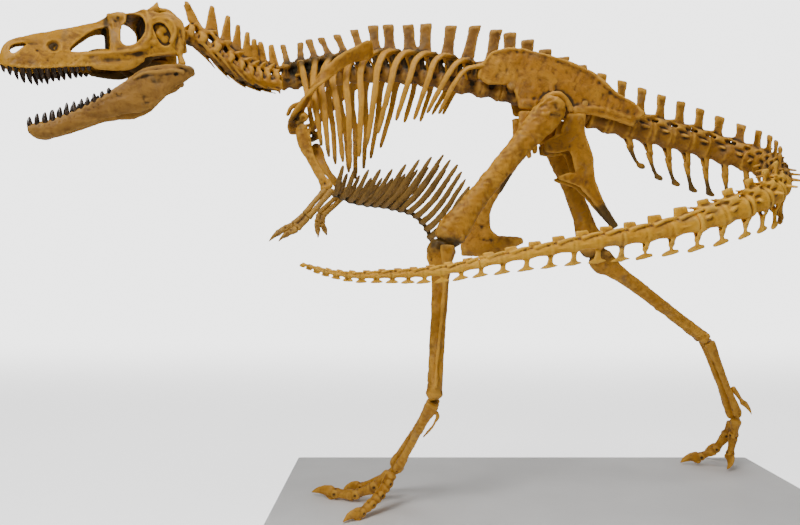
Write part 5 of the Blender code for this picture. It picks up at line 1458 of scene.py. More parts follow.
@dataclass
class Hips:
    """Hip vertebrae with tall spines, the long hip blades, and the two pairs of lower hip bones."""

    path: tuple[Point, ...] = ((-0.062, 0.0, 2.004), (0.17, 0.0, 1.943), (0.366, 0.0, 1.889))
    beyond: Point = (0.64, 0.0, 1.815)
    count: int = 5
    height: Rows = ((0, 0.3), (1, 0.29), (2, 0.265), (4, 0.235))
    spread: float = 0.068
    blade_top: Rows = ((-0.176, 2.09), (-0.17, 2.112), (-0.15, 2.14), (-0.112, 2.18), (-0.072, 2.192),
        (-0.032, 2.199), (0.034, 2.194), (0.132, 2.171), (0.25, 2.134), (0.349, 2.091), (0.4, 2.05),
        (0.462, 1.992), (0.51, 1.962), (0.556, 1.935), (0.58, 1.916), (0.592, 1.896))
    blade_low: Rows = ((-0.176, 2.052), (-0.15, 2.03), (-0.13, 2.022), (-0.08, 2.021), (-0.036, 2.022),
        (-0.012, 1.996), (0.004, 1.962), (0.008, 1.91), (0.05, 1.902), (0.112, 1.899), (0.12, 1.906),
        (0.14, 1.952), (0.158, 1.966), (0.175, 1.971), (0.212, 1.961), (0.24, 1.925), (0.255, 1.884),
        (0.34, 1.882), (0.4, 1.869), (0.452, 1.855), (0.51, 1.835), (0.551, 1.82), (0.575, 1.842),
        (0.592, 1.87))

    def vertebra(self, index: int, seat: Seat) -> list[Form]:
        """One hip vertebra with the two ribs that tie it to the blades.

        Args:
            index: its number, from the front.
            seat: where the vertebra sits.

        Returns:
            Its forms.
        """
        half = seat.length / 2
        made = [spool(seat, 0.046, 0.041, waist=0.84, rim=1.04)]
        made += arch(seat, 0.044, 0.03, 0.074, 0.0105, 0.008)
        rise = float(read(self.height, index)) - 0.004
        made += fin(seat.above(0.0, 0.0, 0.078), seat.above(0.002, 0.0, rise), AHEAD, (0.034, 0.027, 0.034),
            0.0085, 0.011, 0.003)
        for side in (1.0, -1.0):
            reach = seat.above(0.0, side * (self.spread + 0.006), 0.035)
            made.append(carry([(seat.spot(0.0, side * 0.02, 0.02), 0.026, 0.032),
                        (seat.above(0.0, side * 0.05, 0.028), 0.02, 0.024), (reach, 0.028, 0.034)], AHEAD))
            made.append(sheet([seat.above(-0.4 * half, side * 0.012, 0.06), seat.above(-0.4 * half,
                            side * 0.012, 0.096)], [seat.above(-0.4 * half, side * self.spread, 0.05),
                        seat.above(-0.4 * half, side * self.spread, 0.11)], 0.006, normal=AHEAD))
        return made

    def sacrum(self) -> None:
        """Casts the hip vertebrae."""
        casting = Casting("hip_vertebrae", ("sacrum",), rough=0.0008)
        for index, seat in enumerate(seats(Line(self.path, self.beyond), [1.0] * self.count)):
            casting.add(self.vertebra(index, seat))
            # Painted shade under the hip vertebrae, between the blades.
            casting.stains.append(Stain(tuple(seat.spot(0.0, 0.0, -0.01)), (0.05, 0.07, 0.05), 0.35))
        casting.pour(Bone.BACK.value)

    def blade(self, side: float, name: str) -> None:
        """Casts one hip blade: a plate with a thick rim, a socket, a crest over it and a ridge above.

        Args:
            side: -1 for the left, 1 for the right.
            name: left or right.
        """
        casting = Casting("hip_blade_" + name, ("ilium_" + name,), rough=0.001)
        x = np.concatenate((np.linspace(-0.1755, -0.15, 8), np.linspace(-0.145, 0.56, 90), np.linspace(0.564,
                    0.591, 8)))
        top, low = read(self.blade_top, x), read(self.blade_low, x)
        soft = np.array([1.0, 2.0, 3.0, 2.0, 1.0]) / 9.0
        top[2:-2] = np.convolve(top, soft, "valid")
        bow = side * (0.081 + 0.01 * np.clip((x - 0.34) / 0.25, 0.0,
                1.0) ** 2 - 0.004 * np.sin((x + 0.17) * 4.1))
        thick = 0.0145 + 0.0035 * np.exp(-((x - 0.13) / 0.1) ** 2)
        casting.add(sheet(np.column_stack((x, bow * 0.985, top)), np.column_stack((x, bow, low)), thick,
                normal=SIDEWAYS, fullness=0.42, sides=44))
        rim = np.linspace(-0.165, 0.555, 26)
        casting.add(carry([((at, side * (0.083 + 0.006 * float(at > 0.4)),
                        float(read(self.blade_top, at)) - 0.01), 0.012, 0.0085) for at in rim], SIDEWAYS))
        out = side * 0.094
        casting.add(carry([((0.118, out, 1.935), 0.012, 0.013), ((0.15, out + side * 0.01, 1.962), 0.016,
                        0.014), ((0.189, out + side * 0.014, 1.972), 0.019, 0.013),
                    ((0.232, out + side * 0.008, 1.944), 0.016, 0.013), ((0.256, out, 1.898), 0.012, 0.013)],
                SIDEWAYS))
        casting.add(carry([((0.03, out - side * 0.01, 1.935), 0.013, 0.03),
                    ((0.09, out - side * 0.01, 1.925), 0.014, 0.028)], SIDEWAYS),
            carry([((0.275, out - side * 0.006, 1.9), 0.015, 0.02), ((0.33, out - side * 0.01, 1.902), 0.01,
                        0.018)], SIDEWAYS))
        casting.add(carry([((0.168, out - side * 0.006, 1.99), 0.011, 0.016),
                    ((0.158, out - side * 0.008, 2.07), 0.008, 0.014), ((0.14, out - side * 0.012, 2.15),
                        0.0065, 0.012)], SIDEWAYS))
        casting.add(carry([((0.3, out - side * 0.008, 1.915), 0.01, 0.012), ((0.42, out - side * 0.004, 1.9),
                        0.0085, 0.01), ((0.54, out, 1.862), 0.0095, 0.014)], SIDEWAYS))
        casting.dents += [Dent((0.02, out, 2.1), (0.11, 0.05, 0.05), 0.0015), Dent((0.33, out, 2.01),
                (0.16, 0.05, 0.06), -0.004), Dent((-0.06, out, 2.06), (0.05, 0.04, 0.02), -0.002)]
        # Painted shade on the front foot of the blade and under the crest over the socket, and a dark patch at its
        # rear lower corner.
        casting.stains += [Stain((0.57, out, 1.84), (0.03, 0.05, 0.03), 0.5), Stain((0.05, out, 1.915),
                (0.05, 0.05, 0.025), 0.35), Stain((0.2, out, 1.95), (0.05, 0.012, 0.012), 0.2)]
        casting.pour(Bone.HIP.value)

    def rear_bone(self, side: float, name: str) -> None:
        """Casts one rear hip bone: a forked head, a plate with a flange and a tapering rod.

        Args:
            side: 1 for the left side, -1 for the right.
            name: "left" or "right".
        """
        def across(z: float) -> float:
            """How far the bone stands from the middle plane at a height."""
            return side * (0.012 + (z - 1.335) / 0.541 * 0.07)

        def row(*points: tuple[float, float]) -> list[Point]:
            """Points of an edge from their x and z."""
            return [(x, across(z), z) for x, z in points]

        casting = Casting("rear_hip_bone_" + name, ("ischium_" + name,), voxel=0.95, rough=0.0008)
        casting.add(sheet(row((0.236, 1.872), (0.214, 1.8), (0.238, 1.74), (0.266, 1.69), (0.286, 1.62),
                    (0.31, 1.545), (0.345, 1.505), (0.48, 1.344)), row((0.33, 1.872), (0.33, 1.8),
                    (0.352, 1.74), (0.372, 1.69), (0.38, 1.63), (0.388, 1.572), (0.43, 1.48),
                    (0.506, 1.362)), (0.015, 0.0125, 0.011, 0.01, 0.0095, 0.009, 0.0085, 0.007),
                normal=SIDEWAYS))
        casting.add(sheet(row((0.232, 1.8), (0.175, 1.778), (0.146, 1.762)), row((0.256, 1.712),
                    (0.2, 1.702), (0.15, 1.704)), (0.01, 0.01, 0.0125), normal=SIDEWAYS))
        casting.add(sheet(row((0.32, 1.6), (0.262, 1.612), (0.208, 1.592)), row((0.338, 1.528),
                    (0.282, 1.552), (0.214, 1.575)), (0.008, 0.005, 0.005), normal=SIDEWAYS))
        casting.add(carry([((0.29, across(1.868), 1.866), 0.036, 0.015), ((0.276, across(1.82), 1.83), 0.026,
                        0.013)], AHEAD), carry([((0.148, across(1.73), 1.75), 0.015, 0.012),
                    ((0.152, across(1.7), 1.712), 0.014, 0.012)], SIDEWAYS),
            carry([((0.482, across(1.36), 1.366), 0.016, 0.009), ((0.494, across(1.345), 1.352), 0.014,
                        0.009)], AHEAD))
        casting.stains.append(Stain((0.455, across(1.38), 1.4), (0.075, 0.03, 0.105), 0.95))
        casting.stains.append(Stain((0.15, across(1.73), 1.73), (0.03, 0.03, 0.04), 0.4))
        casting.pour(Bone.OCHRE.value)

    def front_bone(self) -> None:
        """Casts the joined front hip bones: two shafts that meet in a plate and a long keeled boot."""
        casting = Casting("front_hip_bone", ("pubis",), rough=0.0011)
        for side in (1.0, -1.0):
            casting.add(carry([((0.06, side * 0.082, 1.888), 0.053, 0.015), ((0.058, side * 0.084, 1.84),
                            0.048, 0.0155), ((0.05, side * 0.083, 1.79), 0.044, 0.015),
                        ((0.012, side * 0.066, 1.7), 0.028, 0.0155), ((-0.052, side * 0.044, 1.58), 0.0235,
                            0.0165), ((-0.122, side * 0.022, 1.47), 0.0265, 0.0175),
                        ((-0.16, side * 0.013, 1.37), 0.034, 0.015)], AHEAD))
            casting.add(sheet([(0.07, side * 0.078, 1.76), (0.08, side * 0.07, 1.7)],
                    [(0.098, side * 0.076, 1.752), (0.104, side * 0.07, 1.712)], 0.01, normal=SIDEWAYS))
        casting.add(sheet([(-0.02, -0.046, 1.62), (-0.09, -0.026, 1.5), (-0.15, -0.012, 1.39)],
                [(-0.02, 0.046, 1.62), (-0.09, 0.026, 1.5), (-0.15, 0.012, 1.39)], 0.007, normal=AHEAD))
        casting.add(sheet([(-0.186, 0.0, 1.425), (-0.222, 0.0, 1.37), (-0.248, 0.0, 1.315),
                    (-0.258, 0.0, 1.262), (-0.254, 0.0, 1.228)], [(-0.112, 0.0, 1.405), (-0.106, 0.0, 1.34),
                    (-0.06, 0.0, 1.3), (-0.03, 0.0, 1.255), (-0.06, 0.0, 1.224)], (0.017, 0.02, 0.025, 0.027,
                    0.02), normal=SIDEWAYS, fullness=0.6))
        casting.add(carry([((-0.236, 0.0, 1.246), 0.022, 0.03), ((-0.15, 0.0, 1.262), 0.027, 0.044),
                    ((-0.06, 0.0, 1.27), 0.025, 0.042), ((0.01, 0.0, 1.28), 0.024, 0.024),
                    ((0.04, 0.0, 1.284), 0.018, 0.016)], SIDEWAYS, power=2.3))
        casting.add(carry([((-0.02, 0.0, 1.3), 0.014, 0.01), ((0.035, 0.0, 1.294), 0.016, 0.01)], SIDEWAYS))
        casting.dents += [Dent((-0.12, side * 0.03, 1.29), (0.07, 0.03, 0.02), 0.005) for side in (1.0,
                -1.0)]
        casting.stains += [Stain((-0.045, side * 0.045, 1.575), (0.05, 0.03, 0.08), 0.95) for side in (1.0,
                -1.0)]
        # Painted shade at the top of each shaft, under the hip blade.
        casting.stains += [Stain((0.06, side * 0.085, 1.86), (0.06, 0.03, 0.03), 0.3) for side in (1.0,
                -1.0)]
        casting.pour(Bone.HIP.value)

    def build(self) -> None:
        """Casts all the hip bones."""
        self.sacrum()
        for side, name in ((-1.0, "left"), (1.0, "right")):
            self.blade(side, name)
            self.rear_bone(side, name)
        self.front_bone()


def phalanx(start: Array, end: Array, side: Array, size: float, last: float,
        waist: float = 0.7) -> list[Form]:
    """A short bone of a toe or finger: a cupped base, a waist and a grooved roller of two knobs.

    Args:
        start: its near end.
        end: its far end.
        side: direction of its breadth.
        size: half breadth at the base.
        last: half breadth at the far end.
        waist: waist as a share of the base.

    Returns:
        Closed forms.
    """
    reach = end - start
    axis = unit(reach)
    flat = unit(side - axis * np.dot(side, axis))
    made = [carry([(start + axis * size * 0.2, size * 0.92, size * 0.86), (start + reach * 0.18, size * 0.9,
                    size * 0.8), (start + reach * 0.5, size * waist, size * waist * 0.95),
                (start + reach * 0.82, last * 0.84, last * 0.72), (end - axis * last * 0.75, last * 0.86,
                    last * 0.8)], flat, power=2.3, sides=22, spacing=0.004)]
    for turn in (1.0, -1.0):
        made.append(ball(end - axis * last * 0.62 + flat * turn * last * 0.52, (last * 0.48, last * 0.8,
                    last * 0.8), np.stack((flat, axis, np.cross(flat, axis)))))
    return made


def claw(start: Array, tip: Array, side: Array, size: float, hook: float) -> list[Form]:
    """A curved claw: deep at its base, oval in section, running out to a point.

    Args:
        start: its base.
        tip: its point.
        side: direction of its breadth.
        size: half breadth at the base.
        hook: how far its back bows out, in metres.

    Returns:
        Closed forms.
    """
    reach = tip - start
    axis = unit(reach)
    flat = unit(side - axis * np.dot(side, axis))
    bow = np.cross(flat, axis)
    bow = bow if bow[2] > 0 else -bow
    stations = [(start + reach * share + bow * hook * lift, size * wide, size * deep)
        for share, lift, wide, deep in ((0.02, 0.0, 0.86, 1.12), (0.12, 0.45, 0.84, 1.3), (0.3, 0.95, 0.7,
                1.05), (0.55, 1.0, 0.52, 0.78), (0.8, 0.62, 0.34, 0.48), (1.0, 0.0, 0.12, 0.14))]
    return [carry(stations, flat, power=1.8, sides=20, spacing=0.003),
        ball(start + axis * size * 0.3 - bow * size * 0.75, (size * 0.8, size * 0.7, size * 0.55),
            np.stack((flat, axis, bow)))]


@dataclass
class Digit:
    """A clawed toe or finger along a few joints."""

    name: str
    node: str
    joints: tuple[Point, ...]
    size: float
    bones: int
    share: float = 0.74
    slack: float = 0.2
    hook: float = 0.012
    flat: Optional[Point] = None
    voxel: float = 0.72
    finish: Bone = Bone.OCHRE
    # Strength of the painted shade at each joint.
    soot: float = 0.35
    waist: float = 0.7

    def build(self) -> None:
        """Casts the digit: its bones in a row, each a little smaller, and the claw."""
        line = Line(self.joints)
        side = np.array(self.flat) if self.flat else unit(np.cross(UP, line.heading(line.length * 0.5)))
        casting = Casting(self.name, (self.node,), voxel=self.voxel, rough=0.0006)
        steps = np.linspace(0.0, self.share, self.bones + 1)
        for number, (low, high) in enumerate(zip(steps, steps[1:])):
            size = self.size * (1.0 - self.slack * number / self.bones)
            last = self.size * (1.0 - self.slack * (number + 1) / self.bones)
            casting.add(phalanx(line.at(line.length * low), line.at(line.length * high), side, size, last,
                    self.waist))
            # Painted shade at the joint.
            casting.stains.append(Stain(tuple(line.at(line.length * high)), (self.size * 0.9,) * 3,
                    self.soot))
            if self.size > 0.02:
                ahead = line.heading(line.length * high)
                flat = unit(side - ahead * np.dot(side, ahead))
                for turn in (1.0, -1.0):
                    pit = line.at(line.length * high) - ahead * last * 0.62 + flat * turn * last * 1.04
                    casting.dents.append(Dent(tuple(pit), (last * 0.36,) * 3, last * 0.26))
                    # Painted shade in the pit.
                    casting.stains.append(Stain(tuple(pit), (last * 0.42,) * 3, 0.4))
        casting.add(claw(line.at(line.length * self.share), line.at(line.length), side, self.size * 0.74,
                self.hook))
        casting.pour(self.finish.value)


@dataclass
class Arm:
    """One short arm: shoulder blade, upper arm, two forearm bones, palm and two clawed fingers."""

    name: str
    side: float
    shoulder: Point
    elbow: Point
    wrist: Point
    knuckle: Point
    tips: tuple[Point, Point]

    def blade(self) -> None:
        """Casts the shoulder blade and the rounded bone that it is joined to."""
        side = self.side
        casting = Casting("shoulder_blade_" + self.name, ("scapula_" + self.name,), rough=0.0009)
        casting.add(carry([((x, side * y, z), wide, thin) for x, y, z, wide, thin in ((-0.676, 0.196, 2.157,
                        0.039, 0.007), (-0.69, 0.204, 2.15, 0.043, 0.008), (-0.72, 0.214, 2.136, 0.04,
                        0.0085), (-0.79, 0.238, 2.098, 0.031, 0.0095), (-0.866, 0.25, 2.04, 0.0275, 0.01),
                        (-0.938, 0.245, 1.962, 0.032, 0.012), (-0.99, 0.226, 1.895, 0.047, 0.0145),
                        (-1.022, 0.196, 1.848, 0.057, 0.012), (-1.034, 0.146, 1.812, 0.049, 0.0095),
                        (-1.03, 0.098, 1.802, 0.027, 0.008))], (0.6, 0.0, 0.8), power=2.5, sides=30))
        casting.add(carry([((-1.0, side * 0.236, 1.9), 0.01, 0.008), ((-1.045, side * 0.212, 1.882), 0.014,
                        0.01), ((-1.064, side * 0.19, 1.856), 0.012, 0.009)], SIDEWAYS))
        casting.add(ball((-0.985, side * 0.226, 1.838), (0.022, 0.018, 0.024)),
            ball((-1.005, side * 0.215, 1.815), (0.022, 0.016, 0.014)))
        casting.add(carry([((-0.72, side * 0.22, 2.15), 0.006, 0.006), ((-0.83, side * 0.25, 2.082), 0.007,
                        0.006), ((-0.93, side * 0.254, 1.985), 0.009, 0.007)], UP))
        casting.dents += [Dent((-0.985, side * 0.245, 1.826), (0.02, 0.03, 0.016), 0.01),
            Dent((-1.03, side * 0.205, 1.845), (0.009, 0.03, 0.009), 0.009),
            Dent((-0.965, side * 0.25, 1.925), (0.03, 0.04, 0.03), 0.004)]
        # Painted shade at the shoulder socket, where the upper arm sits.
        casting.stains += [Stain((-1.02, side * 0.21, 1.815), (0.055, 0.06, 0.045), 0.55)]
        casting.pour(Bone.OCHRE.value)

    def upper(self) -> None:
        """Casts the upper arm: a rounded head, a long crest, a bowed shaft and two condyles."""
        start, end = np.array(self.shoulder), np.array(self.elbow)
        reach = end - start
        casting = Casting("upper_arm_" + self.name, ("humerus_" + self.name,), voxel=0.85, rough=0.0009)
        bow = np.array((-0.014, 0.0, -0.006))
        casting.add(carry([(start + reach * share + bow * lift, wide, deep)
                    for share, lift, wide, deep in ((0.02, 0.0, 0.025, 0.0165), (0.09, 0.2, 0.031, 0.018),
                        (0.18, 0.6, 0.032, 0.0165), (0.3, 1.0, 0.029, 0.015), (0.42, 1.0, 0.023, 0.0145),
                        (0.58, 0.9, 0.019, 0.0145), (0.8, 0.3, 0.0185, 0.015), (0.92, 0.0, 0.027, 0.0165),
                        (0.975, 0.0, 0.027, 0.016))], (1.0, 0.0, 0.4), power=2.2))
        casting.add(sheet([start + reach * 0.12 + (-0.026, 0.0, -0.004), start + reach * 0.3 + (-0.038, 0.0,
                        -0.012), start + reach * 0.42 + (-0.034, 0.0, -0.008)], [start + reach * 0.12,
                    start + reach * 0.3, start + reach * 0.44], 0.009))
        casting.add(ball(start + reach * 0.02 + (0.006, 0.0, 0.0), (0.024, 0.019, 0.018)))
        for turn in (-0.013, 0.014):
            casting.add(ball(end - reach * 0.05 + (turn, 0.0, turn * 0.4), (0.0155, 0.0175, 0.0155)))
        casting.dents.append(Dent(tuple(end - reach * 0.1 + (0.0, self.side * 0.018, 0.0)),
                (0.012, 0.014, 0.02), 0.005))
        # Painted shade at the shoulder and elbow joints.
        casting.stains += [Stain(tuple(start), (0.04, 0.04, 0.03), 0.45), Stain(tuple(end),
                (0.04, 0.04, 0.03), 0.35)]
        casting.pour(Bone.OCHRE.value)

    def lower(self) -> None:
        """Casts the two forearm bones, the palm and the fingers."""
        elbow, wrist, knuckle = (np.array(point) for point in (self.elbow, self.wrist, self.knuckle))
        hinge = unit(unit(elbow - np.array(self.shoulder)) + unit(wrist - elbow))
        cuff = unit(unit(wrist - elbow) + unit(knuckle - wrist))
        edge = np.array((0.8, 0.0, -0.6))
        edge = unit(edge - hinge * edge.dot(hinge))
        for bone, shift, size in (("radius", -0.0135, 0.015), ("ulna", 0.014, 0.0168)):
            start = elbow + hinge * 0.002 + edge * shift
            end = wrist - cuff * 0.002 + unit(edge - cuff * edge.dot(cuff)) * shift * 0.9
            middle = (start + end) / 2 + edge * shift * 0.1
            casting = Casting("forearm_%s_%s" % (bone, self.name), ("%s_%s" % (bone, self.name),),
                voxel=0.65, rough=0.0006)
            casting.add(carry([(start, size * 1.02, size * 1.1), (start * 0.8 + middle * 0.2, size * 0.98,
                            size * 1.0), (start * 0.5 + middle * 0.5, size * 0.86, size * 0.86),
                        (middle, size * 0.8, size * 0.8), (middle * 0.3 + end * 0.7, size * 0.78,
                            size * 0.78), (end, size * 0.95, size * 0.95)], edge))
            if bone == "ulna":
                casting.add(ball(start + edge * 0.004, (0.013, 0.0125, 0.0115)))
            # Painted shade at the wrist.
            casting.stains.append(Stain(tuple(end), (0.02, 0.02, 0.02), 0.4))
            casting.pour(Bone.GREY.value)
        palm = knuckle - wrist
        axis = unit(palm)
        turn = unit(edge - axis * edge.dot(axis))
        casting = Casting("palm_" + self.name, ("hand_" + self.name,), voxel=0.65, rough=0.0006)
        for place, size in ((-0.013, 0.015), (0.013, 0.0158)):
            casting.add(phalanx(wrist + cuff * 0.008 + turn * place * 0.9,
                    knuckle - axis * 0.001 + turn * place, turn, size, size * 0.98, 0.84))
        for place in (-0.014, 0.0, 0.013):
            casting.add(ball(wrist + cuff * 0.006 + turn * place, (0.0105, 0.0095, 0.008)))
        # Painted shade at the wrist.
        casting.stains.append(Stain(tuple(wrist), (0.02, 0.02, 0.02), 0.5))
        casting.pour(Bone.GREY.value)
        for number, shift, tip in ((1, -0.0125, self.tips[0]), (2, 0.0125, self.tips[1])):
            start = knuckle + axis * 0.002 + turn * shift
            reach = np.array(tip) - start
            lift = UP * float(np.linalg.norm(reach)) * 0.06
            joints = tuple(tuple(start + reach * share + lift * rise) for share, rise in ((0.0, 0.0),
                    (0.22, 1.0), (0.44, 1.4), (0.62, 1.5), (1.0, 0.0)))
            Digit("finger_%d_%s_bones" % (number, self.name), "finger_%d_%s" % (number, self.name), joints,
                0.0162, 2, share=0.6, slack=0.1, hook=0.009, flat=tuple(turn), voxel=0.62, finish=Bone.GREY,
                waist=0.84).build()

    def build(self) -> None:
        """Casts the arm."""
        self.blade()
        self.upper()
        self.lower()


@dataclass
class Leg:
    """One hind leg down to the long foot bones."""

    name: str
    hip: Point
    knee: Point
    ankle: Point
    ball: Point
    forward: Point
    bow: float
    dewclaw: tuple[Point, ...]
    toes: tuple[Digit, ...]

    def directions(self, start: Array, end: Array) -> tuple[Array, Array, Array]:
        """Downward, outward and forward directions of a limb bone.

        Args:
            start: upper end.
            end: lower end.

        Returns:
            Three unit vectors.
        """
        down = unit(end - start)
        out = np.array((0.0, -1.0 if self.name == "left" else 1.0, 0.0))
        out = unit(out - down * out.dot(down))
        fore = np.cross(out, down)
        return down, out, fore if fore.dot(self.forward) > 0 else -fore

    def thigh(self) -> None:
        """Casts the thigh bone: head, trochanters, bowed shaft, groove and condyles."""
        hip, knee = np.array(self.hip), np.array(self.knee)
        down, out, fore = self.directions(hip, knee)
        reach = knee - hip
        bow = unit(self.forward) * self.bow
        sign = -1.0 if self.name == "left" else 1.0
        casting = Casting("thigh_" + self.name, ("femur_" + self.name,), voxel=1.2, rough=0.0013)
        casting.add(carry([(hip + reach * share + bow * lift + UP * rise, wide, deep)
                    for share, lift, rise, wide, deep in ((0.0, 0.0, 0.022, 0.028, 0.05), (0.03, 0.0, 0.0,
                        0.035, 0.068), (0.1, 0.1, 0.0, 0.035, 0.07), (0.2, 0.4, 0.0, 0.037, 0.061),
                        (0.34, 0.7, 0.0, 0.036, 0.052), (0.5, 0.9, 0.0, 0.0355, 0.047), (0.66, 0.8, 0.0,
                        0.037, 0.048), (0.78, 0.5, 0.0, 0.044, 0.055), (0.87, 0.2, 0.0, 0.055, 0.066),
                        (0.935, 0.0, 0.0, 0.06, 0.07), (0.965, 0.0, 0.0, 0.054, 0.062))], out, power=2.2,
                sides=32))
        socket = np.array((0.178, sign * 0.1, 1.922))
        casting.add(carry([(hip + reach * 0.05, 0.034, 0.04), ((hip + reach * 0.03) * 0.5 + socket * 0.5,
                        0.03, 0.032), (socket, 0.034, 0.036)], down), ball(socket, (0.034, 0.026, 0.036)))
        casting.add(carry([(hip + out * 0.014 - fore * 0.03 - down * 0.004, 0.02, 0.024),
                    (hip + out * 0.018 + fore * 0.012 - down * 0.01, 0.022, 0.024)], out))
        casting.add(sheet([hip + fore * 0.034 + out * 0.02 + down * 0.01,
                    hip + fore * 0.046 + out * 0.02 + down * 0.08,
                    hip + fore * 0.034 + out * 0.014 + down * 0.15],
                [hip + fore * 0.052 + out * 0.024 + down * 0.004,
                    hip + fore * 0.062 + out * 0.022 + down * 0.07,
                    hip + fore * 0.042 + out * 0.014 + down * 0.14], 0.01))
        casting.add(sheet([hip + reach * 0.3 - fore * 0.03 - out * 0.02,
                    hip + reach * 0.46 - fore * 0.03 - out * 0.018],
                [hip + reach * 0.32 - fore * 0.048 - out * 0.026,
                    hip + reach * 0.44 - fore * 0.046 - out * 0.024], 0.009))
        rear = knee - down * 0.052
        for turn, size in ((0.03, 0.036), (-0.032, 0.038)):
            casting.add(carry([(rear + out * turn + fore * 0.034, size * 0.62, 0.024),
                        (rear + out * turn - fore * 0.012 + down * 0.006, size * 0.84, 0.038),
                        (rear + out * turn - fore * 0.046 - down * 0.006, size * 0.66, 0.03)], out))
        casting.add(ball(rear + out * 0.04 - fore * 0.05 - down * 0.004, (0.018, 0.02, 0.022)))
        casting.dents += [Dent(tuple(rear + fore * 0.062 + down * 0.01), (0.03, 0.024, 0.06), 0.016),
            Dent(tuple(rear - fore * 0.075), (0.024, 0.022, 0.06), 0.018),
            Dent(tuple(rear + out * 0.062 + fore * 0.004), (0.03, 0.022, 0.04), 0.005),
            Dent(tuple(hip + out * 0.04 - fore * 0.006 + down * 0.02), (0.022, 0.024, 0.022), 0.006)]
        rng = np.random.default_rng(5)
        for _ in range(26):
            place = hip + out * 0.034 + fore * rng.uniform(-0.05, 0.05) + down * rng.uniform(-0.03, 0.1)
            casting.dents.append(Dent(tuple(place), tuple(rng.uniform(0.006, 0.014, 3)), rng.uniform(-0.003,
                        0.0035)))
        for _ in range(22):
            place = hip + reach * rng.uniform(0.15, 0.85) + out * 0.035 + fore * rng.uniform(-0.03, 0.03)
            casting.dents.append(Dent(tuple(place), tuple(rng.uniform(0.008, 0.022, 3)), rng.uniform(-0.0015,
                        0.0024)))
        # Painted shade at the knee, between its condyles and under the head by the hip.
        casting.stains += [Stain(tuple(knee), (0.09, 0.09, 0.034), 0.65), Stain(tuple(rear - fore * 0.05),
                (0.045, 0.06, 0.05), 0.45), Stain(tuple(hip - fore * 0.02 + down * 0.03), (0.05, 0.07, 0.06),
                0.42)]
        casting.pour(Bone.SHAFT.value)

    def shin(self) -> None:
        """Casts the shin bone with its front crest and ankle rollers, and the splint beside it."""
        knee, ankle = np.array(self.knee), np.array(self.ankle)
        down, out, fore = self.directions(knee, ankle)
        reach = ankle - knee
        inset = -out * 0.012
        casting = Casting("shin_" + self.name, ("tibia_" + self.name,), rough=0.001)
        casting.add(carry([(knee + reach * share + inset * lean + fore * 0.004 * rise, wide, deep)
                    for share, lean, rise, wide, deep in ((0.018, 1.0, 0.0, 0.046, 0.058), (0.05, 1.0, 1.0,
                        0.045, 0.066), (0.09, 1.0, 1.0, 0.038, 0.058), (0.15, 1.0, 1.0, 0.031, 0.048),
                        (0.22, 1.0, 0.6, 0.0285, 0.041), (0.34, 1.0, 0.0, 0.027, 0.0365), (0.6, 0.6, 0.0,
                        0.0265, 0.0335), (0.76, 0.4, 0.0, 0.029, 0.033), (0.86, 0.2, 0.0, 0.039, 0.033),
                        (0.925, 0.0, 0.0, 0.049, 0.033), (0.955, 0.0, 0.0, 0.05, 0.038))], out, power=2.2,
                sides=30))
        top = knee + down * 0.022
        for turn in (0.02, -0.036):
            casting.add(ball(top + out * turn - fore * 0.03 + down * 0.01, (0.026, 0.026, 0.018)))
        casting.add(sheet([top + fore * 0.04 + down * 0.0, top + fore * 0.05 + down * 0.05,
                    top + fore * 0.03 + down * 0.12], [top + fore * 0.066 + down * 0.012,
                    top + fore * 0.068 + down * 0.048, top + fore * 0.036 + down * 0.115], (0.014, 0.012,
                    0.01), normal=out))
        for turn, size in ((-0.028, 0.03), (0.022, 0.027)):
            casting.add(carry([(ankle - down * 0.036 + out * turn - fore * 0.014, size * 0.8, 0.026),
                        (ankle - down * 0.03 + out * turn + fore * 0.018, size * 0.8, 0.026)], out))
        casting.add(sheet([ankle - down * 0.16 + out * 0.004, ankle - down * 0.05 - out * 0.04],
                [ankle - down * 0.16 + out * 0.012, ankle - down * 0.05 + out * 0.04], 0.006, normal=fore))
        casting.dents += [Dent(tuple(ankle - down * 0.03 - out * 0.003 + fore * 0.046), (0.02, 0.02, 0.05),
                0.012), Dent(tuple(ankle - down * 0.075 + fore * 0.036), (0.04, 0.03, 0.01), 0.004),
            Dent(tuple(top + out * 0.04 + fore * 0.012), (0.024, 0.022, 0.04), 0.008)]
        # Painted shade at the knee and the ankle, and a thin dark band across the shaft.
        casting.stains += [Stain(tuple(knee), (0.085, 0.085, 0.055), 0.75), Stain(tuple(ankle),
                (0.07, 0.07, 0.035), 0.35), Stain(tuple(knee + reach * 0.66), (0.06, 0.06, 0.014), 0.28)]
        casting.pour(Bone.SHAFT.value)
        splint = Casting("splint_bone_" + self.name, ("fibula_" + self.name,), voxel=0.8, rough=0.0007)
        rear = -fore * 0.016
        splint.add(carry([(knee + reach * share + out * aside + rear * back, wide, deep)
                    for share, aside, back, wide, deep in ((0.026, 0.052, 1.0, 0.0125, 0.032),
                        (0.06, 0.05, 1.0, 0.0115, 0.028), (0.12, 0.047, 1.0, 0.0095, 0.019),
                        (0.2, 0.042, 1.0, 0.0078, 0.012), (0.32, 0.039, 0.9, 0.007, 0.0095), (0.55, 0.037,
                        0.5, 0.0064, 0.0078), (0.8, 0.044, 0.0, 0.006, 0.007), (0.905, 0.062, 0.0, 0.007,
                        0.0105))], out))
        splint.dents.append(Dent(tuple(knee + reach * 0.33 + out * 0.05 - fore * 0.02), (0.012, 0.02, 0.012),
                0.002))
        # Painted shade at the knee.
        splint.stains.append(Stain(tuple(knee), (0.085, 0.085, 0.055), 0.6))
        splint.pour(Bone.SHAFT.value)

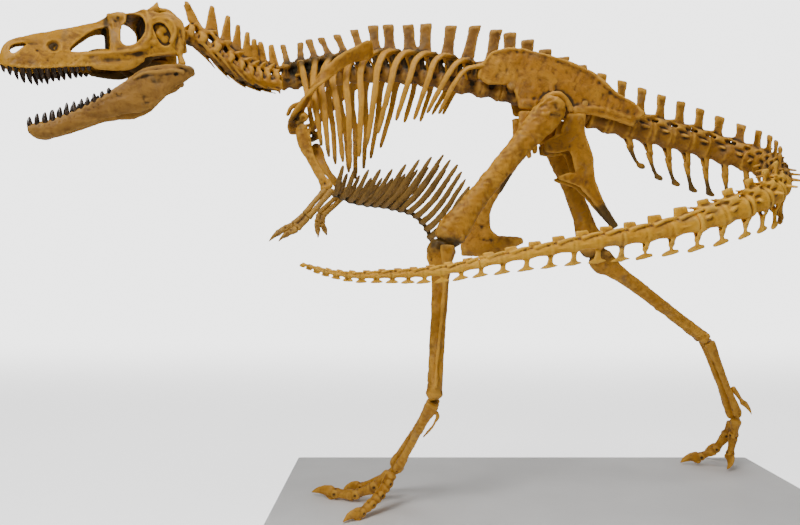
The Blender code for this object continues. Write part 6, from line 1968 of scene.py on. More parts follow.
    def foot(self) -> None:
        """Casts the three long foot bones, the middle one pinched at its top, and the small first toe."""
        knee, ankle, low = np.array(self.knee), np.array(self.ankle), np.array(self.ball)
        heel = unit(unit(ankle - knee) + unit(low - ankle))
        down, out, fore = self.directions(ankle, low)
        reach = low - ankle
        flat = out - heel * out.dot(heel)
        for number, place, spread in ((2, -1.0, -0.05), (3, 0.0, 0.0), (4, 1.0, 0.05)):
            top = ankle + heel * 0.003 + flat * place * 0.0326
            end = low + out * spread - down * (0.0 if number == 3 else 0.03)
            push = fore * (0.014 if number == 3 else -0.004)
            slim, mid = (0.55, 0.7) if number == 3 else (1.0, 1.0)
            wide = 0.026 if number == 3 else 0.0225
            casting = Casting("foot_bone_%d_%s" % (number, self.name),
                ("metatarsal_%d_%s" % (number, self.name),), voxel=0.85, rough=0.0009)
            casting.add(carry([(top * (1 - share) + end * share + push * lift, across, deep)
                        for share, lift, across, deep in ((0.012, 0.0, 0.0155, 0.029),
                            (0.06, 0.0, 0.0155 * (slim + 1) / 2, 0.0275), (0.14, 0.0, 0.015 * slim, 0.0235),
                            (0.3, 0.2, 0.0148 * slim, 0.0195), (0.5, 0.5, 0.0145 * mid, 0.0178),
                            (0.68, 0.8, 0.0158, 0.0172), (0.82, 1.0, 0.018, 0.02), (0.91, 1.0, wide * 0.9,
                            0.024), (0.955, 0.9, wide * 0.86, 0.0235))], out, power=2.3, sides=26))
            for turn in (1.0, -1.0):
                casting.add(carry([(end + push * 0.8 + out * turn * wide * 0.5 - down * 0.026 + fore * 0.006,
                                wide * 0.42, 0.021), (end + push * 0.7 + out * turn * wide * 0.5 - down
                                * 0.022 - fore * 0.01, wide * 0.42, 0.02)], out))
                casting.dents.append(Dent(tuple(end + push * 0.8 + out * turn * wide * 1.05 - down * 0.026),
                        (0.01, 0.01, 0.01), 0.006))
            casting.dents.append(Dent(tuple(end + push + fore * 0.026 - down * 0.06), (0.014, 0.014, 0.014),
                    0.005))
            if number == 4:
                start = top + reach * 0.05 - fore * 0.018
                casting.add(carry([(start, 0.01, 0.0075), (start - fore * 0.02 + reach * 0.03, 0.0095,
                                0.0075), (start - fore * 0.029 + reach * 0.15, 0.008, 0.0066),
                            (start - fore * 0.018 + reach * 0.36, 0.005, 0.0046)], out, sides=14))
            # Painted shade at both joints of each foot bone.
            casting.stains += [Stain(tuple(end), (0.035, 0.035, 0.03), 0.45), Stain(tuple(top),
                    (0.03, 0.03, 0.02), 0.4)]
            casting.pour(Bone.SHAFT.value)
        Digit("first_toe_" + self.name, "dewclaw_" + self.name, self.dewclaw, 0.0165, 1, share=0.52,
            hook=0.007, flat=(0.0, 1.0, 0.2), voxel=0.62).build()

    def build(self) -> None:
        """Casts the leg and its toes."""
        self.thigh()
        self.shin()
        self.foot()
        for toe in self.toes:
            toe.build()


def toe(name: str, side: str, number: int, joints: tuple[Point, ...], size: float, bones: int) -> Digit:
    """A toe of a given foot."""
    return Digit("%s_toe_%s" % (name, side), "toe_%d_%s" % (number, side), joints, size, bones)


LEFT_TOES = (toe("inner", "left", 2, ((-0.548, -0.008, 0.195), (-0.64, 0.035, 0.118), (-0.735, 0.078, 0.068),
            (-0.835, 0.12, 0.0365)), 0.03, 2), toe("middle", "left", 3, ((-0.6, -0.078, 0.176),
            (-0.668, -0.06, 0.112), (-0.785, -0.02, 0.0575), (-0.88, 0.012, 0.0585), (-0.985, 0.05, 0.0485)),
        0.0345, 3), toe("outer", "left", 4, ((-0.59, -0.152, 0.2), (-0.62, -0.175, 0.142), (-0.668, -0.205,
                0.094), (-0.715, -0.24, 0.062), (-0.8, -0.305, 0.037)), 0.03, 4))
RIGHT_TOES = (toe("inner", "right", 2, ((1.283, 0.405, 0.318), (1.285, 0.435, 0.25), (1.278, 0.458, 0.14),
            (1.25, 0.445, 0.0405)), 0.0295, 2), toe("middle", "right", 3, ((1.3, 0.49, 0.285),
            (1.268, 0.52, 0.19), (1.185, 0.55, 0.087), (1.14, 0.56, 0.074), (1.045, 0.568, 0.0425)), 0.033,
        3), toe("outer", "right", 4, ((1.352, 0.545, 0.325), (1.356, 0.59, 0.245), (1.325, 0.63, 0.16),
            (1.29, 0.655, 0.102), (1.225, 0.68, 0.0465)), 0.029, 4))
LEFT_LEG = Leg("left", (0.162, -0.171, 1.902), (-0.362, -0.32, 1.268), (-0.403, -0.35, 0.579),
    (-0.572, -0.09, 0.212), (-0.7, -0.1, 0.3), 0.01, ((-0.488, -0.1142, 0.352), (-0.495, -0.078, 0.316),
        (-0.503, -0.041, 0.276)), LEFT_TOES)
RIGHT_LEG = Leg("right", (0.18, 0.165, 1.905), (0.468, 0.25, 1.219), (1.093, 0.35, 0.764),
    (1.303, 0.465, 0.32), (-0.9, 0.0, -0.1), -0.012, ((1.2522, 0.384, 0.502), (1.303, 0.388, 0.43),
        (1.36, 0.392, 0.352)), RIGHT_TOES)
LEFT_ARM = Arm("left", -1.0, (-0.995, -0.252, 1.79), (-0.873, -0.256, 1.505), (-0.962, -0.3, 1.388),
    (-1.012, -0.32, 1.336), ((-1.12, -0.352, 1.268), (-1.079, -0.34, 1.27)))
RIGHT_ARM = Arm("right", 1.0, (-0.995, 0.252, 1.79), (-0.839, 0.165, 1.533), (-0.945, 0.125, 1.424),
    (-0.953, 0.105, 1.376), ((-0.957, 0.075, 1.3), (-0.918, 0.12, 1.316)))


# ---------------------------------------------------------------- skull


def closed_curve(outline: Sequence[tuple[float, float]], count: int = 64) -> Array:
    """A smooth closed curve through a few points.

    Uniform Catmull-Rom pieces: with the four nearest knots p, q, r, s and t from 0 to 1, the point is
    half of 2q + (r - p)t + (2p - 5q + 4r - s)t^2 + (3q - p - 3r + s)t^3.

    Args:
        outline: the points in order.
        count: points on the curve.

    Returns:
        (count, 2) points.
    """
    knots = np.array(outline, float)
    at = np.linspace(0.0, len(knots), count, endpoint=False)
    index, t = at.astype(int), (at % 1.0)[:, None]
    p, q, r, s = (knots[(index + step) % len(knots)] for step in (-1, 0, 1, 2))
    return 0.5 * (2 * q + (r - p) * t + (2 * p - 5 * q + 4 * r - s) * t ** 2 + (3 * q - p - 3 * r + s)
        * t ** 3)


def punch(outline: Sequence[tuple[float, float]], near: float, far: float) -> Form:
    """A block with a smooth outline in x and z between two distances from the middle plane.

    Args:
        outline: corners in x and z.
        near: distance where the block starts.
        far: distance where it ends.

    Returns:
        The block.
    """
    curve = closed_curve(outline)
    rings = [np.column_stack((curve[:, 0], np.full(len(curve), y), curve[:, 1])) for y in np.linspace(near,
            far, 5)]
    return skin(np.stack(rings))


@dataclass
class Head:
    """Shared frame of skull and jaw: x towards the snout, y to the left, z up, from the neck joint."""

    seat: Point = (-1.518, -0.32, 2.164)
    yaw: float = 30.0
    pitch: float = 8.0

    def place(self, points: Array) -> Array:
        """Points of the head's frame in the body's frame: seat + snout x + left y + crown z.

        Args:
            points: points in the head's frame.

        Returns:
            The same points in the body's frame.
        """
        yaw, pitch = np.radians(self.yaw), np.radians(self.pitch)
        snout = np.array((-np.cos(yaw) * np.cos(pitch), -np.sin(yaw) * np.cos(pitch), -np.sin(pitch)))
        left = unit(np.cross(UP, snout))
        return np.array(self.seat) + points @ np.stack((snout, left, np.cross(snout, left)))

    def tooth(self, root: Point, length: float, lean: float, broad: float, thin: float) -> Form:
        """A blade-like tooth that bends backward; a negative length points up.

        Args:
            root: middle of its root.
            length: from root to tip.
            lean: how far the tip goes back.
            broad: half width from front to back.
            thin: half width from side to side.

        Returns:
            The tooth.
        """
        x, y, z = root
        way = 1.0 if length > 0 else -1.0
        stations = [((x - lean * max(share, 0.0) ** 1.7, y - 0.06 * abs(length) * share * np.sign(y),
                    z - length * share), broad * size, thin * size)
            for share, size in ((-0.16 / max(abs(length) / 0.05, 0.4), 0.92), (0.0, 1.0), (0.3, 0.93),
                (0.58, 0.78), (0.8, 0.56), (0.94, 0.34), (1.0, 0.18))]
        return carry(stations, (1.0, 0.0, 0.28 * way), power=1.8, dome=0.8, sides=14, spacing=0.0035)

    def plant(self, name: str, node: str, teeth: list[Form]) -> None:
        """Puts in a row of teeth."""
        points, faces = gather(teeth)
        dress(name, raw_mesh(name, self.place(points) + SHIFT, faces), Enamel().material(), (node,))


@dataclass
class Skull(Head):
    """Skull: a narrow arched snout, openings with rims, bars between them, palate and braincase."""

    wall: float = 0.0115
    teeth: int = 15
    roof: Rows = ((0.0, 0.05), (0.01, 0.066), (0.032, 0.081), (0.06, 0.088), (0.09, 0.09), (0.13, 0.09),
        (0.18, 0.081), (0.229, 0.078), (0.262, 0.084), (0.28, 0.083), (0.3, 0.07), (0.318, 0.058),
        (0.34, 0.049), (0.365, 0.042), (0.466, 0.021), (0.567, -0.002), (0.64, -0.019), (0.668, -0.033),
        (0.685, -0.052), (0.696, -0.078), (0.7, -0.095))
    low: Rows = ((0.0, -0.09), (0.05, -0.098), (0.124, -0.104), (0.179, -0.116), (0.235, -0.136),
        (0.26, -0.14), (0.3, -0.144), (0.354, -0.143), (0.43, -0.14), (0.466, -0.14), (0.54, -0.145),
        (0.62, -0.143), (0.678, -0.132), (0.7, -0.122))
    breadth: Rows = ((0.0, 0.112), (0.03, 0.122), (0.06, 0.126), (0.15, 0.12), (0.27, 0.1), (0.365, 0.074),
        (0.466, 0.058), (0.567, 0.052), (0.64, 0.044), (0.67, 0.036), (0.688, 0.026), (0.7, 0.014))
    narrowness: Rows = ((0.2, 0.0), (0.31, 0.75), (0.4, 1.0), (0.62, 1.0), (0.7, 0.6))
    naris: tuple[tuple[float, float], ...] = ((0.663, -0.068), (0.655, -0.052), (0.632, -0.041),
        (0.606, -0.04), (0.601, -0.05), (0.622, -0.068), (0.64, -0.082), (0.655, -0.083))
    snout_pit: tuple[tuple[float, float], ...] = ((0.534, -0.06), (0.526, -0.04), (0.505, -0.028),
        (0.486, -0.03), (0.477, -0.05), (0.482, -0.072), (0.506, -0.083), (0.528, -0.078))
    front: tuple[tuple[float, float], ...] = ((0.452, -0.071), (0.428, -0.041), (0.377, -0.003),
        (0.348, 0.013), (0.319, 0.021), (0.297, 0.021), (0.293, 0.003), (0.3, -0.066), (0.315, -0.08),
        (0.365, -0.081), (0.433, -0.081))
    orbit: tuple[tuple[float, float], ...] = ((0.225, 0.068), (0.232, 0.036), (0.251, 0.018), (0.26, -0.02),
        (0.261, -0.046), (0.246, -0.064), (0.222, -0.066), (0.194, -0.051), (0.17, -0.026), (0.156, 0.012),
        (0.158, 0.044), (0.174, 0.064), (0.2, 0.073))
    temple: tuple[tuple[float, float], ...] = ((0.133, 0.015), (0.105, 0.031), (0.077, 0.019),
        (0.057, -0.03), (0.068, -0.061), (0.094, -0.069), (0.116, -0.051), (0.129, -0.015))
    tooth_length: Rows = ((0.0, 0.024), (0.1, 0.03), (0.24, 0.044), (0.38, 0.05), (0.52, 0.044),
        (0.7, 0.034), (1.0, 0.016))

    def hull(self, stations: Array, inset: float, sink: float) -> Form:
        """The skull's outer form, or its hollow.

        Each section runs from the roof's middle down both sides. Its shares of half width and height
        are mixed from a broad section at the rear and a narrow arched one in the snout.

        Args:
            stations: places along the skull.
            inset: how far inside the outer form it lies.
            sink: how far below the lower edge it ends.

        Returns:
            A closed form.
        """
        broad = np.array(((0.0, 0.0), (0.36, 0.0), (0.68, 0.02), (0.9, 0.1), (1.0, 0.3), (0.98, 0.65),
                (0.9, 1.0)))
        arched = np.array(((0.0, 0.0), (0.2, 0.0), (0.36, 0.025), (0.48, 0.1), (0.64, 0.36), (0.9, 0.76),
                (0.97, 1.0)))
        blank = np.zeros((7, 1))
        broad = flowing(np.hstack((broad, blank)), 0.05)[:, :2]
        arched = flowing(np.hstack((arched, blank)), 0.05)[:, :2]
        share = np.linspace(0.0, 1.0, 34)
        broad, arched = (np.stack([np.interp(share, np.linspace(0, 1, len(form)), form[:, k])
                    for k in (0, 1)], -1) for form in (broad, arched))
        mix = read(self.narrowness, stations)[:, None, None]
        form = broad * (1 - mix) + arched * mix
        soft = np.array([1.0, 2.0, 3.0, 2.0, 1.0]) / 9.0
        top, low, wide = (np.convolve(np.pad(read(rows, stations), 2, mode="edge"), soft, "valid")
            for rows in (self.roof, self.low, self.breadth))
        top, wide = top - inset, np.maximum(wide - inset, 0.004)
        tall = np.maximum(top - (low - sink), 0.004)
        y = form[:, :, 0] * wide[:, None]
        z = top[:, None] - form[:, :, 1] * tall[:, None]
        x = np.broadcast_to(stations[:, None], y.shape)
        right = np.stack((x, -y, z), -1)
        left = np.stack((x, y, z), -1)[:, :0:-1]
        return skin(np.concatenate((right, left), 1))

    def side(self, x: float, z: float, inset: float = 0.0) -> float:
        """Half width of the outer form at a height.

        Args:
            x: distance toward the snout.
            z: height.
            inset: how far inside the form.

        Returns:
            The half width.
        """
        top, low, wide = (float(read(rows, x)) for rows in (self.roof, self.low, self.breadth))
        mix = float(read(self.narrowness, x))
        down = (top - z) / (top - low)
        broad = read(((0.0, 0.4), (0.02, 0.68), (0.1, 0.9), (0.3, 1.0), (0.65, 0.98), (1.0, 0.9)), down)
        arched = read(((0.0, 0.2), (0.025, 0.36), (0.1, 0.48), (0.36, 0.64), (0.76, 0.9), (1.0, 0.97)), down)
        return float(wide * (broad * (1 - mix) + arched * mix) - inset)

    def hoop(self, outline: Sequence[tuple[float, float]], radius: float, inset: float, sign: float) -> Form:
        """A rounded rim round an opening, laid on the skull's side.

        Args:
            outline: corners of the opening in x and z.
            radius: half thickness of the rim.
            inset: how far it is sunk.
            sign: 1 for the left side, -1 for the right.

        Returns:
            The rim.
        """
        curve = closed_curve(outline, 40)
        way = [((x, sign * self.side(x, z, inset), z), radius, radius * 0.8)
            for x, z in np.vstack((curve, curve[:2]))]
        return carry(way, (0.0, 1.0, 0.0), sides=12, spacing=0.004)

    def stroke(self, sign: float, inset: float, *rows: tuple[float, float, float, float]) -> Form:
        """A bar or ridge laid on the skull's side through (x, z, half width, half depth)."""
        return carry([((x, sign * self.side(x, z, inset), z), wide, deep) for x, z, wide, deep in rows],
            (0.6, 0.0, 0.8), sides=18, spacing=0.004)

    def case(self) -> Form:
        """The hollow snout and rear with all their openings cut.

        Returns:
            The form.
        """
        outer = self.hull(np.concatenate((np.linspace(0.0, 0.66, 120), np.linspace(0.664, 0.7, 12))), 0.0,
            0.0)
        cutters = [self.hull(np.linspace(0.145, 0.645, 60), self.wall, 0.03)]
        for outline in (self.naris, self.front, self.orbit):
            cutters.append(punch(outline, -0.2, 0.2))
        for sign in (1.0, -1.0):
            cutters.append(punch(self.temple, sign * 0.103, sign * 0.2))
            cutters.append(ball((0.088, sign * 0.072, 0.082), (0.034, 0.04, 0.027)))
            cutters.append(ball((-0.012, sign * 0.056, 0.002), (0.036, 0.036, 0.034)))
        cutters.append(skin(np.array([[(x, -0.09, -0.2), (x, 0.09, -0.2), (x, 0.09, top), (x, -0.09, top)]
                        for x, top in ((-0.05, -0.035), (0.15, -0.055))])))
        return carve(outer, cutters)

    def frame(self, sign: float) -> list[Form]:
        """Rims, bars, ridges and palate of one side.

        Args:
            sign: 1 for the left side, -1 for the right.

        Returns:
            Its forms.
        """
        made = [self.hoop(self.naris, 0.0042, 0.003, sign), self.hoop(self.front, 0.005, 0.005, sign),
            self.hoop(self.orbit, 0.0058, 0.004, sign), self.hoop(self.temple, 0.0052, 0.005, sign),
            self.hoop(self.snout_pit, 0.0034, 0.0008, sign)]
        made.append(self.stroke(sign, 0.008, (0.283, 0.07, 0.014, 0.013), (0.274, 0.03, 0.012, 0.012),
                (0.277, -0.02, 0.011, 0.011), (0.282, -0.068, 0.014, 0.012), (0.29, -0.096, 0.018, 0.012)))
        made.append(sheet([(0.29, sign * self.side(0.29, 0.04, 0.006), 0.04),
                    (0.294, sign * self.side(0.29, -0.07, 0.006), -0.078)], [(0.282, sign * 0.036, 0.045),
                    (0.286, sign * 0.04, -0.07)], 0.0052))
        made.append(self.stroke(sign, 0.004, (0.276, 0.062, 0.015, 0.013), (0.25, 0.056, 0.022, 0.015),
                (0.228, 0.066, 0.014, 0.011)))
        made.append(self.stroke(sign, 0.004, (0.226, 0.078, 0.007, 0.007), (0.18, 0.082, 0.0085, 0.009),
                (0.146, 0.076, 0.011, 0.011), (0.14, 0.04, 0.012, 0.011), (0.144, 0.0, 0.01, 0.01),
                (0.152, -0.034, 0.01, 0.01), (0.176, -0.06, 0.011, 0.01)))
        made.append(self.stroke(sign, 0.004, (0.13, -0.052, 0.014, 0.01), (0.18, -0.074, 0.015, 0.012),
                (0.235, -0.087, 0.0125, 0.012), (0.3, -0.09, 0.0105, 0.01), (0.4, -0.092, 0.008, 0.007)))
        made.append(self.stroke(sign, 0.008, (0.37, -0.138, 0.013, 0.009), (0.3, -0.144, 0.018, 0.01),
                (0.236, -0.136, 0.022, 0.01), (0.186, -0.112, 0.018, 0.009)))
        made.append(self.stroke(sign, 0.006, (0.062, -0.052, 0.012, 0.011), (0.044, -0.004, 0.011, 0.012),
                (0.058, 0.036, 0.011, 0.012), (0.09, 0.046, 0.01, 0.01), (0.128, 0.04, 0.01, 0.01)))
        made.append(self.stroke(sign, 0.006, (0.02, 0.04, 0.016, 0.012), (0.016, -0.01, 0.017, 0.012),
                (0.028, -0.06, 0.018, 0.013), (0.036, -0.096, 0.017, 0.014)))
        made.append(carry([((0.116, sign * 0.078, 0.072), 0.03, 0.014), ((0.101, sign * 0.084, 0.098), 0.017,
                        0.01), ((0.0905, sign * 0.086, 0.124), 0.0034, 0.003)], AHEAD, sides=14, dome=0.5))
        made.append(carry([((0.082, sign * 0.078, 0.09), 0.012, 0.011), ((0.062, sign * 0.076, 0.09), 0.014,
                        0.012), ((0.036, sign * 0.07, 0.078), 0.012, 0.012), ((0.012, sign * 0.06, 0.054),
                        0.011, 0.013)], SIDEWAYS))
        made.append(carry([((0.04, sign * 0.104, -0.06), 0.016, 0.012), ((0.034, sign * 0.104, -0.105),
                        0.014, 0.011), ((0.03, sign * 0.104, -0.1385), 0.02, 0.015)], SIDEWAYS))
        made += [ball((0.084, sign * 0.102, 0.006), (0.022, 0.008, 0.018)),
            ball((0.102, sign * 0.101, -0.016), (0.016, 0.009, 0.024)), ball((0.082, sign * 0.101, -0.038),
                (0.02, 0.008, 0.016)), ball((0.501, sign * (self.side(0.501, -0.058) - 0.009), -0.059),
                (0.0125, 0.0085, 0.0105))]
        y = sign * 0.052
        made.append(sheet([(0.262, y, -0.072), (0.205, y, -0.082), (0.15, y, -0.096)], [(0.252, y, -0.14),
                    (0.222, y, -0.164), (0.15, y, -0.126)], 0.008, normal=SIDEWAYS))
        made.append(carry([((0.165, y, -0.106), 0.012, 0.009), ((0.105, sign * 0.074, -0.092), 0.012, 0.008),
                    ((0.046, sign * 0.096, -0.088), 0.016, 0.01)], UP))
        made.append(carry([((0.4, sign * 0.024, -0.088), 0.014, 0.01), ((0.345, sign * 0.032, -0.074), 0.018,
                        0.014), ((0.262, sign * 0.048, -0.082), 0.014, 0.012)], SIDEWAYS))
        made.append(carry([((0.345, sign * 0.07, -0.098), 0.016, 0.007), ((0.33, sign * 0.03, -0.08), 0.018,
                        0.008)], AHEAD))
        return made

    def marks(self, casting: Casting, sign: float) -> None:
        """Hollows, small pits, swellings and dark patches of one side; most patches are painted shade inside and
        under the skull and in its pits.

        Args:
            casting: the casting that takes them.
            sign: 1 for the left side, -1 for the right.
        """
        def spot(x: float, z: float) -> Point:
            """A point on the side at an x and z."""
            return x, sign * self.side(x, z), z

        casting.dents += [Dent(spot(0.506, -0.056), (0.03, 0.03, 0.028), 0.013), Dent(spot(0.256, 0.051),
                (0.0075, 0.02, 0.0075), 0.0075), Dent(spot(0.566, -0.073), (0.01, 0.02, 0.007), 0.004),
            Dent(spot(0.585, -0.045), (0.05, 0.03, 0.012), 0.0022), Dent(spot(0.455, -0.02),
                (0.045, 0.03, 0.02), 0.003), Dent(spot(0.445, -0.082), (0.06, 0.03, 0.01), 0.0022),
            Dent(spot(0.3, -0.118), (0.08, 0.03, 0.018), 0.0042), Dent(spot(0.2, -0.1), (0.05, 0.03, 0.018),
                0.004), Dent(spot(0.146, -0.068), (0.02, 0.03, 0.016), 0.0035), Dent(spot(0.02, -0.03),
                (0.01, 0.03, 0.045), 0.0045), Dent((0.09, sign * 0.066, 0.094), (0.02, 0.02, 0.014), 0.006)]
        rng = np.random.default_rng(11)
        for x in np.linspace(0.4, 0.67, 17):
            z = float(read(self.low, x)) + rng.uniform(0.014, 0.03)
            casting.dents.append(Dent(spot(float(x), z), (0.0038, 0.012, 0.0032), 0.0042))
        for x in np.linspace(0.39, 0.66, 12):
            z = float(read(self.low, x)) + 0.004
            casting.dents.append(Dent(spot(float(x), z), (0.007, 0.02, 0.012), -0.002))
        for _ in range(40):
            x = rng.uniform(0.3, 0.66)
            z = float(read(self.roof, x)) - rng.uniform(0.004, 0.05)
            casting.dents.append(Dent(spot(x, z), tuple(rng.uniform(0.005, 0.014, 3)), rng.uniform(-0.0012,
                        0.0016)))
        # Painted shade under the skull and inside it, seen through the openings: by the palate, inside the snout,
        # in the bowl above the temple opening, behind the bar before the eye and in the braincase, and in two pits
        # of the side. The two bands along the lower edge are dark patches.
        casting.stains += [Stain((0.206, sign * 0.05, -0.135), (0.07, 0.03, 0.045), 0.95),
            Stain((0.31, -0.066, -0.146), (0.1, 0.036, 0.022), 0.4),
            Stain((0.5, -sign * self.side(0.5, -0.14), -0.128), (0.11, 0.03, 0.012), 0.22),
            Stain((0.345, sign * 0.025, -0.076), (0.06, 0.03, 0.024), 0.85), Stain((0.1, sign * 0.07, -0.1),
                (0.07, 0.03, 0.02), 0.8), Stain(spot(0.256, 0.051), (0.008, 0.02, 0.008), 0.65),
            Stain(spot(0.497, -0.05), (0.015, 0.03, 0.014), 0.35), Stain((0.09, sign * 0.066, 0.06),
                (0.024, 0.02, 0.014), 0.45), Stain((0.3, sign * 0.045, 0.0), (0.012, 0.03, 0.08), 0.75),
            Stain((0.17, 0.0, 0.02), (0.09, 0.075, 0.05), 0.55)]

    def build(self) -> None:
        """Casts the skull and plants its teeth."""
        casting = Casting("skull_bones", ("cranium",), voxel=0.85, rough=0.0007, passes=4, turn=self.place)
        casting.add(self.case())
        for sign in (1.0, -1.0):
            casting.add(self.frame(sign))
            self.marks(casting, sign)
        casting.add(carry([((0.66, 0.0, -0.112), 0.018, 0.01), ((0.48, 0.0, -0.098), 0.017, 0.009),
                    ((0.3, 0.0, -0.084), 0.017, 0.01), ((0.13, 0.0, -0.045), 0.02, 0.014)], SIDEWAYS),
            carry([((0.06, 0.0, -0.01), 0.026, 0.024), ((0.02, 0.0, -0.012), 0.019, 0.017)], SIDEWAYS),
            ball((0.004, 0.0, -0.014), (0.015, 0.018, 0.016)), carry([((0.03, 0.0, 0.07), 0.008, 0.016),
                    ((0.09, 0.0, 0.088), 0.01, 0.012), ((0.16, 0.0, 0.08), 0.016, 0.008)], SIDEWAYS),
            carry([((0.24, 0.0, 0.07), 0.02, 0.007), ((0.42, 0.0, 0.029), 0.01, 0.006), ((0.6, 0.0, -0.012),
                        0.01, 0.006)], SIDEWAYS))
        casting.dents.append(Dent((0.0, 0.0, 0.022), (0.03, 0.012, 0.012), 0.012))
        casting.pour(Bone.SKULL.value)
        rng = np.random.default_rng(3)
        teeth = []
        for index in range(self.teeth):
            share = index / (self.teeth - 1)
            x = 0.693 - 0.303 * share
            size = 0.0088 if index > 2 else 0.0064
            for sign in (1.0, -1.0):
                length = float(read(self.tooth_length, share)) * rng.uniform(0.8, 1.06)
                spread = 0.93 * float(read(self.breadth, x)) - 0.006
                root = (x + rng.uniform(-0.002, 0.002), sign * spread, float(read(self.low, x)) + 0.002)
                teeth.append(self.tooth(root, length, length * rng.uniform(0.04, 0.16), size * 1.15,
                        size * 0.72))
        self.plant("upper_teeth", "cranium", teeth)


@dataclass
class Jaw(Head):
    """Lower jaw: two deep branches joined at the chin, a shelf at the rear, pits and teeth."""

    teeth: int = 12
    top: Rows = ((-0.004, -0.152), (0.018, -0.143), (0.045, -0.143), (0.07, -0.136), (0.11, -0.138),
        (0.15, -0.144), (0.195, -0.154), (0.24, -0.186), (0.276, -0.21), (0.347, -0.25), (0.4, -0.28),
        (0.453, -0.306), (0.552, -0.338), (0.6, -0.347), (0.64, -0.354))
    low: Rows = ((-0.004, -0.19), (0.02, -0.212), (0.071, -0.234), (0.103, -0.262), (0.136, -0.294),
        (0.172, -0.316), (0.223, -0.334), (0.292, -0.338), (0.37, -0.352), (0.449, -0.38), (0.526, -0.405),
        (0.577, -0.417), (0.612, -0.412), (0.632, -0.396), (0.64, -0.384))
    breadth: Rows = ((0.0, 0.118), (0.06, 0.112), (0.172, 0.096), (0.292, 0.078), (0.46, 0.052),
        (0.6, 0.034), (0.64, 0.015))
    thick: Rows = ((0.0, 0.026), (0.1, 0.019), (0.4, 0.02), (0.5, 0.024), (0.545, 0.04), (0.6, 0.035),
        (0.64, 0.017))
    tooth_length: Rows = ((0.0, 0.022), (0.2, 0.034), (0.6, 0.032), (1.0, 0.016))

    def branch(self, sign: float) -> Form:
        """One branch: a rounded upright section that leans in at its lower edge.

        Args:
            sign: 1 for the left side, -1 for the right.

        Returns:
            The form.
        """
        x = np.concatenate((np.linspace(-0.004, 0.6, 110), np.linspace(0.606, 0.64, 12)))
        soft = np.array([1.0, 2.0, 3.0, 2.0, 1.0]) / 9.0
        top, low, outer, thick = (np.convolve(np.pad(read(rows, x), 2, mode="edge"), soft, "valid")[:, None]
            for rows in (self.top, self.low, self.breadth, self.thick))
        w = np.linspace(0.0, TAU, 40, endpoint=False)[None]
        a, b = (np.sign(wave(w)) * np.abs(wave(w)) ** 0.72 for wave in (np.cos, np.sin))
        y = outer - thick / 2 + a * thick / 2 - thick * np.where(b > 0, 0.18, 0.34) * b ** 2
        z = (top + low) / 2 + b * (top - low) / 2
        return skin(np.stack((np.broadcast_to(x[:, None], y.shape), sign * y, z), -1))

    def spot(self, x: float, share: float, sign: float) -> Point:
        """A point on the outer side by its share of the height."""
        top, low = float(read(self.top, x)), float(read(self.low, x))
        return x, sign * float(read(self.breadth, x)), low + (top - low) * share

    def build(self) -> None:
        """Casts the jaw and plants its teeth."""
        casting = Casting("jaw_bones", ("mandible",), voxel=0.85, rough=0.0009, passes=2, turn=self.place)
        rng = np.random.default_rng(8)
        for sign in (1.0, -1.0):
            casting.add(self.branch(sign))
            ridge = [(self.spot(x, share, sign), wide, deep) for x, share, wide, deep in ((0.03, 0.55, 0.01,
                        0.005), (0.07, 0.66, 0.01, 0.007), (0.13, 0.78, 0.01, 0.007), (0.19, 0.86, 0.008,
                        0.006), (0.23, 0.9, 0.005, 0.003))]
            casting.add(carry(ridge, UP, sides=14))
            casting.add(carry([((0.055, sign * 0.104, -0.146), 0.016, 0.008), ((0.028, sign * 0.104, -0.152),
                            0.02, 0.01), ((0.0, sign * 0.104, -0.17), 0.016, 0.02),
                        ((-0.006, sign * 0.102, -0.184), 0.012, 0.014)], SIDEWAYS))
            casting.dents += [Dent(self.spot(0.062, 0.5, sign), (0.012, 0.03, 0.009), 0.0085),
                Dent(self.spot(0.13, 0.52, sign), (0.06, 0.03, 0.024), 0.004),
                Dent(self.spot(0.2, 0.3, sign), (0.05, 0.03, 0.03), 0.0034),
                Dent(self.spot(0.19, 0.16, sign), (0.02, 0.02, 0.005), 0.0035),
                Dent(self.spot(0.29, 0.62, sign), (0.03, 0.02, 0.014), 0.003),
                Dent(self.spot(0.42, 0.34, sign), (0.12, 0.02, 0.016), 0.0028),
                Dent(self.spot(0.44, 0.62, sign), (0.12, 0.02, 0.01), 0.002)]
            for x in np.linspace(0.285, 0.6, 18):
                casting.dents.append(Dent(self.spot(float(x), 0.7 + rng.uniform(-0.06, 0.06), sign),
                        (0.0048, 0.012, 0.0036), 0.005))
            for _ in range(30):
                casting.dents.append(Dent(self.spot(rng.uniform(0.05, 0.6), rng.uniform(0.15, 0.9), sign),
                        tuple(rng.uniform(0.006, 0.02, 3)), rng.uniform(-0.0014, 0.0018)))
            # Painted shade in the pits of the side and at the rear end under the skull.
            casting.stains += [Stain(self.spot(0.062, 0.5, sign), (0.012, 0.03, 0.009), 0.65),
                Stain(self.spot(0.195, 0.15, sign), (0.024, 0.03, 0.008), 0.45),
                Stain(self.spot(0.0, 0.7, sign), (0.03, 0.04, 0.03), 0.4)]
            casting.stains += [Stain(self.spot(float(x), 0.69, sign), (0.01, 0.02, 0.007), 0.22)
                for x in np.linspace(0.29, 0.58, 10)]
        casting.add(carry([((0.56, 0.0, -0.372), 0.014, 0.03), ((0.618, 0.0, -0.378), 0.014, 0.026)],
                SIDEWAYS))
        casting.pour(Bone.JAW.value)
        teeth = []
        for index in range(self.teeth):
            share = index / (self.teeth - 1)
            x = 0.63 - share * 0.3
            for sign in (1.0, -1.0):
                length = float(read(self.tooth_length, share)) * rng.uniform(0.82, 1.12)
                spread = float(read(self.breadth, x)) - min(float(read(self.thick, x)), 0.022) * 0.5
                root = (x + rng.uniform(-0.002, 0.002), sign * spread, float(read(self.top, x)) - 0.002)
                teeth.append(self.tooth(root, -length * 1.22, length * rng.uniform(0.08, 0.22), 0.0098,
                        0.0062))
        self.plant("lower_teeth", "mandible", teeth)


# ---------------------------------------------------------------- base and studio


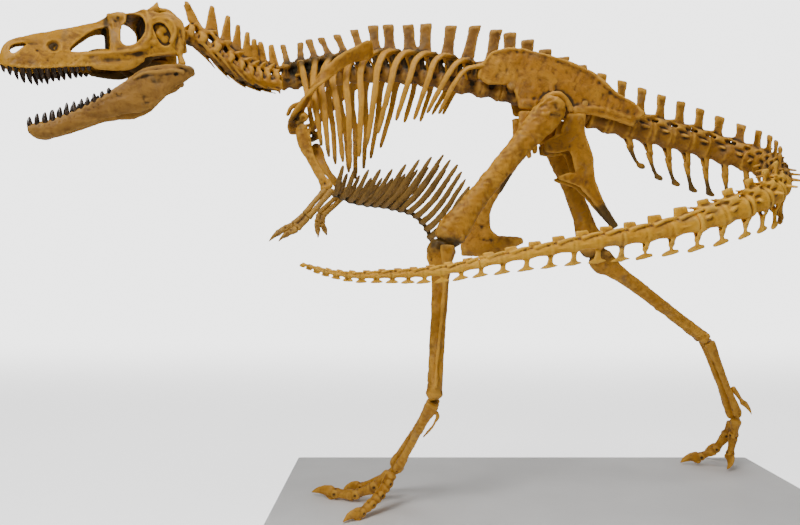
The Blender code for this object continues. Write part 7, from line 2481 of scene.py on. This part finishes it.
@dataclass(frozen=True)
class PaintedWood:
    """Satin pale paint over wood: faint brush lines and soft clouds."""

    name: str = "pale_painted_wood"
    pale: Colour = (0.86, 0.855, 0.84)
    shade: Colour = (0.8, 0.795, 0.78)

    def material(self) -> bpy.types.Material:
        """The material.

        Returns:
            The material.
        """
        material = bpy.data.materials.new(self.name)
        material.use_nodes = True
        material.node_tree.nodes.clear()
        nodes = Nodes(material.node_tree)
        place = nodes.add("TexCoord").outputs["Object"]
        brushed = nodes.add("VectorMath", {0: place, 1: (0.6, 9.0, 9.0)}, operation="MULTIPLY").outputs[0]
        lines = nodes.noise(brushed, 14.0, 5.0, 0.6)
        cloud = nodes.noise(place, 2.2, 3.0)
        colour = nodes.blend(nodes.span(cloud, 0.3, 0.7), (*self.pale, 1.0), (*self.shade, 1.0))
        colour = nodes.blend(nodes.span(lines, 0.35, 0.75, 0.0, 0.25), colour, (*self.shade, 1.0))
        bump = nodes.add("Bump", {"Height": lines, "Strength": 0.25, "Distance": 0.0006})
        shader = nodes.add("BsdfPrincipled", {"Base Color": colour, "Roughness": nodes.span(lines, 0.2, 0.8,
                    0.42, 0.56), "Normal": bump.outputs[0]})
        out = nodes.add("OutputMaterial")
        nodes.tree.links.new(shader.outputs[0], out.inputs[0])
        return material


@dataclass
class Board:
    """The base board: a flat slab whose upper rim is rounded over."""

    length: float = 2.64
    width: float = 1.2
    thickness: float = 0.03
    corner: float = 0.012
    rim: float = 0.006

    def ring(self, inset: float, height: float) -> Array:
        """A rounded rectangle at a height, moved in from the edge: straight sides and quarter circles.

        Args:
            inset: distance in from the edge.
            height: height of the ring.

        Returns:
            One row for each point.
        """
        turn = np.linspace(0.0, TAU, 4 * 12, endpoint=False) + TAU / 96
        signs = np.stack((np.sign(np.cos(turn)), np.sign(np.sin(turn))), -1)
        half = np.array((self.length, self.width)) / 2
        bend = np.stack((np.cos(turn), np.sin(turn)), -1) * max(self.corner - inset, 0.001)
        flat = signs * (half - self.corner) + bend
        return np.column_stack((flat, np.full(len(flat), height)))

    def build(self) -> None:
        """Makes the board."""
        lift = np.linspace(0.0, np.pi / 2, 7)
        rings = [self.ring(0.0015, 0.0), self.ring(0.0, 0.0015)]
        rings += [self.ring(self.rim * (1 - np.cos(a)), self.thickness - self.rim * (1 - np.sin(a)))
            for a in lift]
        rings += [self.ring(inset, self.thickness) for inset in (0.0085, 0.011)]
        points, faces = skin(np.stack(rings))
        dress("base_board", raw_mesh("base_board", points, faces), PaintedWood().material(), ("stand_base",))


@dataclass
class Studio:
    """A pale floor, soft light from all round and the camera."""

    eye: Point = (-0.72, -3.42, 1.18)
    lens: float = 30.6
    floor: Colour = (0.88, 0.88, 0.88)
    air: float = 0.17
    backdrop: float = 3.4
    glow: float = 1.5

    def lay_floor(self) -> None:
        """A wide pale floor under the board."""
        grid = np.array(((-30.0, -30.0, 0.0), (30.0, -30.0, 0.0), (30.0, 30.0, 0.0), (-30.0, 30.0, 0.0)))
        mesh = raw_mesh("studio_floor", grid, np.array(((0, 1, 2, 3),)))
        floor = bpy.data.objects.new("studio_floor", mesh)
        bpy.context.scene.collection.objects.link(floor)
        material = bpy.data.materials.new("floor_paint")
        material.use_nodes = True
        nodes = Nodes(material.node_tree)
        join = nodes.tree.links.new
        shader = material.node_tree.nodes["Principled BSDF"]
        shader.inputs["Base Color"].default_value = (*self.floor, 1.0)
        shader.inputs["Roughness"].default_value = 0.9
        shader.inputs["Specular IOR Level"].default_value = 0.1
        place = nodes.add("SeparateXYZ", {0: nodes.add("TexCoord").outputs["Object"]})
        haze = nodes.span(place.outputs["Y"], 1.2, 9.0)
        seen = nodes.add("LightPath").outputs["Is Camera Ray"]
        level = nodes.span(haze, 0.0, 1.0, self.glow, self.backdrop)
        shine = nodes.add("Emission", {"Strength": nodes.sums("MULTIPLY", seen, level)})
        lit = nodes.add("AddShader", {0: shader.outputs[0], 1: shine.outputs[0]})
        far = nodes.add("Emission", {"Strength": self.backdrop})
        faded = nodes.add("MixShader", {0: nodes.sums("MULTIPLY", seen, haze), 1: lit.outputs[0],
                2: far.outputs[0]})
        join(faded.outputs[0], nodes.tree.nodes["Material Output"].inputs["Surface"])
        mesh.materials.append(material)
        floor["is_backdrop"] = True

    def hang(self, name: str, place: Point, aim: Point, size: float, power: float) -> None:
        """A square soft light.

        Args:
            name: its name.
            place: where it hangs.
            aim: what it points at.
            size: length of its sides.
            power: its power in watts.
        """
        data = bpy.data.lights.new(name, "AREA")
        data.shape = "SQUARE"
        data.size = size
        data.energy = power
        light = bpy.data.objects.new(name, data)
        light.location = place
        light.rotation_euler = (Vector(aim) - Vector(place)).to_track_quat("-Z", "Y").to_euler()
        bpy.context.scene.collection.objects.link(light)

    def build(self) -> None:
        """Sets up floor, light and camera."""
        self.lay_floor()
        self.hang("key_light", (-3.0, -4.6, 4.8), (-0.2, -0.2, 1.5), 1.7, 205.0)
        self.hang("top_light", (0.2, -0.9, 5.6), (0.0, -0.1, 1.2), 2.6, 125.0)
        self.hang("side_light", (4.6, -3.6, 2.6), (0.2, -0.2, 1.3), 3.0, 16.0)
        self.hang("back_light", (1.2, 4.6, 4.4), (0.0, 0.0, 1.4), 3.0, 40.0)
        world = bpy.data.worlds.new("studio_air")
        world.use_nodes = True
        nodes = Nodes(world.node_tree)
        seen = nodes.add("LightPath").outputs["Is Camera Ray"]
        air = world.node_tree.nodes["Background"]
        air.inputs["Color"].default_value = (1.0, 1.0, 1.0, 1.0)
        nodes.tree.links.new(nodes.span(seen, 0.0, 1.0, self.air, self.backdrop), air.inputs["Strength"])
        bpy.context.scene.world = world
        data = bpy.data.cameras.new("camera")
        data.sensor_width = 36.0
        data.lens = self.lens
        data.dof.use_dof = False
        camera = bpy.data.objects.new("camera", data)
        camera.location = self.eye
        camera.rotation_euler = (np.pi / 2, 0.0, 0.0)
        bpy.context.scene.collection.objects.link(camera)
        bpy.context.scene.camera = camera


def corners() -> list[list[float]]:
    """Lowest and highest corner of the shown object, as plain lists."""
    return [[float(value) for value in corner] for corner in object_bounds()]


def main() -> None:
    """Builds the skeleton, its board and the studio."""
    logging.basicConfig(level=logging.INFO, format="%(name)s: %(message)s")
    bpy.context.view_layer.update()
    for part in (Skull(), Jaw(), Neck(), Trunk(), BellyRibs(), Tail(), Hips(), LEFT_ARM, RIGHT_ARM, LEFT_LEG,
            RIGHT_LEG, Board()):
        part.build()
    Studio().build()


if __name__ == "__main__":
    main()
